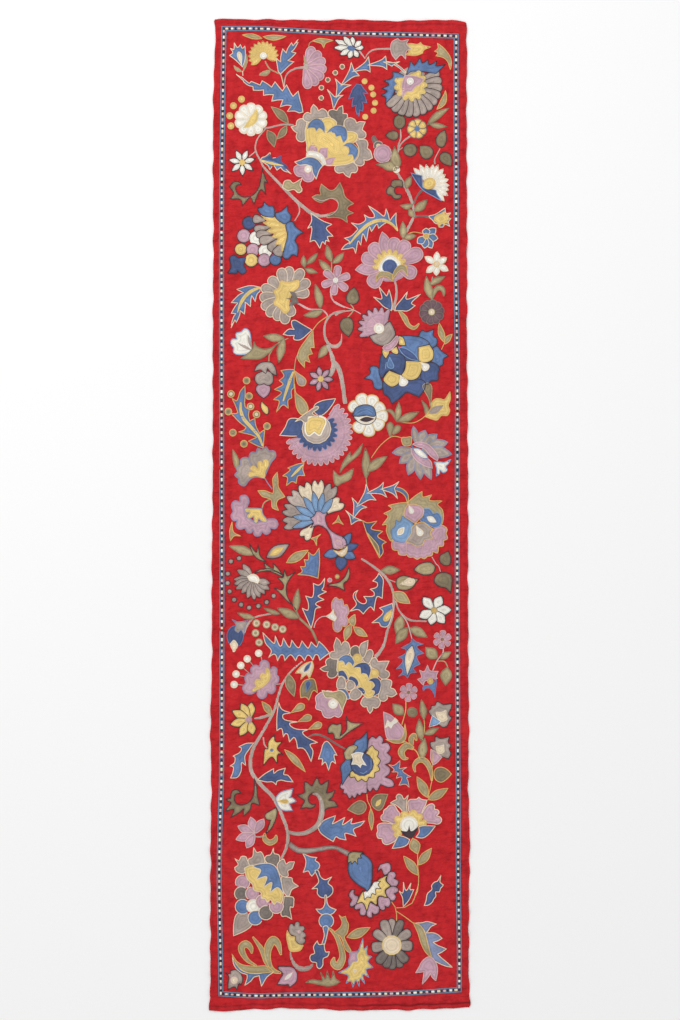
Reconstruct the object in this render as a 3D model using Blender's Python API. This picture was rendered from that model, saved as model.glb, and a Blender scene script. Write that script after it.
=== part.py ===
"""A suzani runner laid out flat: one hemmed, uneven sheet of embroidered cloth.

Metres, +Z up. The runner lies on the plane Z = 0, its width along X and its length along Y.
The origin is on that plane, under the middle of the sheet.
"""
import math

import bmesh
import bpy

# Driving dimensions of the runner
HALF_LENGTH = 0.990          # centre to the far hem's edge
CLOTH_THICK = 0.0022         # cotton and silk ground with its stitched thread
HEM_EXTRA = 0.0009           # more at a hem, where the ground is turned over
FAR_HEM = 0.0075             # depth of the hem at the far end, +Y
NEAR_HEM = 0.0115            # depth of the hem at the near end, -Y
SIDE_HEM = 0.0050            # depth of the narrow side hems
HEM_STEP = 0.0030            # width over which a hem's extra thickness runs out
CORNER_PULL = 0.0022         # how far a corner is worn in from square

# Mesh steps: fine along the length, where the puckers follow one another
ROWS = 196
COLUMNS = 15

# How far out each long edge lies from the centre line, from the far end to the near end
SIDE_STATIONS = (
    # y, left, right
    (0.990, 0.2510, 0.2530),
    (0.972, 0.2470, 0.2540),
    (0.930, 0.2490, 0.2550),
    (0.840, 0.2520, 0.2540),
    (0.690, 0.2525, 0.2548),
    (0.520, 0.2520, 0.2552),
    (0.360, 0.2530, 0.2548),
    (0.200, 0.2528, 0.2562),
    (0.060, 0.2532, 0.2572),
    (-0.100, 0.2550, 0.2570),
    (-0.280, 0.2548, 0.2576),
    (-0.430, 0.2578, 0.2588),
    (-0.540, 0.2560, 0.2576),
    (-0.660, 0.2574, 0.2606),
    (-0.800, 0.2580, 0.2588),
    (-0.920, 0.2580, 0.2586),
    (-0.962, 0.2580, 0.2600),
    (-0.980, 0.2622, 0.2634),
    (-0.990, 0.2618, 0.2610),
)

# How far each short end lies beyond its usual place
END_STATIONS = (
    # x, far, near
    (-0.262, 0.0005, 0.0028),
    (-0.226, 0.0010, 0.0028),
    (-0.170, 0.0000, -0.0006),
    (-0.110, -0.0006, -0.0028),
    (-0.040, -0.0018, -0.0010),
    (0.026, 0.0000, 0.0020),
    (0.082, -0.0025, 0.0002),
    (0.138, -0.0028, 0.0006),
    (0.170, -0.0010, -0.0008),
    (0.222, -0.0014, -0.0028),
    (0.264, -0.0046, -0.0040),
)

# Waves left in the edges by the hemming
EDGE_WAVES = (
    # wavelength, size
    (0.047, 0.0007),
    (0.071, 0.0006),
)

# The creases that stand up from the surface below
CREASES = (
    # x, y, half_length, half_width, height, turned_deg
    (0.202, -0.667, 0.040, 0.011, 0.0034, 2.0),
    (0.206, -0.722, 0.034, 0.011, 0.0022, -6.0),
    (0.200, -0.611, 0.032, 0.012, 0.0020, 5.0),
    (0.238, 0.565, 0.022, 0.011, 0.0022, 4.0),
    (0.232, 0.205, 0.026, 0.011, 0.0018, -5.0),
    (-0.240, 0.095, 0.026, 0.011, 0.0022, 3.0),
    (-0.238, -0.231, 0.026, 0.011, 0.0024, -3.0),
    (-0.236, -0.292, 0.030, 0.012, 0.0020, 5.0),
    (-0.232, -0.545, 0.028, 0.012, 0.0022, -4.0),
    (-0.214, -0.836, 0.034, 0.012, 0.0022, 7.0),
    (0.176, -0.950, 0.070, 0.012, 0.0026, -8.0),
    (0.224, -0.935, 0.034, 0.011, 0.0022, 24.0),
    (-0.020, 0.418, 0.036, 0.012, 0.0016, 8.0),
    (0.052, -0.106, 0.044, 0.013, 0.0016, -7.0),
    (-0.090, -0.610, 0.046, 0.013, 0.0016, 5.0),
)

# The crosswise puckers in the bare margins beside the border
PUCKER_PITCH = 0.042
PUCKER_DRIFT = 0.30          # share of the pitch by which they wander
PUCKER_REACH = 0.026         # how far in from a long edge they run
PUCKER_FAR = 0.0010          # height at the far end
PUCKER_NEAR = 0.0019         # height at the near end

GROUND_RED = (0.53, 0.022, 0.036, 1.0)
GROUND_ROUGHNESS = 0.62


def ease(share):
    """A smooth step from 0 to 1."""
    share = min(max(share, 0.0), 1.0)
    return share * share * (3.0 - 2.0 * share)


def read_stations(stations, at, column):
    """A column of a table of stations, read at a place between its rows."""
    rows = sorted(stations)
    if at <= rows[0][0]:
        return rows[0][column]
    for lower, upper in zip(rows, rows[1:]):
        if at <= upper[0]:
            share = (at - lower[0]) / (upper[0] - lower[0])
            return lower[column] + ease(share) * (upper[column] - lower[column])
    return rows[-1][column]


def edge_wave(along, turn):
    """The small waves of a hemmed edge; turn shifts them, so that no two edges match."""
    return sum(
        size * math.sin(2.0 * math.pi * along / wavelength + turn)
        for wavelength, size in EDGE_WAVES
    )


def outline_point(across, along):
    """A place in the sheet, from 0 to 1 across from the left and along from the near end."""
    y_flat = HALF_LENGTH * (2.0 * along - 1.0)
    left = -read_stations(SIDE_STATIONS, y_flat, 1) + edge_wave(y_flat, 0.4)
    right = read_stations(SIDE_STATIONS, y_flat, 2) + edge_wave(y_flat, 2.9)
    x = left + across * (right - left)
    far = HALF_LENGTH + read_stations(END_STATIONS, x, 1) + edge_wave(x, 1.7)
    near = -HALF_LENGTH - read_stations(END_STATIONS, x, 2) + edge_wave(x, 5.1)
    return x, near + along * (far - near)


def grid_shares(count, first_hem, last_hem):
    """Even steps from 0 to 1, with two close steps at each end for the hem and its seam."""
    start = (0.0, first_hem, first_hem + HEM_STEP)
    end = (1.0 - last_hem - HEM_STEP, 1.0 - last_hem, 1.0)
    inner = count - len(start) - len(end)
    step = (end[0] - start[-1]) / (inner + 1)
    return start + tuple(start[-1] + step * (place + 1) for place in range(inner)) + end


def crease_height(x, y):
    """How high the creases lift the sheet here."""
    height = 0.0
    for middle_x, middle_y, half_length, half_width, top, turned in CREASES:
        turn = math.radians(turned)
        along = (x - middle_x) * math.cos(turn) + (y - middle_y) * math.sin(turn)
        beside = (y - middle_y) * math.cos(turn) - (x - middle_x) * math.sin(turn)
        reach = math.hypot(along / half_length, beside / half_width)
        height = max(height, top * (1.0 - ease(reach)))
    return height


def pucker_height(x, y, from_edge):
    """How high the margins' short puckers lift the sheet here."""
    side = 1.0 if x > 0.0 else -1.0
    drift = PUCKER_DRIFT * math.sin(y * 11.0 + side) + PUCKER_DRIFT * math.sin(y * 4.3 - side)
    wave = math.sin(2.0 * math.pi * (y / PUCKER_PITCH + drift) + side)
    size = PUCKER_NEAR + (PUCKER_FAR - PUCKER_NEAR) * ease(0.5 + 0.5 * y / HALF_LENGTH)
    size *= 0.65 + 0.35 * math.sin(y * 23.0 + 2.0 * side)
    return size * max(wave, 0.0) * (1.0 - ease(from_edge / PUCKER_REACH))


def hem_height(from_side, from_far, from_near):
    """The extra thickness where the ground is turned over at an edge."""
    shares = (
        1.0 - (from_side - SIDE_HEM) / HEM_STEP,
        1.0 - (from_far - FAR_HEM) / HEM_STEP,
        1.0 - (from_near - NEAR_HEM) / HEM_STEP,
    )
    return HEM_EXTRA * max(ease(share) for share in shares)


def build_sheet():
    """The whole runner as one closed solid: a gridded top, its underside and its thin rim.

    Its outline box is centred on the origin at the end.
    """
    width = 2.0 * SIDE_STATIONS[len(SIDE_STATIONS) // 2][2]
    length = 2.0 * HALF_LENGTH
    across_shares = grid_shares(COLUMNS, SIDE_HEM / width, SIDE_HEM / width)
    along_shares = grid_shares(ROWS, NEAR_HEM / length, FAR_HEM / length)

    sheet = bmesh.new()
    bmesh.ops.create_grid(sheet, x_segments=COLUMNS - 1, y_segments=ROWS - 1, size=0.5)
    thickness = {}
    for vert in sheet.verts:
        column = round((vert.co.x + 0.5) * (COLUMNS - 1))
        row = round((vert.co.y + 0.5) * (ROWS - 1))
        x, y = outline_point(across_shares[column], along_shares[row])
        if column in (0, COLUMNS - 1) and row in (0, ROWS - 1):
            x -= math.copysign(CORNER_PULL, x)
            y -= math.copysign(CORNER_PULL, y)
        from_side = width * min(across_shares[column], 1.0 - across_shares[column])
        from_near = length * along_shares[row]
        vert.co = (x, y, max(crease_height(x, y), pucker_height(x, y, from_side)))
        hem = hem_height(from_side, length - from_near, from_near)
        thickness[tuple(vert.co)] = CLOTH_THICK + hem

    raised = bmesh.ops.extrude_face_region(sheet, geom=list(sheet.faces), use_keep_orig=True)
    for part in raised["geom"]:
        if isinstance(part, bmesh.types.BMVert):
            part.co.z += thickness[tuple(part.co)]
    bmesh.ops.recalc_face_normals(sheet, faces=list(sheet.faces))

    places_x = [vert.co.x for vert in sheet.verts]
    places_y = [vert.co.y for vert in sheet.verts]
    middle_x = 0.5 * (min(places_x) + max(places_x))
    middle_y = 0.5 * (min(places_y) + max(places_y))
    bmesh.ops.translate(sheet, verts=list(sheet.verts), vec=(-middle_x, -middle_y, 0.0))
    return sheet


def cloth_material():
    """The ground's red, a little rough."""
    material = bpy.data.materials.new("ground_cloth")
    material.use_nodes = True
    shader = material.node_tree.nodes["Principled BSDF"]
    shader.inputs["Base Color"].default_value = GROUND_RED
    shader.inputs["Roughness"].default_value = GROUND_ROUGHNESS
    shader.inputs["Metallic"].default_value = 0.0
    return material


def main():
    """Clear the scene and build the runner."""
    for leftover in list(bpy.data.objects):
        bpy.data.objects.remove(leftover)
    sheet = build_sheet()
    mesh = bpy.data.meshes.new("embroidered_cloth")
    sheet.to_mesh(mesh)
    sheet.free()
    cloth = bpy.data.objects.new("embroidered_cloth", mesh)
    bpy.context.scene.collection.objects.link(cloth)
    mesh.materials.append(cloth_material())
    mesh.shade_smooth()
    mesh.set_sharp_from_angle(angle=math.radians(50.0))


main()
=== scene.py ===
"""A suzani runner laid out flat: hemmed red ground, border band and chain-stitched flowers.

Metres, +Z up. The runner's width is along X and its length along Y. The embroidery's points are
pixel coordinates of the reference photo, 680 by 1020: columns count to the right and rows count
down, towards the runner's near end, from the photo's top left corner. One pixel is taken as a
square of 2 mm on the cloth. The motifs' points were read by eye along their edges, in enlarged
crops of the photo, and a scratch script turned most of them from crop units into pixels. The
cloth's edges and the border's line were picked by hand from scratch scripts' readings of the
photo.
"""
import math

import bmesh
import bpy
import numpy as np
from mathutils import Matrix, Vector


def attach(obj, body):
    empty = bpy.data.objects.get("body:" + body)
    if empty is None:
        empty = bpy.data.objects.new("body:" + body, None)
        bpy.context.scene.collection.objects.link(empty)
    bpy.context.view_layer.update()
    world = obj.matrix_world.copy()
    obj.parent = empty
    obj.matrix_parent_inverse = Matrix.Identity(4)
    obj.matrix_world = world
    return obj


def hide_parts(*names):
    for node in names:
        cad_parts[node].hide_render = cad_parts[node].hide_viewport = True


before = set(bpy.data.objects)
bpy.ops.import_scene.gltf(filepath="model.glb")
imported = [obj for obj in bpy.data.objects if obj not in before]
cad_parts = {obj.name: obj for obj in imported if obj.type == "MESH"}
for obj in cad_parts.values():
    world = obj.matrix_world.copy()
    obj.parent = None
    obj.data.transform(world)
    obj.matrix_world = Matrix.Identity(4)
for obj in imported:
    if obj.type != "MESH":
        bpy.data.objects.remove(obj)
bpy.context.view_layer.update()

bl_info = {
    "name": "Suzani Runner",
    "version": (1, 0, 0),
    "blender": (4, 5, 0),
    "location": "View3D > Sidebar > Suzani",
    "description": "Lays out a hemmed red runner with its border band and chain-stitched flowers",
    "category": "Add Mesh",
}

# The photo's pixel grid: the side of a pixel on the cloth, and the pixel at the runner's middle
SQUARE = 0.002
MIDDLE_COLUMN = 339.35
MIDDLE_ROW = 514.55

# The runner's outline and the lie of its cloth, as on the solid that it covers, apart from the
# near hem's depth and the cloth's thickness, which are less
HALF_LENGTH = 0.990
FAR_HEM = 0.0075
NEAR_HEM = 0.0088
SIDE_HEM = 0.0050
CORNER_PULL = 0.0022
FACE_HEIGHT = 0.00145
CLOTH_THICK = 0.0010
HEM_EXTRA = 0.0008
SEAM_SINK = 0.0005
SEAM_HALF = 0.0016

SIDE_STATIONS = (
    # y, left, right
    (0.990, 0.2510, 0.2530),
    (0.972, 0.2470, 0.2540),
    (0.930, 0.2490, 0.2550),
    (0.840, 0.2520, 0.2540),
    (0.690, 0.2525, 0.2548),
    (0.520, 0.2520, 0.2552),
    (0.360, 0.2530, 0.2548),
    (0.200, 0.2528, 0.2562),
    (0.060, 0.2532, 0.2572),
    (-0.100, 0.2550, 0.2570),
    (-0.280, 0.2548, 0.2576),
    (-0.430, 0.2578, 0.2588),
    (-0.540, 0.2560, 0.2576),
    (-0.660, 0.2574, 0.2606),
    (-0.800, 0.2580, 0.2588),
    (-0.920, 0.2580, 0.2586),
    (-0.962, 0.2580, 0.2600),
    (-0.980, 0.2622, 0.2634),
    (-0.990, 0.2618, 0.2610),
)
END_STATIONS = (
    # x, far, near
    (-0.262, 0.0005, 0.0028),
    (-0.226, 0.0010, 0.0028),
    (-0.170, 0.0000, -0.0006),
    (-0.110, -0.0006, -0.0028),
    (-0.040, -0.0018, -0.0010),
    (0.026, 0.0000, 0.0020),
    (0.082, -0.0025, 0.0002),
    (0.138, -0.0028, 0.0006),
    (0.170, -0.0010, -0.0008),
    (0.222, -0.0014, -0.0028),
    (0.264, -0.0046, -0.0040),
)
EDGE_WAVES = (
    # wavelength, size
    (0.047, 0.0007),
    (0.071, 0.0006),
)
CREASES = (
    # x, y, half_length, half_width, height, turned_deg
    (0.202, -0.667, 0.040, 0.011, 0.0034, 2.0),
    (0.206, -0.722, 0.034, 0.011, 0.0022, -6.0),
    (0.200, -0.611, 0.032, 0.012, 0.0020, 5.0),
    (0.238, 0.565, 0.022, 0.011, 0.0022, 4.0),
    (0.232, 0.205, 0.026, 0.011, 0.0018, -5.0),
    (-0.240, 0.095, 0.026, 0.011, 0.0022, 3.0),
    (-0.238, -0.231, 0.026, 0.011, 0.0024, -3.0),
    (-0.236, -0.292, 0.030, 0.012, 0.0020, 5.0),
    (-0.232, -0.545, 0.028, 0.012, 0.0022, -4.0),
    (-0.214, -0.836, 0.034, 0.012, 0.0022, 7.0),
    (0.176, -0.950, 0.070, 0.012, 0.0026, -8.0),
    (0.224, -0.935, 0.034, 0.011, 0.0022, 24.0),
    (-0.020, 0.418, 0.036, 0.012, 0.0016, 8.0),
    (0.052, -0.106, 0.044, 0.013, 0.0016, -7.0),
    (-0.090, -0.610, 0.046, 0.013, 0.0016, 5.0),
)
MARGIN_PUCKERS = (
    # pitch, reach, far_height, near_height
    (0.042, 0.026, 0.0010, 0.0019),
    (0.0215, 0.021, 0.0004, 0.0008),
)
PUCKER_DRIFT = 0.30
COCKLES = (
    # wavelength, height: the fine all-over unevenness that stitching draws into the ground
    (0.031, 0.00016),
    (0.024, 0.00016),
    (0.018, 0.00013),
)
COCKLE_DIRECTIONS = 7

# Steps of the meshes
GROUND_STEP = 0.004
MAP_STEP = 0.004
MAP_CORNER = (-0.284, -1.012)
FILL_STEP = 0.0036
NARROW_FILL = 0.0062
LINE_STEP = 0.0028
CURVE_STEPS = 5

# Stitching
FILL_LOFT = 0.00055
FILL_SINK = 0.00025
FILL_ROUND = 0.0010
STACK_RISE = 0.00009
LINE_WIDTH = 0.0019
LINE_FOOT = 0.00050
LINE_LOFT = 0.00042
CLIP_STEP = 0.0009
CLIP_DEPTH = 0.0004
CUT_MARGIN = 0.0007

# Threads: name, sRGB colour in 8-bit parts, the second shade it is dyed to
THREADS = (
    # name, red, green, blue, shade
    ("red", 188, 20, 28, 0.90),
    ("blue", 104, 134, 182, 0.86),
    ("dark_blue", 80, 98, 146, 0.84),
    ("light_blue", 134, 168, 208, 0.90),
    ("yellow", 241, 208, 126, 0.92),
    ("mauve", 206, 164, 180, 0.90),
    ("taupe", 184, 167, 157, 0.87),
    ("grey", 136, 124, 117, 0.86),
    ("olive", 150, 134, 104, 0.84),
    ("khaki", 186, 169, 128, 0.88),
    ("cream", 238, 218, 188, 0.95),
    ("white", 245, 240, 228, 0.96),
    ("pink", 222, 188, 186, 0.93),
    ("stem", 200, 182, 171, 0.90),
    ("plum", 126, 96, 104, 0.84),
    ("slate", 144, 154, 190, 0.88),
    ("dark", 70, 52, 58, 0.80),
    ("maroon", 60, 26, 34, 0.80),
    ("gold", 226, 186, 112, 0.93),
    ("teal", 104, 142, 172, 0.88),
)


class RunnerSettings(bpy.types.PropertyGroup):
    """Sizes and finishes of the runner that a user would change."""

    row_width: bpy.props.FloatProperty(
        name="Stitch Row Width",
        description="Distance between rows of chain stitch",
        default=0.0017,
        min=0.0005,
        unit="LENGTH",
    )
    link_length: bpy.props.FloatProperty(
        name="Link Length",
        description="Length of one link of chain stitch",
        default=0.0034,
        min=0.001,
        unit="LENGTH",
    )
    stitch_relief: bpy.props.FloatProperty(
        name="Stitch Relief",
        description="How deep the stitches stand in the finish",
        default=0.0005,
        unit="LENGTH",
    )
    thread_roughness: bpy.props.FloatProperty(
        name="Thread Roughness",
        description="How dull the silk thread is",
        default=0.58,
        min=0.0,
        max=1.0,
        subtype="FACTOR",
    )
    ground_roughness: bpy.props.FloatProperty(
        name="Ground Roughness",
        description="How dull the red ground cloth is",
        default=0.66,
        min=0.0,
        max=1.0,
        subtype="FACTOR",
    )
    ground_colour: bpy.props.FloatVectorProperty(
        name="Ground Colour",
        description="The red of the ground cloth",
        default=(0.590, 0.0155, 0.0205),
        min=0.0,
        max=1.0,
        size=3,
        subtype="COLOR",
    )
    weave_pitch: bpy.props.FloatProperty(
        name="Weave Pitch",
        description="Distance between neighbouring threads of the ground",
        default=0.0007,
        unit="LENGTH",
    )


class StageSettings(bpy.types.PropertyGroup):
    """The camera and light that show the runner."""

    camera_height: bpy.props.FloatProperty(
        name="Camera Height",
        description="Height of the camera over the runner",
        default=6.0,
        unit="LENGTH",
    )
    view_length: bpy.props.FloatProperty(
        name="View Length",
        description="Length of floor that the picture takes in",
        default=2.04,
        unit="LENGTH",
    )
    key_power: bpy.props.FloatProperty(
        name="Key Light",
        description="Power of the large soft light, in watts",
        default=48.0,
    )
    sky_strength: bpy.props.FloatProperty(
        name="Sky Strength",
        description="Strength of the even light from all round",
        default=0.78,
    )


def settings():
    """The runner's settings in this scene."""
    return bpy.context.scene.suzani_runner


def ease(share):
    """A smooth step from 0 to 1."""
    share = np.clip(share, 0.0, 1.0)
    return share * share * (3.0 - 2.0 * share)


def read_stations(stations, at, column):
    """A column of a table of stations, read at places between its rows."""
    rows = np.array(sorted(stations))
    at = np.clip(np.asarray(at, float), rows[0, 0], rows[-1, 0])
    upper = np.clip(np.searchsorted(rows[:, 0], at), 1, len(rows) - 1)
    low, high = rows[upper - 1], rows[upper]
    share = (at - low[..., 0]) / (high[..., 0] - low[..., 0])
    return low[..., column] + ease(share) * (high[..., column] - low[..., column])


def edge_wave(along, turn):
    """The small waves of a hemmed edge."""
    return sum(size * np.sin(2.0 * np.pi * along / length + turn) for length, size in EDGE_WAVES)


def side_edges(y):
    """The left and right edges' places across the runner."""
    left = -read_stations(SIDE_STATIONS, y, 1) + edge_wave(y, 0.4)
    right = read_stations(SIDE_STATIONS, y, 2) + edge_wave(y, 2.9)
    return left, right


def end_edges(x):
    """The near and far edges' places along the runner."""
    far = HALF_LENGTH + read_stations(END_STATIONS, x, 1) + edge_wave(x, 1.7)
    near = -HALF_LENGTH - read_stations(END_STATIONS, x, 2) + edge_wave(x, 5.1)
    return near, far


def crease_lift(x, y):
    """How high the creases lift the cloth."""
    lift = np.zeros_like(x)
    for middle_x, middle_y, half_length, half_width, top, turned in CREASES:
        turn = math.radians(turned)
        along = (x - middle_x) * math.cos(turn) + (y - middle_y) * math.sin(turn)
        beside = (y - middle_y) * math.cos(turn) - (x - middle_x) * math.sin(turn)
        reach = np.hypot(along / half_length, beside / half_width)
        lift = np.maximum(lift, top * (1.0 - ease(reach)))
    return lift


def margin_lift(x, y):
    """How high the short crosswise puckers in the bare margins lift the cloth."""
    left, right = side_edges(y)
    side = np.where(x > 0.0, 1.0, -1.0)
    from_edge = np.where(x > 0.0, right - x, x - left)
    drift = PUCKER_DRIFT * (np.sin(y * 11.0 + side) + np.sin(y * 4.3 - side))
    lift = np.zeros_like(x)
    for pitch, reach, far_height, near_height in MARGIN_PUCKERS:
        wave = np.sin(2.0 * np.pi * (y / pitch + drift) + side)
        height = near_height + (far_height - near_height) * ease(0.5 + 0.5 * y / HALF_LENGTH)
        height = height * (0.65 + 0.35 * np.sin(y * 23.0 + 2.0 * side))
        share = 1.0 - ease(np.maximum(from_edge, 0.0) / reach)
        lift = lift + height * np.maximum(wave, 0.0) * share
    return lift


def cockle_lift(x, y):
    """The fine unevenness all over, from waves that cross one another."""
    lift = np.zeros_like(x)
    for band, (length, height) in enumerate(COCKLES):
        for turn in range(COCKLE_DIRECTIONS):
            angle = np.pi * (turn + 0.37 * band) / COCKLE_DIRECTIONS
            warp = 0.9 * np.sin((x * 17.0 + y * 9.0) * (1.0 + 0.23 * turn) + band)
            phase = (x * np.cos(angle) + y * np.sin(angle)) * 2.0 * np.pi / length
            lift = lift + height * np.sin(phase + warp + 2.4 * turn + 1.3 * band)
    return lift


class LieOfCloth:
    """The height of the cloth's face everywhere, kept as a fine map."""

    def __init__(self):
        self.low = np.array(MAP_CORNER)
        across = np.arange(self.low[0], -self.low[0] + MAP_STEP, MAP_STEP)
        along = np.arange(self.low[1], -self.low[1] + MAP_STEP, MAP_STEP)
        x, y = np.meshgrid(across, along, indexing="ij")
        lift = np.maximum(crease_lift(x, y), margin_lift(x, y))
        self.heights = FACE_HEIGHT + lift + cockle_lift(x, y)

    def at(self, x, y):
        """The heights at places, read between the map's points."""
        column = np.clip((x - self.low[0]) / MAP_STEP, 0.0, self.heights.shape[0] - 1.001)
        row = np.clip((y - self.low[1]) / MAP_STEP, 0.0, self.heights.shape[1] - 1.001)
        first = column.astype(int)
        second = row.astype(int)
        across = column - first
        along = row - second
        near = self.heights[first, second] * (1 - across) + self.heights[first + 1, second] * across
        far = self.heights[first, second + 1] * (1 - across)
        far = far + self.heights[first + 1, second + 1] * across
        return near * (1 - along) + far * along


LIE = LieOfCloth()


# Outlines, in pixels of the photo


def turned(angle, length=1.0):
    """A step on the photo's grid: 0 degrees is to the right and 90 is towards the far end."""
    turn = math.radians(angle)
    return length * math.cos(turn), -length * math.sin(turn)


def curve_through(points, closed=True, steps=CURVE_STEPS):
    """A smooth line through points; one with a third item is kept as a sharp corner."""
    count = len(points)
    spans = count if closed else count - 1
    line = []
    for place in range(spans):
        start = points[place]
        end = points[(place + 1) % count]
        before = points[place - 1] if closed or place else start
        after = points[(place + 2) % count] if closed or place + 2 < count else end
        span = (end[0] - start[0], end[1] - start[1])
        leave = span if len(start) > 2 else ((end[0] - before[0]) / 2, (end[1] - before[1]) / 2)
        reach = span if len(end) > 2 else ((after[0] - start[0]) / 2, (after[1] - start[1]) / 2)
        for step in range(steps):
            t = step / steps
            lead = (t * t * t - 2 * t * t + t, t * t * t - t * t)
            rise = t * t * (3 - 2 * t)
            line.append(tuple(
                start[axis] + rise * span[axis] + lead[0] * leave[axis] + lead[1] * reach[axis]
                for axis in (0, 1)
            ))
    if not closed:
        line.append((points[-1][0], points[-1][1]))
    return line


BLADES = {
    # share of the length, share of the half width, and a third item where it is sharp
    "round": ((0.0, 0.30), (0.30, 0.62), (0.70, 1.0), (0.93, 0.70), (1.0, 0.0)),
    "long": ((0.0, 0.45), (0.30, 0.80), (0.65, 1.0), (0.92, 0.80), (1.0, 0.0)),
    "point": ((0.0, 0.25), (0.28, 0.75), (0.58, 1.0), (0.84, 0.56), (1.0, 0.0, 1)),
    "leaf": ((0.0, 0.0, 1), (0.22, 0.72), (0.50, 1.0), (0.80, 0.52), (1.0, 0.0, 1)),
    "drop": ((0.0, 0.0, 1), (0.30, 0.42), (0.62, 0.95), (0.86, 0.86), (1.0, 0.0)),
    "bowl": ((0.0, 0.0), (0.10, 0.72), (0.40, 1.0), (0.75, 0.66), (1.0, 0.0, 1)),
    "heart": ((0.0, 0.22), (0.35, 0.56), (0.70, 1.0), (0.93, 0.86), (1.0, 0.45), (0.86, 0.0, 1)),
    "ogee": ((0.0, 0.45), (0.25, 0.95), (0.55, 1.0), (0.76, 0.55), (0.88, 0.22), (1.0, 0.0, 1)),
    "trefoil": (
        (0.0, 0.30), (0.22, 0.50), (0.40, 0.95), (0.62, 0.98), (0.66, 0.52, 1),
        (0.84, 0.46), (1.0, 0.0, 1),
    ),
    "lobed": (
        (0.0, 0.35), (0.30, 0.80), (0.52, 1.0), (0.72, 0.80), (0.74, 0.55, 1),
        (0.95, 0.42), (1.0, 0.0),
    ),
    "disc": ((0.0, 0.0), (0.15, 0.72), (0.50, 1.0), (0.85, 0.72), (1.0, 0.0)),
}


def blade(base, tip, width, form="leaf", bend=0.0, steps=CURVE_STEPS):
    """A petal, leaf or bud from its base to its tip; bend is in pixels, to the left of its way."""
    way = (tip[0] - base[0], tip[1] - base[1])
    length = math.hypot(*way)
    aside = (way[1] / length, -way[0] / length)
    half = BLADES[form]
    sides = []
    for sign, rows in ((1.0, half), (-1.0, half[::-1])):
        for row in rows:
            centred = abs(row[1]) < 1e-6
            if centred and sign < 0.0:
                continue
            sides.append((row[0], sign * row[1]) + tuple(row[2:]))
    points = []
    for share, out, *sharp in sides:
        bow = bend * 4.0 * share * (1.0 - share)
        off = out * width / 2.0 + bow
        points.append((
            base[0] + way[0] * share + aside[0] * off,
            base[1] + way[1] * share + aside[1] * off,
            *sharp,
        ))
    return curve_through(points, steps=steps)


def ring(centre, radius, squash=1.0, angle=0.0, count=14):
    """A round or oval outline."""
    points = []
    for place in range(count):
        turn = 2.0 * math.pi * place / count
        along = radius * math.cos(turn)
        beside = radius * squash * math.sin(turn)
        ahead = turned(angle)
        points.append((
            centre[0] + ahead[0] * along - ahead[1] * beside,
            centre[1] + ahead[1] * along + ahead[0] * beside,
        ))
    return points


def fan(centre, count, inner, outer, start=0.0, sweep=360.0):
    """Pairs of base and tip for petals round a centre; outer may be a function of the angle."""
    pairs = []
    whole = abs(sweep) >= 359.9
    for place in range(count):
        angle = start + sweep * place / (count if whole else max(count - 1, 1))
        reach = outer(angle) if callable(outer) else outer
        base = turned(angle, inner)
        tip = turned(angle, reach)
        pairs.append((
            (centre[0] + base[0], centre[1] + base[1]),
            (centre[0] + tip[0], centre[1] + tip[1]),
        ))
    return pairs


def scallops(centre, radius, count, bulge, start=0.0, sweep=360.0, apex=None, sharp=False):
    """An edge of round or pointed scallops on an arc, closed round the centre or at an apex."""
    points = []
    step = sweep / count
    for place in range(count):
        angle = start + step * place
        for share, rise in ((0.0, 0.0), (0.28, 0.82), (0.5, 1.0), (0.72, 0.82)):
            out = turned(angle + step * share, radius + bulge * rise)
            corner = share == 0.0 or (sharp and share == 0.5)
            points.append((centre[0] + out[0], centre[1] + out[1]) + ((1,) if corner else ()))
    if abs(sweep) < 359.9:
        out = turned(start + sweep, radius)
        points.append((centre[0] + out[0], centre[1] + out[1], 1))
        if apex:
            points.extend((*place, 1) for place in apex)
    return curve_through(points, steps=3)


def serrated(spine, width, teeth, lean=1.16, notch=0.36, taper=0.62):
    """A long saw-edged leaf along its spine, from its base to its tip; its teeth point ahead."""
    line = curve_through(spine, closed=False, steps=8)
    lengths = [0.0]
    for first, second in zip(line, line[1:]):
        lengths.append(lengths[-1] + math.hypot(second[0] - first[0], second[1] - first[1]))
    whole = lengths[-1]

    def point(share, out, *sharp):
        at = min(max(share, 0.0), 1.0) * whole
        place = max(1, next((n for n, far in enumerate(lengths) if far >= at), len(lengths) - 1))
        part = (at - lengths[place - 1]) / max(lengths[place] - lengths[place - 1], 1e-9)
        first, second = line[place - 1], line[place]
        way = (second[0] - first[0], second[1] - first[1])
        size = max(math.hypot(*way), 1e-9)
        return (
            first[0] + way[0] * part + way[1] / size * out,
            first[1] + way[1] * part - way[0] / size * out,
            *sharp,
        )

    def half(share):
        return width / 2.0 * max(math.sin(math.pi * min(share + 0.14, 1.0) ** taper), 0.1)

    pitch = 1.0 / (teeth + 1.0)
    sides = {}
    for side, shift in ((1.0, 0.0), (-1.0, 0.4)):
        points = []
        for tooth in range(teeth):
            share = (tooth + 0.15 + shift) * pitch
            points.append(point(share, side * half(share) * notch, 1))
            points.append(point(share + 0.42 * pitch, side * half(share) * (0.35 + 0.65 * notch)))
            points.append(point(share + lean * pitch, side * half(share + 0.5 * pitch), 1))
        ahead = (teeth + 0.15 + shift) * pitch
        points.append(point(ahead, side * half(ahead) * notch, 1))
        sides[side] = points
    outline = [point(0.0, 0.0, 1)] + sides[1.0] + [point(1.0, 0.0, 1)] + sides[-1.0][::-1]
    return curve_through(outline, steps=3)


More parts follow.
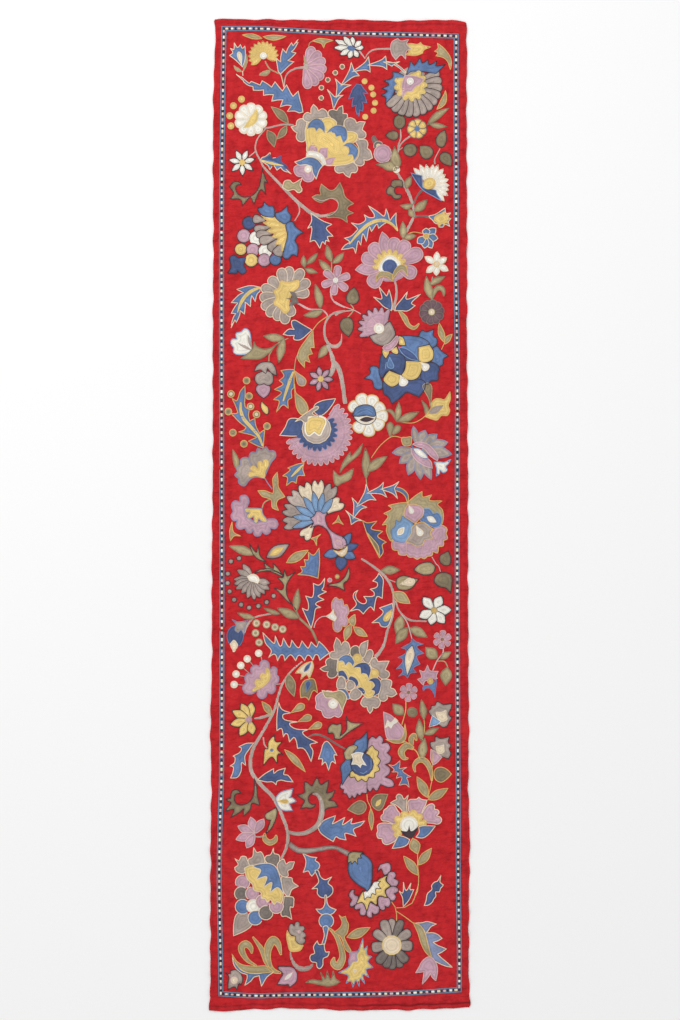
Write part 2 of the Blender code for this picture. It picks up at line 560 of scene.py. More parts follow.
def ribbon(spine, widths, steps=6):
    """A stem or band along a line; its widths are read evenly along it."""
    line = curve_through(spine, closed=False, steps=steps)
    left, right = [], []
    for place, here in enumerate(line):
        before = line[max(place - 1, 0)]
        after = line[min(place + 1, len(line) - 1)]
        way = (after[0] - before[0], after[1] - before[1])
        size = max(math.hypot(*way), 1e-9)
        at = place / (len(line) - 1) * (len(widths) - 1)
        low = min(int(at), len(widths) - 2)
        half = 0.5 * (widths[low] + (widths[low + 1] - widths[low]) * (at - low))
        half = max(half, 0.08)
        left.append((here[0] + way[1] / size * half, here[1] - way[0] / size * half))
        right.append((here[0] - way[1] / size * half, here[1] + way[0] / size * half))
    return left + right[::-1]


# Stitching of outlines into pieces


def to_cloth(point):
    """The place of a photo pixel, in metres on the cloth."""
    return (point[0] - MIDDLE_COLUMN) * SQUARE, (MIDDLE_ROW - point[1]) * SQUARE


def spaced(points, step, closed):
    """The same line with its points about a step apart, corners kept where they are sharp."""
    line = [Vector(point) for point in points]
    if closed:
        line.append(line[0])
    kept = [line[0]]
    run = 0.0
    for place in range(1, len(line)):
        run += (line[place] - line[place - 1]).length
        last = place == len(line) - 1
        sharp = False
        if not last:
            way = line[place] - line[place - 1]
            after = line[place + 1] - line[place]
            if way.length > 1e-7 and after.length > 1e-7:
                sharp = way.angle(after) > 0.7
        if run >= step * 0.72 or sharp or last:
            if (line[place] - kept[-1]).length > step * 0.2 or last:
                kept.append(line[place])
            run = 0.0
    if closed:
        kept.pop()
        if len(kept) > 3 and (kept[-1] - kept[0]).length < step * 0.25:
            kept.pop()
    return kept


def inside(places, flat):
    """Which places lie within an outline."""
    x, y = places[:, 0, None], places[:, 1, None]
    start_x, start_y = flat[:, 0], flat[:, 1]
    end_x, end_y = np.roll(start_x, -1), np.roll(start_y, -1)
    crossed = (start_y > y) != (end_y > y)
    rise = np.where(np.abs(end_y - start_y) < 1e-12, 1e-12, end_y - start_y)
    at = start_x + (y - start_y) / rise * (end_x - start_x)
    return np.sum(crossed & (x < at), axis=1) % 2 == 1


def nearest(places, flat):
    """For each place, how far an outline is, and which of its sides is nearest."""
    way = np.roll(flat, -1, axis=0) - flat
    size = np.maximum(np.linalg.norm(way, axis=1), 1e-9)
    way = way / size[:, None]
    step = places[:, None, :] - flat[None, :, :]
    along = np.clip(np.sum(step * way[None], axis=2), 0.0, size[None])
    foot = flat[None] + along[..., None] * way[None]
    far = np.linalg.norm(places[:, None, :] - foot, axis=2)
    return far.min(axis=1), far.argmin(axis=1)


def mean_width(flat):
    """How wide an outline is on average: twice its area over its edge."""
    after = np.roll(flat, -1, axis=0)
    area = 0.5 * abs(np.sum(flat[:, 0] * after[:, 1] - after[:, 0] * flat[:, 1]))
    return 2.0 * area / np.sum(np.linalg.norm(after - flat, axis=1))


class Fill:
    """A filled outline that is already stitched, and how many others lie under it."""

    def __init__(self, flat, level):
        self.flat = flat
        self.level = level
        self.low = flat.min(axis=0)
        self.high = flat.max(axis=0)

    def holds(self, places):
        """Which places it covers."""
        if np.any(places.max(axis=0) < self.low) or np.any(places.min(axis=0) > self.high):
            return np.zeros(len(places), bool)
        return inside(places, self.flat)


class Embroidery:
    """One stitched motif: fills and lines gathered into one piece; later ones lie on earlier."""

    def __init__(self, name):
        self.name = name
        self.mesh = bmesh.new()
        self.mesh.loops.layers.uv.new("stitch")
        self.threads = []
        self.fills = []
        self.edges = []
        self.spare = bpy.data.meshes.new(name + "_patch")

    def slot_of(self, thread):
        """The material slot of a thread, added when it is first used."""
        if thread not in self.threads:
            self.threads.append(thread)
        return self.threads.index(thread)

    def take(self, patch):
        """Add a finished patch to the motif."""
        patch.to_mesh(self.spare)
        patch.free()
        self.mesh.from_mesh(self.spare)

    def levels(self, places):
        """How high the fills are stacked at each place; 0 where there is only cloth."""
        levels = np.zeros(len(places))
        for fill in self.fills:
            levels = np.where(fill.holds(places), np.maximum(levels, fill.level), levels)
        return levels

    def fill(self, outline, thread, edge=None, loft=FILL_LOFT, edge_width=LINE_WIDTH):
        """Cover an outline with rows of chain stitch that follow its edge."""
        rim = spaced([to_cloth(point) for point in outline], LINE_STEP, closed=True)
        flat = np.array([tuple(point) for point in rim])
        around = np.roll(flat, -1, axis=0)
        if np.sum(flat[:, 0] * around[:, 1] - around[:, 0] * flat[:, 1]) < 0.0:
            rim.reverse()
            flat = flat[::-1]
        patch = bmesh.new()
        stitch = patch.loops.layers.uv.new("stitch")
        face = patch.faces.new([patch.verts.new((point[0], point[1], 0.0)) for point in rim])
        face.normal_update()
        bmesh.ops.triangulate(patch, faces=[face])
        if mean_width(flat) < NARROW_FILL:
            inner = [seam for seam in patch.edges if not seam.is_boundary]
            bmesh.ops.subdivide_edges(patch, edges=inner, cuts=1)
        low, high = flat.min(axis=0), flat.max(axis=0)
        for axis, normal in enumerate(((1.0, 0.0, 0.0), (0.0, 1.0, 0.0))):
            first = math.ceil((low[axis] + CUT_MARGIN) / FILL_STEP)
            last = math.floor((high[axis] - CUT_MARGIN) / FILL_STEP)
            for cut in range(first, last + 1):
                parts = list(patch.verts) + list(patch.edges) + list(patch.faces)
                place = Vector(normal) * (cut * FILL_STEP)
                bmesh.ops.bisect_plane(
                    patch, geom=parts, dist=1e-5, plane_co=place, plane_no=normal
                )
        places = np.array([tuple(vert.co)[:2] for vert in patch.verts])
        far, __ = nearest(places, flat)
        under = self.levels(places)
        level = under.max() + 1
        top = loft + (level - 1) * STACK_RISE
        heights = -FILL_SINK + (FILL_SINK + top) * (1.0 - np.exp(-far / FILL_ROUND))
        heights = np.where(under > 0, np.maximum(heights, top - 0.25 * STACK_RISE), heights)
        for vert, height in zip(patch.verts, heights):
            vert.co.z = height
        patch.verts.index_update()
        way = np.roll(flat, -1, axis=0) - flat
        size = np.maximum(np.linalg.norm(way, axis=1), 1e-9)
        run = np.concatenate(([0.0], np.cumsum(size)[:-1]))
        middles = np.array([tuple(face.calc_center_median())[:2] for face in patch.faces])
        __, beside = nearest(middles, flat)
        slot = self.slot_of(thread)
        for face, side in zip(patch.faces, beside):
            face.material_index = slot
            face.smooth = True
            for loop in face.loops:
                step = places[loop.vert.index] - flat[side]
                along = run[side] + float(step @ way[side]) / size[side]
                loop[stitch].uv = (along, float(far[loop.vert.index]))
        self.take(patch)
        self.fills.append(Fill(flat, level))
        if edge:
            self.edges.append((outline, edge, edge_width, len(self.fills)))

    def work_edges(self):
        """Work each edging where no later fill covers it."""
        for outline, thread, width, count in self.edges:
            path = spaced([to_cloth(point) for point in outline], CLIP_STEP, closed=True)
            places = np.array([tuple(point) for point in path])
            hidden = np.zeros(len(path), bool)
            for later in self.fills[count:]:
                held = later.holds(places)
                if held.any():
                    far, __ = nearest(places, later.flat)
                    hidden |= held & (far > CLIP_DEPTH)
            level = self.fills[count - 1].level
            if not hidden.any():
                self.cord(path, thread, width, closed=True, level=level)
                continue
            if hidden.all():
                continue
            first = next(n for n in range(len(path)) if hidden[n - 1] and not hidden[n])
            run = []
            for turn in range(len(path) + 1):
                place = (first + turn) % len(path)
                if turn < len(path) and not hidden[place]:
                    run.append(path[place])
                    continue
                if len(run) > 2:
                    self.cord(run, thread, width, closed=False, level=level)
                run = []

    def line(self, path, thread, width=LINE_WIDTH, closed=False, foot=LINE_FOOT):
        """A single row of stitch along a path."""
        self.cord([Vector(to_cloth(point)) for point in path], thread, width, closed, foot=foot)

    def cord(self, path, thread, width, closed, level=None, foot=LINE_FOOT):
        """A row of stitch as a low rounded cord; its level is what lies under it."""
        points = spaced(path, LINE_STEP, closed)
        if closed:
            points.append(points[0])
        if len(points) < 2:
            return
        if level is None:
            level = self.levels(np.array([tuple(point) for point in points])).max()
        profile = ((-0.5, -0.30), (-0.36, 0.55), (0.0, 1.0), (0.36, 0.55), (0.5, -0.30))
        last = len(points) - 1
        strip = bmesh.new()
        stitch = strip.loops.layers.uv.new("stitch")
        bmesh.ops.create_grid(strip, x_segments=last, y_segments=len(profile) - 1, size=0.5)
        run = [0.0]
        for first, second in zip(points, points[1:]):
            run.append(run[-1] + (second - first).length)
        asides = []
        for place, here in enumerate(points):
            before = points[place - 1] if place else points[-2] if closed else here
            after = points[place + 1] if place < last else points[1] if closed else here
            first, second = here - before, after - here
            first = first.normalized() if first.length > 1e-9 else second.normalized()
            second = second.normalized() if second.length > 1e-9 else first
            way = first + second
            way = way.normalized() if way.length > 0.2 else first
            stretch = min(1.0 / max(way.dot(first), 0.3), 1.5)
            asides.append(Vector((-way[1], way[0])) * stretch)
        rise = level * STACK_RISE
        keys = {}
        for vert in strip.verts:
            place = round((vert.co.x + 0.5) * last)
            across = round((vert.co.y + 0.5) * (len(profile) - 1))
            keys[vert] = (place, across)
            out, up = profile[across]
            place_on = points[place] + asides[place] * (out * width)
            height = rise + foot + LINE_LOFT * up if up > 0.0 else -FILL_SINK
            vert.co = (place_on[0], place_on[1], height)
        slot = self.slot_of(thread)
        row = settings().row_width
        for face in strip.faces:
            face.material_index = slot
            face.smooth = True
            for loop in face.loops:
                place, across = keys[loop.vert]
                loop[stitch].uv = (run[place], row * (profile[across][0] + 0.5) * 0.98 + 1e-5)
        if closed:
            bmesh.ops.remove_doubles(strip, verts=list(strip.verts), dist=1e-6)
        self.take(strip)

    def shape(self, points, thread, edge=None, **more):
        """A free smooth outline through a few points, filled and perhaps edged."""
        self.fill(curve_through(points), thread, edge, **more)

    def leaf(self, base, tip, width, thread="khaki", edge=None, bend=0.0, form="leaf"):
        """One leaf, petal or bud."""
        self.fill(blade(base, tip, width, form, bend), thread, edge)

    def leaves(self, rows, thread="khaki", edge=None, form="leaf"):
        """Leaves of one thread: base, tip, width and bend for each."""
        for base, tip, width, bend in rows:
            self.leaf(base, tip, width, thread, edge, bend, form)

    def petals(self, form, centre, count, inner, outer, width, thread, edge=None,
               start=0.0, sweep=360.0, **more):
        """The same petal again and again round a centre."""
        for base, tip in fan(centre, count, inner, outer, start, sweep):
            self.fill(blade(base, tip, width, form), thread, edge, **more)

    def rays(self, form, centre, tips, inner, width, thread, edge=None, **more):
        """Petals from a centre to tips of their own."""
        for tip in tips:
            way = (tip[0] - centre[0], tip[1] - centre[1])
            share = inner / math.hypot(*way)
            base = (centre[0] + way[0] * share, centre[1] + way[1] * share)
            self.fill(blade(base, tip, width, form), thread, edge, **more)

    def disc(self, centre, radius, thread, edge=None, squash=1.0, angle=0.0):
        """A round or oval spot."""
        self.fill(ring(centre, radius, squash, angle), thread, edge)

    def discs(self, places, radius, thread, edge=None):
        """Spots of one size."""
        for place in places:
            self.disc(place, radius, thread, edge)

    def stem(self, spine, *widths, thread="stem", edge=None):
        """A stem that may swell and taper."""
        if max(widths) < 1.5 and not edge:
            line = curve_through(spine, closed=False)
            self.line(line, thread, width=widths[0] * SQUARE)
            return
        if len(widths) < 2:
            widths = (widths[0], widths[0])
        self.fill(ribbon(spine, widths), thread, edge)

    def saz(self, spine, width, teeth, thread="blue", edge="cream", rib=None, **cut):
        """A long saw-edged leaf, with a plain band of another thread along its middle."""
        self.fill(serrated(spine, width, teeth, **cut), thread, edge)
        if rib:
            band, thick, far = rib
            line = curve_through(spine, closed=False, steps=8)
            line = line[: max(3, int(far * len(line)))]
            picked = [line[0], line[len(line) // 3], line[2 * len(line) // 3], line[-1]]
            self.fill(ribbon(picked, (thick * 0.6, thick, thick, 0.5)), band)

    def arrow(self, base, left, notch, right, thread="blue", edge="cream"):
        """One barb of a thorny vine: its foot, its two points and the notch between them."""
        waist = ((base[0] + notch[0]) / 2, (base[1] + notch[1]) / 2)
        points = []
        for tip in (left, right):
            points.append((0.55 * waist[0] + 0.45 * tip[0], 0.55 * waist[1] + 0.45 * tip[1]))
        outline = ((*base, 1), points[0], (*left, 1), (*notch, 1), (*right, 1), points[1])
        self.shape(outline, thread, edge)

    def finish(self):
        """Lay the motif on the cloth as one object."""
        self.work_edges()
        mesh = bpy.data.meshes.new(self.name)
        self.mesh.to_mesh(mesh)
        self.mesh.free()
        bpy.data.meshes.remove(self.spare)
        places = np.empty(len(mesh.vertices) * 3)
        mesh.vertices.foreach_get("co", places)
        places = places.reshape(-1, 3)
        places[:, 2] += LIE.at(places[:, 0], places[:, 1])
        mesh.vertices.foreach_set("co", places.ravel())
        mesh.update()
        for thread in self.threads:
            mesh.materials.append(thread_material(thread))
        piece = bpy.data.objects.new(self.name, mesh)
        bpy.context.scene.collection.objects.link(piece)
        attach(piece, "root")
        return piece


# Finishes


class NodeDesk:
    """Short words for placing and joining shader nodes in one tree."""

    def __init__(self, tree):
        self.tree = tree
        self.count = 0

    def add(self, kind, **inputs):
        """A node of a kind, with its named inputs set or joined."""
        node = self.tree.nodes.new(kind)
        node.location = (180.0 * (self.count % 8), -220.0 * (self.count // 8))
        self.count += 1
        for name, value in inputs.items():
            self.put(node.inputs[name.replace("_", " ")], value)
        return node

    def put(self, socket, value):
        """Set a socket, or join it to another node's output."""
        if isinstance(value, bpy.types.NodeSocket):
            self.tree.links.new(value, socket)
        else:
            socket.default_value = value

    def math(self, operation, *values, clamp=False):
        """A Math node's output."""
        node = self.add("ShaderNodeMath")
        node.operation = operation
        node.use_clamp = clamp
        for socket, value in zip(node.inputs, values):
            self.put(socket, value)
        return node.outputs[0]

    def mix(self, share, first, second, blend="MIX"):
        """A colour mix's output."""
        node = self.add("ShaderNodeMix")
        node.data_type = "RGBA"
        node.blend_type = blend
        for place, value in ((0, share), (6, first), (7, second)):
            self.put(node.inputs[place], value)
        return node.outputs[2]

    def ranged(self, value, low, high, new_low, new_high):
        """A value moved from one range to another."""
        node = self.add("ShaderNodeMapRange")
        for socket, item in zip(node.inputs, (value, low, high, new_low, new_high)):
            self.put(socket, item)
        return node.outputs[0]

    def noise(self, vector, scale, detail=2.0, roughness=0.5):
        """A noise node's value."""
        node = self.add("ShaderNodeTexNoise", Vector=vector, Scale=scale)
        node.inputs["Detail"].default_value = detail
        node.inputs["Roughness"].default_value = roughness
        return node.outputs["Fac"]

    def scaled(self, vector, across, along, up=1.0):
        """A vector stretched by its own factor on each axis."""
        node = self.add("ShaderNodeVectorMath")
        node.operation = "MULTIPLY"
        self.put(node.inputs[0], vector)
        self.put(node.inputs[1], (across, along, up))
        return node.outputs[0]


def new_group(name, inputs, outputs):
    """An empty node group with its sockets, its desk, and its input and output nodes."""
    tree = bpy.data.node_groups.new(name, "ShaderNodeTree")
    for label, kind, value in inputs:
        socket = tree.interface.new_socket(label, in_out="INPUT", socket_type=kind)
        socket.default_value = value
    for label, kind in outputs:
        tree.interface.new_socket(label, in_out="OUTPUT", socket_type=kind)
    desk = NodeDesk(tree)
    return tree, desk, desk.add("NodeGroupInput"), desk.add("NodeGroupOutput")


# The threads' finish: painted shade between the stitches and painted light on their tops, and a random tone
# from row to row

THREAD_SHEEN = 0.12
STITCH_SHADES = (0.56, 1.08)
ROW_TONES = (0.88, 1.10)
LINK_WAVER = 0.22
ROW_SHIFT = 0.381


def chain_stitch_group():
    """Rows of chain stitch that follow the piece's own stitch map, as relief and shade."""
    if "Chain Stitch" in bpy.data.node_groups:
        return bpy.data.node_groups["Chain Stitch"]
    tree, desk, given, result = new_group(
        "Chain Stitch",
        (
            ("Row Width", "NodeSocketFloat", 0.0017),
            ("Link Length", "NodeSocketFloat", 0.0034),
        ),
        (
            ("Height", "NodeSocketFloat"),
            ("Shade", "NodeSocketFloat"),
            ("Row Tone", "NodeSocketFloat"),
        ),
    )
    stitch = desk.add("ShaderNodeUVMap")
    stitch.uv_map = "stitch"
    parts = desk.add("ShaderNodeSeparateXYZ", Vector=stitch.outputs["UV"])
    place = desk.add("ShaderNodeTexCoord").outputs["Object"]
    waver = desk.noise(place, 190.0, 1.0)
    waver = desk.ranged(waver, 0.0, 1.0, -LINK_WAVER, LINK_WAVER)
    rows = desk.math("DIVIDE", parts.outputs["Y"], given.outputs["Row Width"])
    row = desk.math("FLOOR", rows)
    across = desk.math("FRACT", rows)
    links = desk.math("DIVIDE", parts.outputs["X"], given.outputs["Link Length"])
    links = desk.math("ADD", desk.math("ADD", links, waver), desk.math("MULTIPLY", row, ROW_SHIFT))
    along = desk.math("FRACT", links)
    centred = desk.math("SUBTRACT", desk.math("MULTIPLY", across, 2.0), 1.0)
    swell = desk.math("SUBTRACT", 1.0, desk.math("MULTIPLY", centred, centred))
    round_row = desk.math("SQRT", desk.math("MAXIMUM", swell, 0.0))
    middle = desk.math("SUBTRACT", desk.math("MULTIPLY", along, 2.0), 1.0)
    loop = desk.math("SUBTRACT", 1.0, desk.math("MULTIPLY", middle, middle))
    plump = desk.math("MULTIPLY_ADD", loop, 0.34, 0.66)
    groove = desk.ranged(desk.math("ABSOLUTE", centred), 0.0, 0.34, 0.30, 0.0)
    groove = desk.math("MULTIPLY", groove, loop)
    height = desk.math("SUBTRACT", desk.math("MULTIPLY", round_row, plump), groove)
    strands = desk.noise(desk.scaled(stitch.outputs["UV"], 900.0, 5200.0), 1.0, 1.0)
    height = desk.math("MULTIPLY_ADD", strands, 0.16, height)
    tone = desk.add("ShaderNodeTexWhiteNoise")
    tone.noise_dimensions = "1D"
    desk.put(tone.inputs["W"], row)
    desk.put(result.inputs["Height"], height)
    desk.put(result.inputs["Shade"], desk.ranged(height, 0.12, 0.85, 0.0, 1.0))
    desk.put(result.inputs["Row Tone"], tone.outputs["Value"])
    return tree


def dyed_shaded_thread_group():
    """Hand-dyed silk: two shades that drift over the cloth, with painted shade between the stitches and
    painted light on their tops.
    """
    if "Dyed Thread With Painted Shade" in bpy.data.node_groups:
        return bpy.data.node_groups["Dyed Thread With Painted Shade"]
    tree, desk, given, result = new_group(
        "Dyed Thread With Painted Shade",
        (
            ("Thread", "NodeSocketColor", (0.5, 0.5, 0.5, 1.0)),
            ("Second Shade", "NodeSocketColor", (0.4, 0.4, 0.4, 1.0)),
            ("Shade", "NodeSocketFloat", 1.0),
            ("Row Tone", "NodeSocketFloat", 0.5),
        ),
        (("Color", "NodeSocketColor"),),
    )
    place = desk.add("ShaderNodeTexCoord").outputs["Object"]
    lots = desk.ranged(desk.noise(place, 26.0, 1.0), 0.40, 0.62, 0.0, 1.0)
    skeins = desk.ranged(desk.noise(place, 120.0, 2.0), 0.38, 0.66, 0.0, 0.55)
    share = desk.math("ADD", desk.math("MULTIPLY", lots, 0.75), skeins, clamp=True)
    colour = desk.mix(share, given.outputs["Thread"], given.outputs["Second Shade"])
    lighter = desk.ranged(given.outputs["Row Tone"], 0.0, 1.0, *ROW_TONES)
    # Painted shade in the grooves between the stitches and painted light on their tops
    deep = desk.ranged(given.outputs["Shade"], 0.0, 1.0, *STITCH_SHADES)
    bright = desk.math("MULTIPLY", lighter, deep)
    toned = desk.add("ShaderNodeVectorMath")
    toned.operation = "SCALE"
    desk.put(toned.inputs[0], colour)
    desk.put(toned.inputs["Scale"], bright)
    desk.put(result.inputs["Color"], toned.outputs[0])
    return tree


def woven_ground_group():
    """A plain weave with slubs, as relief, and the crinkles that the stitching leaves."""
    if "Woven Ground" in bpy.data.node_groups:
        return bpy.data.node_groups["Woven Ground"]
    tree, desk, given, result = new_group(
        "Woven Ground",
        (("Pitch", "NodeSocketFloat", 0.0007),),
        (
            ("Weave", "NodeSocketFloat"),
            ("Slub", "NodeSocketFloat"),
            ("Crinkle", "NodeSocketFloat"),
        ),
    )
    place = desk.add("ShaderNodeTexCoord").outputs["Object"]
    parts = desk.add("ShaderNodeSeparateXYZ", Vector=place)
    waves = []
    for axis in ("X", "Y"):
        turn = desk.math("DIVIDE", parts.outputs[axis], given.outputs["Pitch"])
        waves.append(desk.math("SINE", desk.math("MULTIPLY", turn, math.pi)))
    weave = desk.math("MULTIPLY", waves[0], waves[1])
    warp = desk.noise(desk.scaled(place, 820.0, 26.0), 1.0, 2.0)
    weft = desk.noise(desk.scaled(place, 22.0, 760.0), 1.0, 2.0)
    slub = desk.math("MULTIPLY", desk.math("ADD", warp, weft), 0.5)
    crossways = desk.noise(desk.scaled(place, 34.0, 96.0), 1.0, 3.0, 0.55)
    cells = desk.noise(place, 92.0, 2.0, 0.5)
    crinkle = desk.math("ADD", desk.math("MULTIPLY", crossways, 0.6), desk.math("MULTIPLY", cells, 0.4))
    desk.put(result.inputs["Weave"], weave)
    desk.put(result.inputs["Slub"], slub)
    desk.put(result.inputs["Crinkle"], crinkle)
    return tree


def linear(part):
    """One 8-bit sRGB part as a linear value."""
    share = part / 255.0
    return share / 12.92 if share <= 0.04045 else ((share + 0.055) / 1.055) ** 2.4


def new_material(name, roughness, sheen=0.0):
    """A material with its Principled shader and a desk for its nodes."""
    material = bpy.data.materials.new(name)
    material.use_nodes = True
    shader = material.node_tree.nodes["Principled BSDF"]
    shader.inputs["Roughness"].default_value = roughness
    shader.inputs["Sheen Weight"].default_value = sheen
    shader.inputs["Sheen Roughness"].default_value = 0.5
    shader.inputs["Specular IOR Level"].default_value = 0.32
    return material, shader, NodeDesk(material.node_tree)


def place_group(desk, tree, **inputs):
    """A node group placed in a material."""
    node = desk.add("ShaderNodeGroup")
    node.node_tree = tree
    for name, value in inputs.items():
        desk.put(node.inputs[name.replace("_", " ")], value)
    return node


def thread_material(name):
    """The finish of one colour of silk thread, worked in chain stitch."""
    label = "thread_" + name
    if label in bpy.data.materials:
        return bpy.data.materials[label]
    __, red, green, blue, shade = next(row for row in THREADS if row[0] == name)
    given = settings()
    material, shader, desk = new_material(label, given.thread_roughness, sheen=THREAD_SHEEN)
    colour = (linear(red), linear(green), linear(blue), 1.0)
    second = (linear(red * shade), linear(green * shade), linear(blue * shade), 1.0)
    rows = place_group(
        desk, chain_stitch_group(), Row_Width=given.row_width, Link_Length=given.link_length
    )
    # The thread's dye colour, with painted shade between the stitches and painted light on their tops
    dyed = place_group(
        desk,
        dyed_shaded_thread_group(),
        Thread=colour,
        Second_Shade=second,
        Shade=rows.outputs["Shade"],
        Row_Tone=rows.outputs["Row Tone"],
    )
    bump = desk.add("ShaderNodeBump", Height=rows.outputs["Height"])
    bump.inputs["Strength"].default_value = 1.0
    bump.inputs["Distance"].default_value = given.stitch_relief
    desk.put(shader.inputs["Base Color"], dyed.outputs["Color"])
    desk.put(shader.inputs["Normal"], bump.outputs["Normal"])
    material.diffuse_color = colour
    return material


# The ground's finish: noise as scale, detail and roughness, then its range and how far it shows

GROUND_SHEEN = 0.03
GROUND_GLOSS = 0.16
# Dark and pale patches: uneven dye, and painted shade and light of the cloth's small folds
DEEP_SHARES = (0.72, 0.62, 0.70)
PALE_SHARES = (1.06, 1.50, 1.40)
# Painted shade along the hem seams: the dark red that the seam_shade share mixes in
PAINTED_SEAM_SHADE_COLOUR = (0.12, 0.004, 0.008, 1.0)
CLOUD_NOISE, CLOUD_RANGE = (9.0, 3.0, 0.6), (0.36, 0.64, 0.0, 0.85)
SPOT_NOISE, SPOT_RANGE = (58.0, 3.0, 0.6), (0.44, 0.68, 0.0, 1.0)
STREAK_SCALE, STREAK_NOISE, STREAK_RANGE = (60.0, 5.0), (1.0, 2.0), (0.4, 0.7, 0.0, 0.35)
SLUB_RANGE = (0.35, 0.6, 0.0, 0.22)
SLUB_RELIEF = 0.8
WEAVE_STRENGTH, WEAVE_DEPTH = 0.35, 0.00012
CRINKLE_STRENGTH, CRINKLE_DEPTH = 0.9, 0.012


def ground_material():
    """The finish of the red ground: dull silk and cotton, crinkled, with lighter and darker patches and
    streaks that are uneven dye and painted light and shade of its small folds, and painted shade in the hem
    seams.
    """
    given = settings()
    material, shader, desk = new_material("ground_red", given.ground_roughness, sheen=GROUND_SHEEN)
    red = (*given.ground_colour, 1.0)
    deep = (*(part * share for part, share in zip(given.ground_colour, DEEP_SHARES)), 1.0)
    pale = (*(part * share for part, share in zip(given.ground_colour, PALE_SHARES)), 1.0)
    place = desk.add("ShaderNodeTexCoord").outputs["Object"]
    cloth = place_group(desk, woven_ground_group(), Pitch=given.weave_pitch)
    clouds = desk.ranged(desk.noise(place, *CLOUD_NOISE), *CLOUD_RANGE)
    spots = desk.ranged(desk.noise(place, *SPOT_NOISE), *SPOT_RANGE)
    streaks = desk.ranged(desk.noise(desk.scaled(place, *STREAK_SCALE), *STREAK_NOISE), *STREAK_RANGE)
    # Lighter clouds, darker spots and streaks: uneven dye, and painted light and shade of the cloth's small
    # folds
    colour = desk.mix(clouds, red, pale)
    colour = desk.mix(spots, colour, deep)
    colour = desk.mix(streaks, colour, deep)
    colour = desk.mix(desk.ranged(cloth.outputs["Slub"], *SLUB_RANGE), colour, deep)
    # Painted shade in the hem seams, as much as the ground's seam_shade says
    seam_shading = desk.add("ShaderNodeAttribute")
    seam_shading.attribute_name = "seam_shade"
    colour = desk.mix(seam_shading.outputs["Fac"], colour, PAINTED_SEAM_SHADE_COLOUR)
    shader.inputs["Specular IOR Level"].default_value = GROUND_GLOSS
    fine = desk.math("MULTIPLY_ADD", cloth.outputs["Slub"], SLUB_RELIEF, cloth.outputs["Weave"])
    weave = desk.add("ShaderNodeBump", Height=fine)
    weave.inputs["Strength"].default_value = WEAVE_STRENGTH
    weave.inputs["Distance"].default_value = WEAVE_DEPTH
    crinkle = desk.add("ShaderNodeBump", Height=cloth.outputs["Crinkle"], Normal=weave.outputs[0])
    crinkle.inputs["Strength"].default_value = CRINKLE_STRENGTH
    crinkle.inputs["Distance"].default_value = CRINKLE_DEPTH
    desk.put(shader.inputs["Base Color"], colour)
    desk.put(shader.inputs["Normal"], crinkle.outputs["Normal"])
    material.diffuse_color = red
    return material


# The ground cloth

EDGE_ROUNDING = 0.0005
EDGE_ROUND_REACH = 0.002
# Painted shade along the hem seams: its least share, how its patches wave, and its strength at the near
# end, the far end and the sides
SEAM_LEAST = 0.35
SEAM_WAVES = (37.0, 13.0)
NEAR_SEAM_SHADE = 0.50
NEAR_SEAM_MORE = 0.45
NEAR_SEAM_REACH = 0.06
FAR_SEAM_SHADE = 0.42
SIDE_SEAM_SHADE = 0.25


def ground_shares(whole, first_hem, last_hem):
    """Even steps from 0 to 1, with close steps over the hem at each end."""
    first = [0.0, 0.25 * first_hem, 0.6 * first_hem, first_hem - SEAM_HALF, first_hem]
    first += [first_hem + SEAM_HALF, first_hem + 2.5 * SEAM_HALF]
    last = [0.0, 0.25 * last_hem, 0.6 * last_hem, last_hem - SEAM_HALF, last_hem]
    last += [last_hem + SEAM_HALF, last_hem + 2.5 * SEAM_HALF]
    inner = whole - first[-1] - last[-1]
    count = round(inner / GROUND_STEP)
    middle = [first[-1] + inner * step / count for step in range(1, count)]
    return np.array(first + middle + [whole - far for far in reversed(last)]) / whole


def hem_profile(far, depth):
    """Rise of a hem's doubled cloth at a distance from its edge, and the dip of its seam."""
    rise = HEM_EXTRA * (1.0 - ease((far - depth) / (2.0 * SEAM_HALF)))
    return rise, SEAM_SINK * np.exp(-(((far - depth - 0.4 * SEAM_HALF) / SEAM_HALF) ** 2))


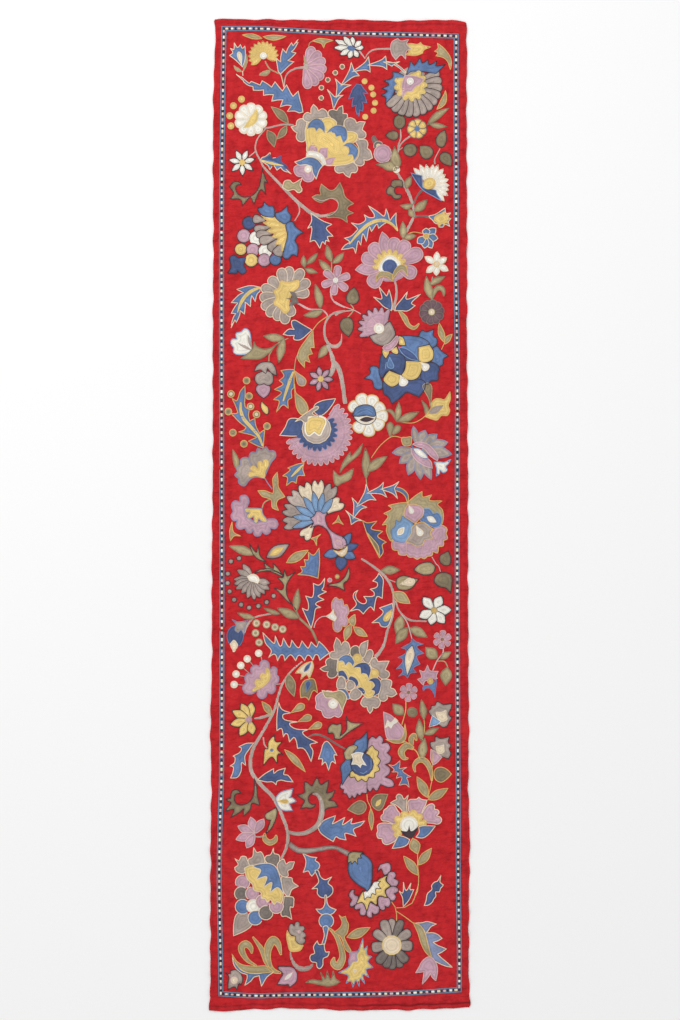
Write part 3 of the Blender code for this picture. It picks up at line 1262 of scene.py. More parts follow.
def ground_cloth_piece():
    """The hemmed red ground as one thin sheet with its puckers, creases and hems."""
    width = 2.0 * SIDE_STATIONS[len(SIDE_STATIONS) // 2][2]
    length = 2.0 * HALF_LENGTH
    across_shares = ground_shares(width, SIDE_HEM, SIDE_HEM)
    along_shares = ground_shares(length, NEAR_HEM, FAR_HEM)
    columns, rows = len(across_shares), len(along_shares)

    cloth = bmesh.new()
    bmesh.ops.create_grid(cloth, x_segments=columns - 1, y_segments=rows - 1, size=0.5)
    mesh = bpy.data.meshes.new("ground_cloth")
    cloth.to_mesh(mesh)
    cloth.free()
    places = np.empty(len(mesh.vertices) * 3)
    mesh.vertices.foreach_get("co", places)
    places = places.reshape(-1, 3)
    column = np.rint((places[:, 0] + 0.5) * (columns - 1)).astype(int)
    row = np.rint((places[:, 1] + 0.5) * (rows - 1)).astype(int)
    across, along = across_shares[column], along_shares[row]
    y_flat = HALF_LENGTH * (2.0 * along - 1.0)
    left, right = side_edges(y_flat)
    x = left + across * (right - left)
    near, far = end_edges(x)
    y = near + along * (far - near)
    corner = ((column == 0) | (column == columns - 1)) & ((row == 0) | (row == rows - 1))
    x = x - np.sign(x) * CORNER_PULL * corner
    y = y - np.sign(y) * CORNER_PULL * corner

    rises, dips = [], []
    for far_in, depth in (
        (across * width, SIDE_HEM),
        ((1.0 - across) * width, SIDE_HEM),
        (along * length, NEAR_HEM),
        ((1.0 - along) * length, FAR_HEM),
    ):
        rise, dip = hem_profile(far_in, depth)
        rises.append(rise)
        dips.append(dip)
    side_far = np.minimum(across, 1.0 - across) * width
    end_far = np.minimum(along, 1.0 - along) * length
    rounding = EDGE_ROUNDING * (1.0 - ease(np.minimum(side_far, end_far) / EDGE_ROUND_REACH))
    z = LIE.at(x, y) + np.max(rises, axis=0) - np.max(dips, axis=0) - rounding
    mesh.vertices.foreach_set("co", np.stack((x, y, z), axis=1).ravel())
    # The hem seams' painted shade: strongest at the near end and towards the right, weaker at the far end
    # and the sides
    shade = mesh.attributes.new("seam_shade", "FLOAT", "POINT")
    end_dips = np.maximum(dips[2], dips[3]) / SEAM_SINK
    side_dips = np.maximum(dips[0], dips[1]) / SEAM_SINK
    patches = ease(0.5 + 0.5 * np.sin(x * SEAM_WAVES[0] + 1.0) * np.cos(y * SEAM_WAVES[1]))
    uneven = SEAM_LEAST + (1.0 - SEAM_LEAST) * patches
    near_shade = NEAR_SEAM_SHADE + NEAR_SEAM_MORE * ease(x / NEAR_SEAM_REACH)
    end_shade = np.where(along < 0.5, near_shade / uneven, FAR_SEAM_SHADE) * end_dips
    seam_shade = (end_shade + SIDE_SEAM_SHADE * side_dips) * uneven
    shade.data.foreach_set("value", np.clip(seam_shade, 0.0, 1.0))
    mesh.shade_smooth()
    mesh.update()

    piece = bpy.data.objects.new("ground_cloth", mesh)
    bpy.context.scene.collection.objects.link(piece)
    mesh.materials.append(ground_material())
    solid = piece.modifiers.new("Thickness", "SOLIDIFY")
    solid.thickness = CLOTH_THICK
    solid.offset = -1.0
    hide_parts("embroidered_cloth")
    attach(piece, "root")
    return piece


# The border band

BAND_PATH = (
    # photo column, row: the middle of the band, clockwise from the far left corner
    (224.0, 28.8), (262.0, 28.9), (300.0, 31.0), (340.0, 33.3), (380.0, 34.2), (418.0, 35.2),
    (456.2, 36.2), (456.0, 90.0), (456.2, 210.0), (455.8, 262.0), (456.8, 330.0), (457.4, 390.0),
    (457.2, 560.0), (457.6, 700.0), (458.2, 800.0), (458.3, 880.0), (459.3, 950.0),
    (459.2, 989.6), (428.0, 991.6), (400.0, 993.2), (337.0, 994.6), (290.0, 994.9), (254.0, 995.6),
    (220.9, 993.6), (220.6, 960.0), (219.3, 880.0), (220.2, 820.0), (221.6, 770.0), (222.0, 600.0),
    (221.7, 420.0), (221.7, 210.0), (222.8, 110.0),
)
BAND_CORNERS = (0, 6, 17, 23)
BAND_HALF = 1.95
BAND_CORE = 0.0052
BAND_CORE_FOOT = -0.00005
BAND_EDGE_FOOT = 0.00130
BAND_EDGE = 0.0024
BLOCK_PALE = 1.5
BLOCK_DARK = 1.3
BLOCK_WIDE = 0.0050
BLOCK_FOOT = 0.00165
BLOCK_GAP = 2.95
BLOCK_THREADS = ("cream", "maroon", "white", "maroon", "pink", "dark")
PALE_THREADS = ("cream", "white", "pink")


def band_line(shift):
    """The border's closed line, moved in towards the middle of the runner by a shift."""
    points = []
    for place, (column, row) in enumerate(BAND_PATH):
        before = BAND_PATH[place - 1]
        after = BAND_PATH[(place + 1) % len(BAND_PATH)]
        first = (column - before[0], row - before[1])
        second = (after[0] - column, after[1] - row)
        if place in BAND_CORNERS:
            into_x = 1.0 if column < MIDDLE_COLUMN else -1.0
            into_y = 1.0 if row < MIDDLE_ROW else -1.0
            points.append((column + into_x * shift, row + into_y * shift, 1))
            continue
        way = (first[0] + second[0], first[1] + second[1])
        size = math.hypot(*way)
        points.append((column - way[1] / size * shift, row + way[0] / size * shift))
    return curve_through(points, steps=9)


def walk(line, gaps):
    """Places along a closed line at the gaps given in turn, with the way it runs there."""
    run, place = 0.0, 0
    target = next(gaps)
    while place < len(line):
        start, end = line[place], line[(place + 1) % len(line)]
        way = (end[0] - start[0], end[1] - start[1])
        size = math.hypot(*way)
        if size < 1e-6 or run + size < target:
            run += size
            place += 1
            continue
        share = (target - run) / size
        yield (start[0] + way[0] * share, start[1] + way[1] * share), (way[0] / size, way[1] / size)
        target += next(gaps)


def block_gaps():
    """Uneven gaps from one block of the border to the next."""
    turn = 0
    while True:
        turn += 1
        yield BLOCK_GAP + 0.55 * math.sin(turn * 1.7) * math.sin(turn * 0.37) + 0.25 * math.sin(turn * 5.1)


def border_band_piece():
    """Two blue lines with cream and dark blocks of satin stitch in turn between them."""
    work = Embroidery("border_band")
    outer = band_line(-BAND_HALF)
    inner = band_line(BAND_HALF)
    middle = band_line(0.0)
    work.line(middle, "slate", width=BAND_CORE, closed=True, foot=BAND_CORE_FOOT)
    work.line(outer, "teal", width=BAND_EDGE, closed=True, foot=BAND_EDGE_FOOT)
    work.line(inner, "teal", width=BAND_EDGE, closed=True, foot=BAND_EDGE_FOOT)
    for count, (place, way) in enumerate(walk(middle, block_gaps())):
        thread = BLOCK_THREADS[count % len(BLOCK_THREADS)]
        pale = thread in PALE_THREADS
        half_long = BLOCK_PALE * (0.92 + 0.16 * math.sin(count * 2.3))
        if not pale:
            half_long = BLOCK_DARK * (0.85 + 0.2 * math.sin(count * 1.9))
        wide = BLOCK_WIDE * (0.96 + 0.10 * math.sin(count * 3.1)) * (1.0 if pale else 0.92)
        ends = [(place[0] + way[0] * far, place[1] + way[1] * far) for far in (-half_long, half_long)]
        work.line(ends, thread, width=wide, foot=BLOCK_FOOT)
    return work.finish()


# The far end's motifs


def far_left_sprigs(sew):
    """Two long pale leaves along the far border."""
    sew.leaf((262, 38.6), (242.4, 35), 4.6, "khaki", "gold", bend=-0.4)
    sew.leaf((263.2, 36.8), (286, 36.4), 5.0, "khaki", "gold", bend=-1.2)


def fringed_bud(sew):
    """A blue bud with ragged tips, a cream heart and two grey-green sepals."""
    sew.leaf((242.5, 72), (233.2, 64.5), 4.6, "khaki", bend=1.4)
    sew.leaf((242.5, 73), (246.6, 52), 3.8, "khaki", bend=-1.4)
    sew.shape(((242.5, 67, 1), (236, 60.5), (229.6, 55.5, 1), (233, 52.8), (230.3, 48.3, 1),
               (234, 49.5), (234.3, 43, 1), (237.5, 47.8), (240.5, 44.8, 1), (242.3, 48.6),
               (245, 46.3, 1), (245.4, 54), (244.8, 61)), "blue", "cream")
    sew.leaf((242, 66.5), (238.6, 51.5), 5.2, "cream", form="drop")
    sew.stem(((242.6, 71), (243, 76)), 1.0, thread="cream")


def yellow_fan_flower(sew):
    """A yellow flower of narrow pointed petals with a white eye, on its stem."""
    sew.stem(((265, 61), (269.5, 68.7), (276.5, 72.5), (281.6, 76.3), (283.6, 88)), 1.8, 1.8, 1.2,
             thread="khaki")
    sew.petals("point", (263.4, 56.2), 14, 2.5, 15.3, 5.4, "yellow", "gold", -14, 230,
               edge_width=0.0011)
    sew.disc((263.4, 56), 3.5, "white")
    sew.leaf((271.6, 70.2), (257.4, 75), 6.0, bend=1.0)


def upright_blue_saz(sew):
    """A short saw-edged leaf that stands beside the mauve fan."""
    sew.saz(((280.6, 74), (286, 58), (298.3, 39.4)), 18, 3)
    sew.stem(((280.6, 74), (282.5, 81), (284.2, 88)), 0.8, thread="cream")


def mauve_fan_flower(sew):
    """A mauve flower seen from the side, its petals spread to the right."""
    sew.stem(((305, 67.6), (297, 68.2), (288.4, 72.5), (285, 79), (284.4, 87)), 3.6, 2.2, 1.8, 1.2)
    sew.petals("round", (304.6, 67.2), 7, 2.0, 21.8, 9.4, "mauve", "pink", 68, -148)
    sew.leaf((307, 69.5), (303.4, 54), 2.6, "khaki")
    sew.disc((306, 66.8), 2.6, "stem")


def hooked_leaf(sew):
    """A long leaf with a barb, hooked over the mauve fan."""
    sew.stem(((308.4, 48.6), (310, 42.8), (315.5, 40.6)), 1.0, thread="khaki")
    sew.shape(((312.5, 41, 1), (319, 38.6), (326, 39.2), (333, 40.6, 1), (327, 42.6), (325.2, 44),
               (323.6, 48, 1), (321.4, 43.8), (317, 42.2)), "khaki", "gold")


def long_far_saz(sew):
    """The long blue saw-edged leaf that crosses the far left corner."""
    sew.saz(((303, 112), (290, 99.5), (268, 89), (250, 84.5), (236.2, 74.2)), 23, 6, lean=0.9)


def far_left_berries(sew):
    """Four yellow berries in an arc."""
    for place in ((241.5, 99.3), (233.5, 105.9), (229.8, 115.9), (230.9, 126)):
        sew.disc(place, 3.1, "yellow", "gold")


def white_rose(sew):
    """A round white flower of plump petals with a yellow crescent."""
    sew.disc((251, 119.5), 12.5, "white")
    sew.petals("round", (251, 119.5), 10, 4, 16.4, 8.8, "white", "cream", 18)
    sew.shape(((256.6, 108.5, 1), (258.4, 115), (256.5, 122), (251, 126.5), (243.2, 128.2, 1),
               (246.2, 124), (248.8, 120), (250.6, 116.5), (253.8, 113)), "yellow")


def far_main_stem(sew):
    """The stem that winds down from the white rose to the curled acanthus."""
    sew.stem(((259, 126.5), (266.4, 128.2), (281.6, 124.8), (294, 125)), 1.8, 2.4, 2.2, 1.8)
    sew.stem(((266, 128.4), (257.4, 139), (255.6, 150.3), (261.2, 162), (264.4, 168),
              (281.6, 186), (297.5, 202), (311, 213), (321, 216), (330, 215)),
             1.4, 2.0, 2.2, 3.6, 4.4, 3.0)
    sew.stem(((249, 157), (255.6, 151.4)), 1.2)
    sew.stem(((298, 203), (299.5, 212), (294.5, 221)), 1.8, 1.4)


def far_olive_leaves(sew):
    """Three olive leaves on the far stem."""
    sew.leaves((((288.4, 123.6), (271.2, 107), 8, -1.2), ((267.4, 130.6), (274.2, 147), 8.6, 1.4),
                ((286.6, 126), (277.2, 139), 6.6, 0.8)), "olive", "khaki")


def white_star_daisy(sew):
    """A white daisy of seven pointed petals outlined in a dark thread."""
    sew.petals("leaf", (242.1, 162.4), 7, 1.6, 13.8, 5.8, "white", "dark", 15)
    sew.disc((242.1, 162.4), 2.7, "yellow", "gold")


def ribbed_far_leaf(sew):
    """A blue leaf in two shades with a yellow rib."""
    sew.saz(((260.6, 160), (276, 163), (291.4, 174.2)), 17, 3, "blue", lean=0.8)
    sew.shape(((262, 159.6, 1), (270.6, 155.6, 1), (273, 158.6), (281.8, 154.8, 1), (281.6, 161),
               (287, 165.6), (290.4, 173.2, 1), (283.4, 166.4), (272.4, 161)), "dark_blue")
    sew.stem(((262, 160.6), (272, 163.6), (283.6, 165.8)), 1.4, 2.6, 0.6, thread="yellow")


def far_acanthus(sew):
    """An olive acanthus that curls back on itself."""
    sew.shape(((262.3, 168, 1), (264.6, 176), (267.8, 183, 1), (264.4, 182.6), (265.9, 195, 1),
               (260.4, 190), (254, 204.4, 1), (250, 197.6), (242.4, 206.2, 1), (240.4, 199.6),
               (230.4, 199, 1), (233.6, 193), (229.6, 187, 1), (232.8, 182.6), (238, 181.4),
               (241.6, 184.6, 1), (237.4, 185.2), (235.6, 188.8), (238, 194), (244, 197),
               (252, 195.6), (258, 189), (260.8, 179)), "olive", "dark")


def far_lobed_leaf(sew):
    """A three-lobed leaf on the main stem."""
    sew.shape(((282.6, 187.5, 1), (284.6, 181.4), (290, 180.4), (293.4, 183.4), (302.2, 178.4, 1),
               (300, 184.8), (302.2, 190), (298.6, 193), (294, 189.6), (288, 190.6)),
              "khaki", "cream")


def curled_acanthus(sew):
    """The large olive acanthus curled round the end of the main stem."""
    sew.shape(((312.2, 197.2, 1), (316.4, 195), (321, 195), (320, 190), (321.4, 184.2, 1),
               (326.4, 188.2), (330, 190.4), (334.6, 189.6), (340, 182.8, 1), (343, 190),
               (345.2, 197), (353.4, 203.6, 1), (348, 206.6), (347.4, 210), (353.4, 213, 1),
               (347, 216), (347.4, 222.6, 1), (341, 218.4), (334, 217.4), (327, 217.6),
               (330, 213.6), (336, 211), (338.6, 205), (336.6, 199.4), (331, 198.2),
               (326, 200.4), (321, 202.4), (316, 200.6)), "olive", "khaki")
    sew.stem(((314, 198), (322, 200.8), (331, 198.4), (337.6, 202), (337.6, 209), (331, 215),
              (322, 216.4)), 0.8, 1.2, thread="pink")


def white_daisy(sew):
    """A white daisy with a blue oval eye, outlined in a dark thread."""
    sew.stem(((359, 50.6), (365.4, 59)), 2.2, 1.4, thread="pink")
    tips = ((334.2, 39.6), (333.4, 47.8), (339.6, 55.2), (348.7, 58.8), (358.2, 57.8),
            (364.2, 47.4), (361.4, 40.8),
            (352.2, 36.6), (343.2, 36.2))
    sew.rays("point", (353.0, 48.2), tips, 2.0, 6.0, "white", "dark")
    sew.disc((351.2, 48.4), 4.4, "blue", squash=0.58, angle=-12)


def capped_flame_bud(sew):
    """A yellow flame that bursts from a ragged grey-brown cup."""
    sew.stem(((365.2, 58), (368.8, 52.7), (375.8, 49.4), (391, 49)), 1.6, 1.8, 2.4)
    sew.shape(((405.5, 44.4, 1), (411.4, 43.6), (417.2, 44.6), (420.6, 42.6, 1), (422.8, 45.2),
               (430.9, 47, 1), (424, 50), (422.4, 53.4, 1), (415.6, 55.6), (405.8, 55, 1),
               (409, 51)), "yellow", "gold")
    sew.shape(((390.6, 49), (392, 42.2), (397.8, 38.6, 1), (401, 41.2), (408.6, 39.8, 1),
               (406.6, 44.2), (411.2, 49.2, 1), (406.4, 51.4), (405.6, 59.2, 1), (401, 54.8),
               (395.8, 59.8, 1), (392.2, 55)), "taupe", "pink")


def far_right_leaf(sew):
    """A leaf with notched lobes in the far right corner."""
    sew.shape(((437.4, 43.4, 1), (444, 48.6), (449.4, 55.6), (451.6, 62.6), (450.4, 69.8, 1),
               (447.4, 61.4), (443, 57.6), (436, 56, 1), (438, 53), (434.6, 51.4, 1), (438.2, 48.4)),
              "khaki", "gold")


def ring_berries(sew):
    """Five ringed berries in an arc."""
    for place in ((321.2, 98), (321.4, 87.8), (327.8, 79.9), (335.2, 72.8), (342.2, 66.8)):
        sew.disc(place, 3.0, "cream")
        sew.disc(place, 1.9, "olive")


def far_thorny_vine(sew):
    """A blue vine of paired thorns that climbs to the corner palmette."""
    sew.stem(((384, 62), (392, 63.4), (399, 67), (405.6, 73)), 1.2, 1.6, edge="cream", thread="blue")
    sew.arrow((333.6, 109.6), (327.2, 89.4), (334.6, 97), (343.2, 95.2))
    sew.arrow((336, 98), (335.2, 78.8), (341, 84.6), (351.2, 85.2))
    sew.arrow((340.4, 86.6), (351.2, 62.6), (354, 70.4), (359.4, 75.8))
    sew.arrow((352, 72), (368.5, 56.8), (369.6, 64.4), (370.2, 72.2))
    sew.arrow((367.4, 65.4), (385.6, 56.2), (386.4, 62), (387, 69.8))
    sew.arrow((383, 62), (399.8, 61.8), (392.6, 65.4), (392, 66.6))


def dark_blue_leaf(sew):
    """A small dark blue saw-edged leaf that hangs between berries."""
    sew.saz(((356.6, 84.4), (358.4, 98), (359, 117)), 20, 3, "dark_blue", "blue", notch=0.5)


def far_dot_row(sew):
    """Six small yellow berries in an arc."""
    for place in ((364.6, 81.4), (371.4, 87.8), (373.2, 94.6), (375, 102.9), (373.6, 110.8),
                  (365.2, 116.9)):
        sew.disc(place, 2.6, "yellow", "gold")


def corner_palmette(sew):
    """The far right palmette: blue flames, a ring of long grey-brown petals, a mauve heart."""
    sew.disc((411.5, 85), 18, "taupe")
    sew.petals("long", (411, 86), 12, 11, 31.5, 8.8, "taupe", "dark", 26, -166)
    blue = ((406, 75.4), (411, 61, 1), (414.6, 65.2), (420, 57.6, 1), (422.4, 63), (428, 59.6, 1),
            (429.4, 64.6), (437, 61, 1), (436.4, 66), (445.4, 64.6, 1), (436, 73.6, 1),
            (424, 72, 1), (412, 71.4))
    sew.shape(((*blue[0], 1), *blue[1:]), "blue", "dark")
    sew.shape(((405.4, 76.6, 1), (398, 72.8), (392.6, 71.8, 1), (392.2, 78), (384, 80.8, 1),
               (388.6, 84.8), (381.6, 88.6, 1), (387, 91.4), (380.8, 95.6, 1), (385.6, 97.6),
               (385.4, 103.4, 1), (392.6, 96), (396, 88), (400, 82)), "blue", "dark")
    sew.fill(scallops((410.6, 85), 13.4, 10, 3.4, start=70, sweep=-282, apex=((404, 78),)),
             "yellow", "khaki", edge_width=0.0012)
    sew.shape(((404.6, 75.8, 1), (414, 76.2), (423.8, 79.2, 1), (420.6, 84), (415, 87), (411.4, 92),
               (407, 91.6), (402.6, 97.4, 1), (401.8, 86)), "mauve", "pink")
    sew.disc((410.2, 81.4), 3.6, "white")


def corner_leaves(sew):
    """Curved leaves between the corner palmette and the small yellow flower."""
    sew.leaf((436.8, 109.6), (445.4, 90.8), 5.4, "khaki", "gold", bend=-2.6)
    sew.leaf((427.4, 125), (448.8, 108.4), 6.6, "khaki", "olive", bend=1.4)
    sew.leaf((429, 123.6), (446.8, 126.6), 5.0, "khaki", "olive", bend=-0.8)


def far_palmette(sew):
    """The large half palmette: blue crescents on yellow within lobed grey-brown florets."""
    for floret, thread in (
        (((306.8, 123.0), (304.6, 119.8), (300.8, 118.8), (297.1, 120.9), (296.2, 125.5, 1),
                (291.2, 127.0, 1), (294.0, 130.9), (297.3, 133.0, 1), (296.2, 137.2), (298.3, 140.9),
                (302.5, 141.9), (305.5, 139.2), (305.2, 131.3)), "taupe"),
        (((303.5, 119.8), (303.8, 115.1), (307.1, 112.5), (311.0, 114.0, 1), (311.2, 108.4),
                (313.5, 104.7, 1), (316.8, 107.6), (318.5, 111.2, 1), (322.1, 108.8), (326.2, 110.9),
                (328.0, 115.1), (327.1, 118.8), (316.7, 118.8), (309.2, 122.2)), "taupe"),
        (((328.5, 114.7), (329.0, 110.9), (332.9, 109.7), (336.7, 110.7, 1), (338.8, 107.6),
                (342.5, 105.8, 1), (343.0, 110.5), (342.9, 113.6, 1), (347.3, 114.3), (346.8, 118.8),
                (344.2, 122.2), (343.3, 126.3), (336.7, 125.5), (332.5, 119.7)), "grey"),
        (((344.0, 124.5), (345.8, 119.2), (350.8, 118.0), (355.0, 120.1), (356.5, 123.2, 1),
                (360.0, 121.7), (365.2, 122.2, 1), (363.3, 126.3), (362.1, 129.8, 1), (365.7, 133.0),
                (365.5, 137.2), (362.1, 139.0), (357.5, 138.0), (355.0, 133.0),
                (348.3, 132.2)), "taupe"),
        (((355.8, 141.5), (360.0, 139.7), (365.8, 140.1), (368.0, 143.8), (367.1, 148.2, 1),
                (370.5, 151.3), (372.5, 158.0, 1), (367.5, 160.3), (363.8, 159.8, 1), (364.2, 163.8),
                (360.8, 166.1), (356.7, 165.1), (354.2, 162.2), (358.3, 156.3),
                (358.8, 148.0)), "taupe"),
        (((335.7, 166.0), (335.0, 170.5), (338.3, 173.2), (343.3, 172.3, 1), (345.8, 175.5),
                (349.6, 177.5, 1), (351.5, 172.7), (355.7, 172.7), (357.7, 168.8), (355.8, 164.7),
                (351.7, 162.2), (343.3, 164.3)), "taupe"),
    ):
        sew.shape(floret, thread, "cream")
    sew.shape(((305.4, 128.8), (309.2, 122.2), (316.7, 123.0), (325.0, 118.0), (331.7, 118.4),
            (336.5, 122.2), (336.7, 125.5), (343.3, 131.3), (348.3, 131.5), (354.2, 132.2),
            (357.7, 135.5), (355.8, 141.3), (350.0, 144.7), (355.0, 151.3), (354.2, 160.5),
            (348.3, 164.0), (341.7, 165.2), (333.3, 165.7), (325.0, 164.7), (318.3, 155.5),
            (307.5, 152.2), (306.8, 144.7), (305.4, 138.0)), "yellow", "cream")
    for crescent in (
        ((306.8, 129.4, 1), (308.8, 123.8), (313.3, 119.2), (318.3, 118.4), (322.9, 121.8),
                (325.0, 127.2), (324.6, 134.0, 1), (322.1, 130.1), (319.2, 128.2, 1), (316.2, 131.7, 1),
                (314.6, 128.2, 1), (310.8, 128.0)),
        ((326.1, 133.6, 1), (330.0, 128.8), (335.8, 125.5), (341.7, 125.9), (346.2, 128.8),
                (347.3, 134.7), (346.8, 139.7), (343.3, 143.3, 1), (341.7, 139.7), (340.4, 135.9, 1),
                (335.8, 137.2, 1), (334.6, 133.4, 1), (330.0, 132.6)),
        ((342.8, 146.1, 1), (346.7, 143.0), (351.7, 142.8), (356.2, 146.3), (358.5, 150.5),
                (357.1, 156.3), (353.3, 161.2, 1), (353.3, 157.6), (352.1, 154.9, 1), (347.3, 155.2, 1),
                (349.0, 151.8), (348.5, 148.0), (346.7, 146.8)),
    ):
        sew.shape(crescent, "blue", "yellow", edge_width=0.0012)
    for petal in (
        ((308.2, 151.8), (309.0, 147.2), (312.7, 142.2, 1), (316.5, 146.3), (317.8, 152.6),
                (312.5, 153.4)),
        ((318.2, 153.0), (320.0, 148.4), (323.3, 147.7), (328.0, 147.8, 1), (327.7, 153.8),
                (327.1, 158.8), (322.5, 157.2)),
        ((325.8, 159.7), (330.0, 157.8), (336.0, 157.5, 1), (333.8, 161.3), (331.8, 165.0),
                (325.8, 164.7)),
    ):
        sew.shape(petal, "mauve", "yellow", edge_width=0.0012)
    sew.shape(((307.5, 151.8), (313.3, 151.6), (319.2, 153.0), (323.8, 157.0), (326.2, 164.0, 1),
            (322.5, 166.0, 1), (320.8, 160.9), (315.8, 157.8), (310.0, 156.8),
            (306.3, 156.7, 1)), "white", "cream")


def far_palmette_foot(sew):
    """Two blue sepals and a small mauve flower at the palmette's foot."""
    sew.shape(((299.2, 165.2), (294.5, 167.0), (294.3, 172.2), (297.5, 176.3), (301.8, 176.8, 1),
            (304.2, 180.7), (309.2, 182.0), (313.5, 179.2), (314.2, 173.0), (312.0, 166.3),
            (305.8, 164.3)), "mauve", "pink")
    sew.shape(((294.8, 162.0, 1), (300.8, 160.1), (306.7, 157.5), (312.5, 157.4), (318.3, 160.1),
            (322.7, 165.7, 1), (319.2, 170.5), (316.2, 179.2, 1), (312.9, 173.0), (311.7, 166.5, 1),
            (305.8, 164.8), (299.2, 165.2)), "blue", "cream")
    sew.disc((307.9, 169.3), 3.3, "white", "cream")




# The far half's motifs, left


def far_grape_palmette(sew):
    """Round berries in rows under grey-brown and yellow petals and jagged blue leaves."""
    for x, y, radius, thread in (
        (248.9, 222.9, 6.6, "dark_blue"), (243.8, 235.9, 7.0, "mauve"), (256.4, 238.2, 7.4, "white"),
        (240.8, 249.3, 6.2, "yellow"), (252.8, 249.9, 6.6, "mauve"), (265.2, 251.0, 7.0, "white"),
        (251.2, 260.2, 6.8, "yellow"), (264.2, 260.2, 6.6, "mauve"), (275.4, 259.6, 6.0, "blue"),
    ):
        sew.disc((x, y), radius, thread, "dark")
    sew.shape(((238.4, 257.6), (234, 254.8), (229.4, 258.4), (230.8, 266.4), (227.6, 273.2, 1),
               (236, 273.8), (237.6, 271, 1), (242, 274.4), (246.6, 271), (244, 265.3),
               (245.4, 257.4)), "dark_blue", "dark")
    for base, tip, width in (
        ((265, 220.4), (252.6, 218.4), 9.0), ((270, 227), (254, 229.4), 8.0),
        ((273, 232.6), (256, 235), 8.4), ((277, 237.2), (259.3, 241.6), 9.6),
        ((278, 240), (269.6, 251), 10.4), ((282, 244), (276.6, 256), 11.6),
    ):
        sew.leaf(base, tip, width, "taupe", "dark", form="round")
    for base, tip, width in (
        ((286, 224.6), (261.4, 215.4), 7.0), ((287, 227.4), (263.2, 222.6), 6.6),
        ((287.4, 229.6), (267, 231), 6.4), ((287.8, 232), (272.4, 237), 6.8),
        ((288, 234.6), (276.2, 244.6), 6.8), ((288, 238), (282, 251.4), 6.4),
    ):
        sew.leaf(base, tip, width, "yellow", "gold", form="point")
    sew.shape(((274.4, 216.2), (273.6, 207), (268.4, 205.8), (263.8, 201.2, 1), (262.8, 206.4),
               (257.8, 209), (261.4, 214.8), (268, 217)), "blue", "dark")
    sew.shape(((275.2, 213.6), (281, 211.4), (287.6, 205.6, 1), (288, 211.6), (291, 215.4),
               (289.9, 221.4), (284.8, 224), (277, 219.4)), "blue", "dark")
    sew.shape(((286, 224.6), (292.5, 221.6), (295.8, 227), (303.4, 232.4, 1), (297.6, 236),
               (295, 240.6, 1), (298.2, 247.4), (297.4, 256.6, 1), (292.4, 254.8), (288, 259),
               (282.9, 256.8), (284.8, 246.4), (287.4, 236)), "blue", "dark")


def five_point_leaf(sew):
    """A blue leaf of five points that hangs from the main stem."""
    sew.shape(((311, 213.2, 1), (311.6, 221), (307.6, 228.5, 1), (312, 227.4), (310, 242, 1),
               (314.8, 240.6), (319.9, 248.4, 1), (322.4, 242), (325.4, 244.6, 1), (325.8, 240.6),
               (329.2, 241.6, 1), (327.4, 236.8), (333, 236.2, 1), (326.3, 228.4), (331.8, 224.4, 1),
               (322.4, 220.8)), "dark_blue", "cream")


def far_left_leaf_trios(sew):
    """Two sprigs of three leaves."""
    sew.leaves((((304.8, 267.6), (303.6, 255.6), 5.2, 0.6), ((306.6, 264.4), (317.8, 253), 5.0, -0.4),
                ((304.8, 268.6), (317.4, 272.6), 5.0, -0.6)), "khaki", "olive")
    sew.stem(((331.6, 258), (331.6, 272)), 1.2, thread="khaki")
    sew.leaves((((331.6, 262), (327, 245), 6.8, 0.8), ((332.6, 263.4), (343.8, 252.8), 6.0, -0.8),
                ((331.6, 271), (319, 259.6), 6.4, 0.9)), "khaki", "olive")


def mauve_six_petal(sew):
    """A mauve flower of six long petals with a white eye and a curved stem."""
    sew.stem(((331.6, 289.6), (331.4, 297), (336, 303.4), (345, 307.6)), 2.6, 1.8, 1.4, thread="pink")
    sew.petals("long", (335.8, 280.4), 6, 1.5, 14.8, 7.2, "mauve", "pink", 80)
    sew.disc((335.6, 280.3), 2.7, "white")


def far_carnation(sew):
    """A carnation seen from the side: round grey-brown petals about a lobed yellow heart."""
    sew.stem(((296, 302), (308.4, 308.8), (322.4, 310.4), (328, 316)), 2.6, 2.4, 1.6, thread="pink")
    sew.rays("round", (285.6, 295), (
        (309.2, 292.4), (309.8, 281), (302.8, 269.4), (290, 266.8), (281, 268.2), (269.4, 277.6),
        (261.4, 287.2), (259.8, 298), (261.6, 308), (267.4, 316), (276, 320.4), (284.8, 324),
        (292, 316.4),
    ), 4, 10.4, "taupe", "cream")
    sew.shape(((281, 281), (288, 282.6), (298.4, 280.4), (298.4, 287.2), (293, 292), (290.4, 299),
               (288.6, 304.8), (289.6, 310), (284.4, 313.6), (279.2, 307.4), (273.8, 303.6),
               (276, 297.4), (273.8, 291), (278.4, 288)), "yellow", "gold")
    sew.shape(((299, 303, 1), (295, 293), (289.4, 291.4, 1), (292, 297.4), (285.8, 298.4, 1),
               (291.4, 300.6), (288.6, 306.6, 1), (294.6, 304.6)), "grey")
    sew.leaves((((320.6, 309), (315.2, 284.2), 7.4, -0.8), ((323, 311), (303.6, 315.4), 6.8, 1.0)),
               "khaki", "olive")


def ribbed_left_saz(sew):
    """A ribbed saw-edged leaf that points to the left border."""
    sew.saz(((260.4, 287.4), (250, 292), (242, 301), (237.4, 313), (231, 328)), 22, 4,
            rib=("yellow", 3.4, 0.78))


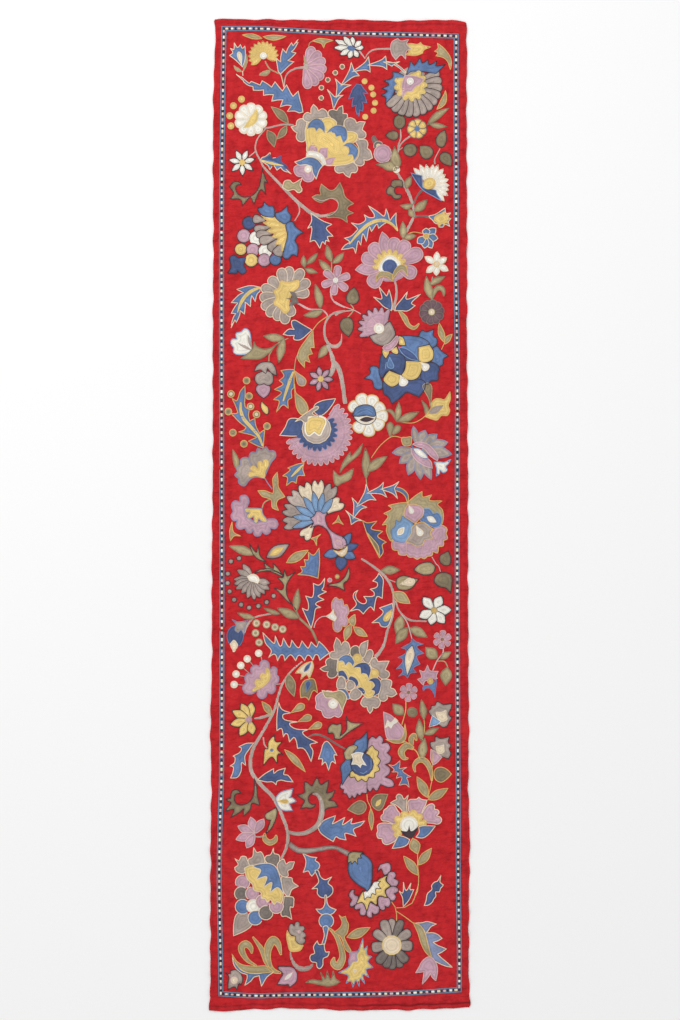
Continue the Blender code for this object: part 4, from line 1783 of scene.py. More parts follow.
def left_stem_leaf(sew):
    """A thin stem with a three-lobed blue leaf and a saw-edged grey-green one."""
    sew.stem(((328, 316), (318.6, 322.7), (312.6, 330.5)), 1.0, thread="gold")
    sew.stem(((302, 349), (296.3, 357.4), (294.2, 371)), 1.0, thread="khaki")
    sew.shape(((312, 330, 1), (302, 324.2), (295.4, 320.4), (291.6, 321.6), (292.4, 326.8),
               (294.4, 329.6, 1), (288.6, 329.4), (283.2, 334.4, 1), (289, 335.6), (294.4, 335.4, 1),
               (293.6, 338.8), (297, 340.2), (302.4, 338.6)), "dark_blue", "cream")
    sew.shape(((313, 330.4, 1), (307, 338.4), (299.2, 350), (298, 359), (304.6, 367.8, 1),
               (305, 360.9), (310, 362.6, 1), (308, 355.6), (312.4, 353.8, 1), (310.3, 348),
               (314.2, 347.6, 1), (313.4, 339)), "khaki", "gold")


def striped_tulip(sew):
    """A white tulip shaded with grey in a leafy calyx."""
    sew.stem(((289, 338), (277.8, 343.4), (270, 353.4), (268.8, 362)), 1.2, 2.0, 1.6, thread="khaki")
    sew.shape(((252, 349.8), (247.2, 354), (238, 354.6), (233.6, 352.4), (233.6, 347.6, 1),
               (230.8, 343.6), (232, 339.2), (236.6, 339, 1), (235.8, 333.6), (241.2, 331.8, 1),
               (244.8, 328.6), (249.4, 331.4), (251.2, 341)), "white", "light_blue")
    sew.leaf((251.8, 350.4), (237.4, 343), 3.0, "taupe")
    sew.leaf((252, 349), (247.6, 334.4), 3.4, "taupe")
    sew.shape(((241, 358.4, 1), (251.4, 350.2), (254, 341.8, 1), (256.8, 346.4), (263.8, 349),
               (271.4, 347.6), (278, 343, 1), (270, 352), (261.2, 358.6), (251, 359.4)),
              "khaki", "olive")
    sew.leaves((((284.6, 338.4), (263.6, 336), 7.8, 0.6), ((284, 338.6), (278.8, 362.6), 8.0, -0.4)),
               "khaki", "olive")


def curling_brown_vine(sew):
    """The brown stem that curls up and throws off leaves."""
    sew.stem(((345, 311), (335, 312.6), (327.6, 318.6), (324.4, 328), (325.6, 338.8), (330.4, 345.4),
              (336.6, 346.4), (341, 341.4), (341.6, 333.4)), 2.0, 2.6, 3.2, 4.6, 0.6)
    sew.leaf((327.4, 344.6), (318.4, 358), 7.6, "khaki", "olive", bend=0.6)
    sew.stem(((327, 344.6), (331.4, 354), (333.6, 365), (330.6, 374.6), (327.8, 379)),
             2.4, 4.6, 5.4, 1.0)
    sew.stem(((330.6, 359.6), (337, 365), (341, 376), (343.4, 390), (345.2, 404)), 2.6, 5.0, 4.4, 4.4)


def capped_heart_bud(sew):
    """A mauve heart under a grey-brown bud with a leafy cap."""
    sew.shape(((259, 384), (255.6, 389), (258.6, 394.6), (263.6, 398.6, 1), (268.6, 394.4),
               (270.6, 388.4), (267.2, 384)), "mauve", "dark")
    sew.shape(((262, 371.6), (256, 374.6), (255, 380.6), (259, 385), (263.8, 383.6, 1), (268.6, 385.6),
               (273, 382.2), (273, 375.4), (269, 371.4)), "taupe", "dark")
    sew.shape(((254.4, 371.4, 1), (256.4, 366), (262, 362.2), (271.2, 362.4), (275.6, 368.4),
               (276.8, 376, 1), (271.4, 373), (267.6, 368.4, 1), (265.6, 373.4), (260.6, 370)),
              "taupe", "dark")


def mauve_star(sew):
    """A mauve star flower with a yellow eye, and a grey-brown drop beside it."""
    sew.petals("point", (320.8, 379), 7, 1.4, 12.8, 5.8, "mauve", "dark", 100)
    sew.disc((320.8, 379), 2.7, "yellow", "gold")
    sew.leaf((294.6, 370.8), (304.4, 385.6), 8.8, "taupe", "gold", form="drop")


# The far half's motifs, right


def ribbed_right_saz(sew):
    """A ribbed saw-edged leaf that arches over the mauve flower."""
    sew.shape(((397.8, 231.1, 1), (394.9, 226.7), (389.8, 223.7), (385.0, 223.4), (378.6, 228.3, 1),
            (376.8, 224.2), (371.5, 231.6, 1), (369.2, 227.2), (366.4, 241.5, 1), (362.8, 233.9),
            (360.8, 245.1, 1), (358.0, 241.3), (355.7, 253.5, 1), (353.4, 247.9), (348.3, 248.7),
            (341.4, 249.7, 1), (344.9, 245.4), (349.8, 242.0), (344.6, 238.2, 1), (350.8, 236.4),
            (356.4, 231.1), (357.4, 228.3), (351.3, 222.9, 1), (359.2, 224.2), (365.6, 220.1),
            (364.3, 214.9, 1), (369.7, 217.8), (374.8, 216.0), (368.4, 205.9, 1), (377.1, 211.4),
            (384.2, 216.3), (386.0, 208.9, 1), (388.1, 214.2), (389.8, 220.4), (392.4, 217.3),
            (396.2, 213.0, 1), (396.0, 221.9)), "blue", "cream")
    sew.stem(((397.8, 231.1), (391.6, 224.2), (381.9, 220.4), (370.2, 223.4), (359.5, 232.1),
            (349.3, 244.3)), 1.6, 2.8, 3.4, 3.4, 3.0, 1.0, thread="yellow")


def small_carnation(sew):
    """A small yellow and blue carnation on a grey stem."""
    sew.stem(((413.1, 217.8), (417.9, 216.1), (425.1, 216.3),
            (433.2, 218.1)), 2.0, 2.2, 3.6, thread="grey")
    sew.shape(((428.9, 216.3), (435.3, 214.5), (444.9, 208.2, 1), (446.0, 213.5), (450.6, 213.0, 1),
            (447.8, 217.3), (450.8, 218.8, 1), (448.3, 221.9), (449.8, 226.5, 1), (444.9, 224.2),
            (442.9, 227.0), (439.6, 227.2, 1), (438.6, 224.4), (435.3, 223.4),
            (432.4, 220.1)), "blue", "cream")
    sew.shape(((434.2, 220.4), (435.3, 216.3), (440.6, 213.7), (444.7, 211.4, 1), (444.7, 214.7),
            (449.3, 213.7, 1), (447.0, 217.3), (449.8, 218.6, 1), (447.2, 220.6), (448.5, 223.7, 1),
            (444.9, 222.7), (444.4, 225.5, 1), (441.9, 223.7), (438.8, 227.2, 1),
            (437.0, 222.7)), "yellow", "gold")


def right_stem_leaves(sew):
    """The right stem where it forks, with its leaves."""
    sew.stem(((405.4, 190.0), (410.3, 196.6), (413.1, 204.0), (413.6, 210.4),
            (414.1, 216.1)), 2.0, 2.2, 2.4, 2.8)
    sew.stem(((423.0, 190.0), (417.1, 196.1), (413.8, 204.0)), 2.0, 1.8, thread="grey")
    sew.stem(((414.1, 215.5), (412.0, 220.6), (406.7, 230.6), (403.9, 234.6)), 2.6, 3.2, 3.8, 1.6)
    sew.leaves((((414.3, 211.4), (427.1, 199.9), 8.0, -0.6), ((412.8, 204.3),
            (400.2, 205.3), 5.0, 2.0), ((413.8, 217.0), (409.0, 208.9), 5.4, 0.4), ((403.1, 239.0),
            (402.6, 221.6), 6.6, -0.4), ((403.6, 238.5), (416.1, 235.9), 6.0, 0.5)), "khaki", "olive")
    sew.stem(((408.0, 234.1), (414.1, 232.1), (423.0, 233.6)), 0.9, thread="gold")


def blue_star_flower(sew):
    """A blue flower of pointed petals with a yellow eye."""
    sew.rays("point", (426.1, 236.7), ((435.8, 228.3), (437.8, 238.5), (431.9, 248.2), (424.5, 248.2),
            (417.4, 243.1), (426.3, 228.3)), 1.0, 7.6, "blue", "cream")
    sew.disc((426.1, 236.2), 2.8, "gold", "yellow")


def mauve_crown_flower(sew):
    """A large mauve flower seen from the side, with a yellow crown round a blue heart."""
    sew.stem(((393.2, 277.2), (396.0, 285.7), (396.2, 297.1), (392.7, 310.2)), 2.4, 2.4, 3.0, 3.6)
    sew.disc((390.1, 263.0), 19.5, "mauve")
    for base, tip, width, form in (((384.7, 269.1), (369.9, 286.2), 14.6, "round"), ((384.7, 266.5),
            (355.4, 269.8), 13.4, "point"), ((386.0, 265.3), (361.9, 256.3), 13.0, "round"),
            ((386.8, 264.0), (370.7, 244.1), 13.4, "round"), ((389.8, 262.7),
            (382.2, 232.1), 13.0, "point"), ((392.4, 262.7), (394.7, 237.7), 12.8, "round"),
            ((394.9, 264.0), (407.2, 241.0), 13.6, "round"), ((394.9, 265.3),
            (422.2, 251.2), 14.6, "round"), ((396.2, 266.5), (416.1, 274.9), 13.6, "round")):
        sew.leaf(base, tip, width, "mauve", "pink", form=form)
    frill = scallops((389.8, 266.5), 13.0, 9, 4.4, start=-12, sweep=205, sharp=True)
    sew.fill(frill, "yellow", "gold", edge_width=0.0012)
    sew.shape(((378.9, 270.6), (381.4, 261.7), (389.8, 255.1), (398.8, 260.9), (400.8, 268.1),
            (394.9, 271.6), (386.0, 272.9)), "white", "cream")
    sew.disc((389.8, 267.0), 7.3, "dark_blue", "blue")
    sew.shape(((376.3, 282.1, 1), (376.6, 275.7), (381.7, 271.6), (389.8, 272.9), (393.9, 277.2),
            (392.4, 281.3, 1), (386.3, 276.7), (380.4, 277.0)), "khaki", "gold")
    sew.shape(((392.4, 279.8, 1), (393.4, 273.2), (397.5, 266.8), (403.6, 265.0), (407.2, 269.8),
            (407.7, 276.7, 1), (404.6, 271.9), (401.3, 269.8), (397.0, 273.4)), "khaki", "gold")


def three_point_leaves(sew):
    """A pair of three-pointed blue leaves, and the tail of their stem."""
    sew.shape(((391.4, 310.7, 1), (384.0, 306.8), (379.9, 302.8), (373.5, 297.1, 1), (381.9, 298.7),
            (378.9, 286.7, 1), (384.0, 293.1), (386.8, 295.9), (389.1, 289.7, 1), (391.4, 298.4),
            (392.1, 304.8)), "dark_blue", "cream")
    sew.shape(((394.7, 310.7, 1), (396.5, 305.6), (401.6, 299.4), (407.4, 291.8, 1), (406.7, 299.4),
            (420.5, 294.3, 1), (411.5, 302.8), (415.1, 305.8, 1), (407.7, 310.9),
            (401.3, 310.7)), "dark_blue", "cream")
    sew.stem(((399.3, 311.2), (404.6, 318.1), (408.5, 325.2), (414.3, 328.0),
            (418.9, 323.9)), 1.4, 5.0, 3.4, 2.8, 0.8, thread="khaki", edge="gold")


def white_six_petal(sew):
    """A white flower of six petals with a gold eye, over a spray of leaves."""
    sew.rays("point", (436.5, 264.2), ((437.0, 251.7), (446.7, 257.6), (448.3, 270.9), (436.3, 275.7),
            (426.3, 272.7), (424.8, 256.8)), 1.2, 6.4, "white", "cream", edge_width=0.0013)
    sew.disc((436.5, 264.2), 2.6, "cream", "gold")
    sew.stem(((432.7, 276.7), (431.6, 281.3)), 1.2, thread="taupe")
    sew.stem(((431.7, 298.7), (433.0, 304.3)), 2.6, 2.0, thread="khaki")
    sew.leaves((((432.7, 299.9), (426.3, 276.2), 7.6, 1.4), ((429.6, 284.6),
            (444.9, 276.7), 6.4, 0.5)), "khaki", "olive")
    sew.shape(((432.4, 299.4, 1), (433.2, 290.3), (437.8, 285.4), (443.2, 286.9), (445.2, 292.0),
            (443.7, 296.4, 1), (441.6, 291.0), (437.6, 290.5)), "khaki", "olive")


def plum_flower(sew):
    """A purple-brown flower of ten round petals, with two leaves below it."""
    sew.petals("round", (431.7, 312.2), 10, 2, 12.4, 7.4, "plum", "grey", 10)
    sew.disc((431.6, 312.1), 3.2, "cream", "khaki")
    sew.stem(((444.9, 342.0), (441.4, 349.7)), 0.9, thread="gold")
    sew.leaves((((444.7, 342.6), (439.3, 323.2), 5.8, 0.8), ((444.9, 344.1),
            (452.1, 334.4), 5.2, 0.8)), "khaki", "gold")


def olive_leaf_pair(sew):
    """Two olive leaves on a forked stem."""
    sew.stem(((335.0, 315.5), (340.9, 312.2), (352.9, 310.4)), 3.0, 2.2, 1.0)
    sew.stem(((335.0, 301.7), (344.4, 306.8), (353.9, 310.2), (360.8, 314.0)), 1.0, thread="pink")
    sew.stem(((350.6, 304.3), (353.6, 309.9), (347.2, 318.1)), 1.2, thread="khaki")
    sew.leaf((351.3, 304.3), (354.1, 287.2), 13.0, "olive", "dark", form="bowl", bend=-0.4)
    sew.leaf((346.2, 317.6), (348.8, 336.7), 14.0, "olive", "dark", form="bowl", bend=-0.6)


def mauve_side_fan(sew):
    """A mauve fan flower with a white eye in a grey-brown calyx."""
    sew.fill(scallops((379.1, 328.3), 17.0, 8, 4.4, start=212, sweep=-160, apex=((386.0, 330.3),
            (373.3, 335.4))), "mauve", "dark")
    for tip in ((360.0, 329.0), (362.3, 319.3), (368.4, 313.2), (376.1, 310.9), (384.0, 313.0)):
        sew.line((tip, (378.1, 325.2)), "pink", width=0.0013)
    sew.shape(((369.2, 336.2, 1), (373.8, 334.4), (379.6, 332.3), (385.5, 324.2), (390.1, 321.1, 1),
            (394.2, 329.5), (395.2, 334.9), (389.8, 342.3), (382.7, 346.1),
            (374.0, 342.6)), "taupe", "dark")
    sew.disc((378.9, 328.5), 5.0, "white", "cream")


def great_blue_flower(sew):
    """A large blue flower of pointed lobes with yellow discs, joined to the mauve fan."""
    sew.disc((406.4, 368.6), 22, "dark_blue")
    sew.shape(((417.9, 343.1), (418.9, 334.9), (422.2, 330.3), (426.3, 331.8), (433.7, 329.3, 1),
            (433.2, 335.7), (437.0, 339.0), (436.5, 344.6), (432.4, 347.9),
            (424.3, 348.2)), "blue", "dark")
    sew.shape(((431.9, 349.7), (437.3, 346.1), (440.9, 350.5), (448.5, 355.8, 1), (443.4, 359.1),
            (442.9, 364.7), (437.3, 366.5), (431.9, 362.2)), "blue", "dark")
    sew.shape(((420.5, 373.7), (424.3, 363.0), (434.5, 363.0), (439.6, 368.1), (438.1, 373.2),
            (437.8, 380.1), (430.9, 381.1), (428.6, 383.9), (423.0, 382.9)), "dark_blue", "dark")
    sew.shape(((380.9, 378.8), (379.1, 369.1), (374.5, 366.0), (369.7, 367.8), (370.2, 373.4),
            (363.8, 378.3, 1), (372.0, 380.8), (374.0, 387.4), (379.6, 389.7),
            (385.0, 385.2)), "blue", "dark")
    sew.shape(((383.5, 380.1), (392.4, 385.2), (402.6, 381.3), (414.1, 378.8), (424.3, 381.3),
            (424.8, 388.5), (419.2, 397.1, 1), (411.8, 394.1), (406.4, 392.6), (399.5, 398.7),
            (391.9, 404.0, 1), (388.1, 396.9), (383.2, 392.8)), "dark_blue", "dark")
    sew.shape(((396.0, 335.7, 1), (411.5, 335.7), (422.2, 338.0), (429.4, 343.3), (424.3, 346.9),
            (419.4, 350.7), (419.2, 361.2), (411.5, 355.8), (401.3, 346.9)), "blue", "dark")
    sew.shape(((398.3, 347.1, 1), (406.4, 348.9), (414.3, 354.3), (419.2, 360.9, 1), (410.3, 359.1),
            (402.6, 353.8)), "dark_blue", "light_blue")
    sew.shape(((382.4, 353.8), (379.9, 360.9), (379.1, 372.4), (382.2, 377.8), (386.5, 371.6),
            (392.4, 370.6), (400.8, 375.2), (403.9, 369.1), (405.4, 360.9), (401.8, 354.5),
            (391.1, 352.8)), "dark_blue", "dark")
    sew.stem(((386.3, 362.2), (385.5, 368.6)), 1.1, thread="light_blue")
    sew.shape(((389.6, 357.1, 1), (393.9, 366.0), (391.6, 368.6), (387.3, 366.0)), "blue", "light_blue")
    sew.shape(((398.8, 335.7, 1), (403.4, 338.0), (405.9, 345.6, 1), (398.5, 345.1, 1)), "yellow", "dark")
    sew.shape(((390.6, 349.7, 1), (396.7, 346.1, 1), (398.5, 352.2), (396.5, 354.5),
            (391.9, 352.5)), "yellow", "dark")
    sew.shape(((381.9, 349.9, 1), (389.6, 351.0), (386.0, 358.9, 1), (382.7, 354.5)), "yellow", "dark")
    sew.shape(((383.0, 348.9), (384.0, 346.1), (389.6, 343.3), (394.2, 338.5), (397.2, 335.9),
            (398.5, 339.2), (396.2, 344.6), (391.1, 349.9), (386.0, 351.2)), "mauve", "pink")
    sew.shape(((418.2, 347.1, 1), (429.6, 344.6, 1), (433.5, 352.0), (432.2, 359.6), (425.6, 362.7),
            (418.9, 360.7)), "yellow", "dark")
    sew.shape(((405.7, 360.7, 1), (420.7, 361.4, 1), (422.0, 368.6), (418.2, 377.2), (411.5, 380.3),
            (404.6, 378.5), (401.3, 374.9, 1), (404.9, 369.1)), "yellow", "dark")
    sew.shape(((389.1, 370.4, 1), (400.3, 374.9, 1), (398.8, 382.9), (392.4, 386.9), (386.3, 384.1),
            (383.2, 378.5)), "yellow", "dark")
    sew.leaf((420.7, 362.4), (427.9, 369.6), 7.8, "white", "cream", form="drop")
    sew.leaf((400.3, 375.2), (404.9, 385.7), 9.0, "white", "cream", form="drop")


def far_round_leaves(sew):
    """Round olive leaves on thin branching stems."""
    sew.stem(((400.3, 128.0), (400.8, 137.6), (398.5, 145.2), (398.0, 152.9)), 1.4, 2.0, 2.2)
    sew.stem(((411.0, 135.6), (403.9, 140.9), (400.1, 145.7), (398.3, 151.6)), 2.2, 1.8, 1.4)
    sew.stem(((440.1, 148.5), (435.8, 156.7), (434.5, 160.5), (435.0, 164.6)), 1.2, 1.4, 2.6)
    sew.stem(((398.8, 150.3), (402.6, 147.8)), 1.0)
    sew.leaf((399.8, 114.6), (399.2, 128.9), 12.2, "olive", "dark", form="disc")
    sew.leaf((398.5, 135.6), (385.5, 135.3), 9.6, "olive", "dark", form="bowl")
    sew.leaf((403.1, 150.1), (416.9, 149.0), 13.0, "olive", "dark", form="disc", bend=-0.5)
    sew.leaf((431.4, 156.7), (419.4, 146.0), 13.2, "olive", "dark", form="bowl")
    sew.leaf((440.1, 147.2), (444.9, 129.9), 10.6, "olive", "dark", form="bowl", bend=1.0)
    sew.leaf((441.1, 153.6), (451.3, 166.1), 11.6, "olive", "dark", form="bowl", bend=0.6)


def yellow_seven_petal(sew):
    """A small yellow flower with a blue eye."""
    sew.petals("round", (417.0, 128.8), 7, 2, 9.8, 7.6, "yellow", "grey", 84)
    sew.disc((417.0, 128.8), 2.7, "blue")


def thistle_bud(sew):
    """A mauve thistle bud with a ringed tip in two grey-green sepals."""
    sew.leaf((376.5, 145.2), (372.8, 135.3), 6.0, "grey", form="disc")
    sew.disc((378.4, 146.0), 4.8, "grey", "stem")
    sew.disc((378.4, 146.0), 1.9, "yellow", "cream")
    sew.disc((382.7, 153.9), 8.8, "mauve", "pink", squash=1.04)
    sew.shape(((396.7, 168.2), (390.9, 161.8), (391.1, 155.4), (394.4, 146.5, 1), (398.3, 154.1),
            (400.8, 161.8), (399.3, 166.9)), "khaki", "olive")
    sew.shape(((396.2, 170.2), (387.3, 170.2), (382.2, 167.1), (376.1, 164.6, 1), (381.2, 163.3),
            (386.0, 162.6), (390.6, 161.8), (394.9, 166.1)), "khaki", "olive")


def thistle_stem(sew):
    """The thistle's stem with a white bead, a leaf and a dark scroll."""
    sew.stem(((396.7, 172.0), (402.6, 182.2), (407.7, 191.1), (411.5, 201.3),
            (413.6, 210.0)), 2.6, 3.6, 4.0, 3.2, 2.6)
    sew.leaf((406.4, 188.6), (411.5, 176.1), 6.6, "khaki", "olive", bend=0.8)
    sew.shape(((402.6, 187.0), (401.8, 180.9), (395.7, 179.6), (391.6, 181.7), (391.1, 185.8),
            (393.9, 187.6), (389.6, 186.3), (386.5, 189.8), (387.3, 194.4), (391.1, 195.2),
            (393.9, 198.5), (398.3, 199.0), (401.3, 197.2), (400.6, 194.7), (396.2, 194.4),
            (394.4, 191.1), (394.9, 188.3), (398.0, 186.3)), "olive", "dark")
    sew.disc((396.5, 169.7), 3.2, "white", "cream")


def half_aster(sew):
    """A white aster seen from the side over a blue calyx, with a yellow eye."""
    sew.rays("point", (430.0, 184.7), ((413.6, 168.2), (419.7, 164.6), (426.1, 164.6), (433.0, 164.6),
            (438.1, 164.8), (443.4, 168.9), (445.5, 174.5), (448.5, 179.6), (449.3, 185.5),
            (448.8, 190.1), (448.0, 195.7), (444.2, 201.1)), 5, 5.8, "white", "cream", edge_width=0.0011)
    sew.stem(((422.0, 189.8), (417.7, 194.7), (415.1, 201.3)), 1.8, 1.6, thread="grey")
    sew.shape(((411.0, 173.0, 1), (415.6, 174.5), (421.7, 175.8, 1), (422.2, 182.2), (423.0, 187.6),
            (429.4, 188.8), (435.8, 190.4, 1), (437.0, 194.4), (441.4, 200.8, 1), (433.2, 196.2),
            (424.3, 191.1), (417.9, 184.2)), "dark_blue", "light_blue")
    sew.disc((429.1, 183.7), 6.2, "yellow", "gold", squash=0.86, angle=30)


# The near half's motifs, left


def ringed_saz(sew):
    """A ribbed leaf whose points each carry a ringed berry."""
    sew.shape(((244.9, 385.9, 1), (245.2, 394.0), (244.6, 402.7, 1), (245.4, 407.3), (249.5, 409.3, 1),
            (248.5, 414.9), (249.7, 421.1, 1), (254.8, 418.5, 1), (255.9, 425.9), (259.9, 434.1, 1),
            (261.2, 432.0), (264.8, 429.7, 1), (264.0, 437.4), (263.3, 448.1, 1), (257.4, 445.8),
            (248.5, 441.2, 1), (253.6, 438.9), (256.9, 437.4, 1), (251.0, 434.8), (238.6, 431.9, 1),
            (244.0, 430.3), (246.2, 427.4, 1), (239.5, 422.1), (231.1, 413.4, 1), (235.7, 413.7),
            (238.0, 412.7, 1), (235.5, 405.5), (232.1, 398.4, 1), (236.5, 400.9), (238.5, 397.3),
            (240.3, 391.5)), "blue", "gold")
    sew.stem(((262.8, 446.3), (258.4, 435.9), (250.8, 426.9), (243.9, 419.0), (240.8, 410.6),
            (240.8, 402.2)), 1.6, 2.6, 3.2, 3.4, 2.8, 1.4, thread="yellow")
    sew.discs(((246.6, 380.6), (231.0, 394.0), (249.1, 396.2), (250.6, 406.5), (228.4, 411.6),
            (256.5, 414.4), (267.0, 426.2), (232.9, 432.7), (244.0, 443.8)), 3.4, "khaki", "gold")
    sew.discs(((231.0, 394.0), (250.6, 406.5), (256.5, 414.4)), 1.8, "cream")
    sew.discs(((246.6, 380.6), (249.1, 396.2), (228.4, 411.6), (267.0, 426.2), (232.9, 432.7),
            (244.0, 443.8)), 1.8, "olive")


def yellow_drop(sew):
    """A small yellow drop outlined in a dark thread."""
    sew.shape(((261.5, 400.7, 1), (260.7, 406.3), (262.8, 411.4), (266.1, 414.4), (268.6, 412.7),
            (267.9, 407.3), (263.8, 403.5)), "yellow", "dark")


def upper_left_saz(sew):
    """A ribbed blue leaf and a long grey-green one from the same stem."""
    sew.shape(((294.2, 369.8, 1), (288, 369.6), (281, 370.6, 1), (284, 376), (279.4, 380.6, 1),
            (282.9, 384.6), (274.5, 389.4, 1), (281.6, 392.8), (273.5, 399.6, 1), (279.3, 401.4),
            (276.3, 412.1, 1), (282.9, 405.0), (288.3, 408.3, 1), (288.0, 400.4), (291.8, 397.9, 1),
            (291.3, 390.7), (294.1, 387.7, 1), (294.1, 380.0)), "blue", "gold")
    sew.stem(((293.4, 371.6), (290.1, 380.0), (286.2, 391.5),
            (283.2, 401.2)), 1.4, 2.8, 2.6, 1.2, thread="yellow")
    sew.shape(((294.6, 383.8, 1), (295.9, 392.8), (302.0, 397.9), (306.6, 403.7), (307.9, 410.1),
            (302.0, 414.7), (297.4, 409.6), (295.4, 400.4)), "khaki", "gold")


def shaggy_mauve_flower(sew):
    """A shaggy mauve flower with a squared yellow heart in a blue scalloped ring."""
    frill = scallops((318.6, 431.7), 29.4, 21, 4.6, start=58, sweep=-224, apex=((318.6, 431.7),))
    sew.fill(frill, "mauve", "pink")
    for angle in range(40, -170, -15):
        start, end = turned(angle, 22), turned(angle + 3, 29)
        rib = ((318.6 + start[0], 431.6 + start[1]), (318.6 + end[0], 431.6 + end[1]))
        sew.line(rib, "pink", width=0.0011)
    sew.shape(((314.8, 405.0), (322.4, 400.7), (335.5, 398.6, 1), (332.7, 404.2), (326.5, 411.9),
            (320.2, 415.7), (314.3, 411.9)), "dark_blue", "cream")
    sew.shape(((279.8, 435.4, 1), (285.2, 427.2), (289.0, 419.3), (296.9, 418.6), (303.1, 421.8),
            (303.1, 429.0), (301.5, 434.1), (294.6, 436.1)), "dark_blue", "cream")
    ruff = scallops((316.8, 430.5), 17.2, 13, 3.8, start=42, sweep=-212, apex=((316.8, 430.5),))
    sew.fill(ruff, "dark_blue", "blue", edge_width=0.0012)
    sew.disc((316.5, 429.2), 14.4, "stem", "cream")
    sew.shape(((306.1, 421.1), (312.2, 416.5), (323.0, 417.5), (326.0, 422.3), (323.0, 430.0),
            (319.9, 435.6), (314.3, 432.3, 1), (308.7, 436.1),
            (305.4, 431.0)), "yellow", "white", edge_width=0.0032)
    sew.shape(((295.0, 421.8, 1), (300.8, 417.0), (308.4, 411.6), (316.6, 406.3), (318.4, 408.6),
            (312.2, 413.4), (318.1, 417.0), (308.7, 416.7), (307.9, 421.6), (304.6, 422.6),
            (300.8, 419.8)), "taupe", "cream")


def left_taupe_fan(sew):
    """A side-on flower of lobed grey-brown petals with a yellow heart."""
    sew.stem(((264.8, 478.2), (267.6, 482.8), (272.2, 489.2)), 1.0, thread="slate")
    sew.leaf((237.5, 471.1), (232.8, 449.6), 5.6, "khaki", "olive", bend=-0.8)
    sew.shape(((264.4, 478.2, 1), (254.8, 477.2), (249.5, 480.0), (244.4, 486.1), (238.8, 483.1),
            (238.5, 478.5, 1), (234.7, 475.2), (237.8, 471.3, 1), (236.7, 467.8), (240.6, 464.7, 1),
            (240.6, 459.6), (244.9, 457.3), (250.0, 459.1), (254.8, 466.7)), "taupe", "slate")
    sew.shape(((264.4, 478.2, 1), (256.1, 471.8), (250.0, 462.9), (249.0, 456.8), (251.5, 452.2),
            (256.1, 452.7, 1), (257.7, 448.1), (261.7, 449.9, 1), (265.8, 446.8), (269.1, 450.9, 1),
            (274.5, 451.2), (275.8, 456.5), (271.7, 461.9), (267.9, 469.3)), "taupe", "slate")
    sew.shape(((264.4, 478.2, 1), (256.1, 475.9), (249.5, 476.7), (249.2, 472.6), (254.3, 472.1, 1),
            (250.5, 468.5), (253.6, 465.7), (258.2, 469.3, 1), (257.9, 462.7), (261.2, 461.4),
            (263.3, 464.9, 1), (263.8, 460.1), (267.9, 460.4), (268.4, 465.2),
            (265.6, 470.8)), "yellow", "gold")


def three_lobed_leaf(sew):
    """A three-lobed leaf between two side-on flowers."""
    sew.stem(((271.4, 498.6), (264.5, 502.4), (262.2, 508.1)), 1.4, thread="khaki")
    sew.shape(((277.3, 472.3, 1), (278.1, 480.8), (278.6, 487.4), (284.9, 496.8, 1), (278.1, 499.9),
            (276.5, 505.0), (278.6, 510.4, 1), (272.4, 507.6), (271.4, 500.2), (267.6, 498.1),
            (262.2, 496.3), (257.9, 490.7, 1), (265.1, 490.7), (273.0, 493.3), (273.2, 485.9),
            (273.0, 478.2)), "khaki", "gold")


def mauve_scalloped_fan(sew):
    """A side-on mauve flower of eight scallops with a yellow heart."""
    sew.shape(((247.4, 507.6), (249.2, 501.2), (246.4, 495.6), (240.6, 496.1), (239.8, 501.7, 1),
            (234.2, 500.9), (231.4, 505.6), (233.4, 511.4, 1), (230.9, 516.0), (233.4, 520.6),
            (237.2, 520.3, 1), (236.0, 526.2), (239.8, 529.5), (244.9, 528.0, 1), (247.4, 532.6),
            (251.3, 532.8), (252.6, 529.7, 1), (254.6, 535.4), (259.9, 535.9), (262.0, 531.8, 1),
            (266.3, 534.6), (270.4, 531.8), (269.6, 527.7, 1), (275.5, 528.7), (278.1, 524.1),
            (275.3, 519.3), (268.9, 519.0), (263.8, 520.3), (256.1, 521.6),
            (249.7, 517.8)), "mauve", "slate")
    sew.shape(((262.0, 508.6, 1), (253.6, 508.1), (245.2, 508.3), (245.7, 512.1), (249.2, 512.7, 1),
            (246.4, 516.0), (249.2, 518.8), (253.6, 516.5, 1), (254.1, 521.8), (256.9, 522.9),
            (258.7, 519.0, 1), (261.7, 521.3), (266.8, 521.8), (266.1, 518.3),
            (262.8, 513.7)), "yellow", "slate")
    sew.shape(((232.1, 521.8, 1), (233.4, 531.8), (240.8, 536.1, 1), (234.4, 535.9), (230.4, 540.7, 1),
            (229.8, 530.5)), "khaki", "gold")


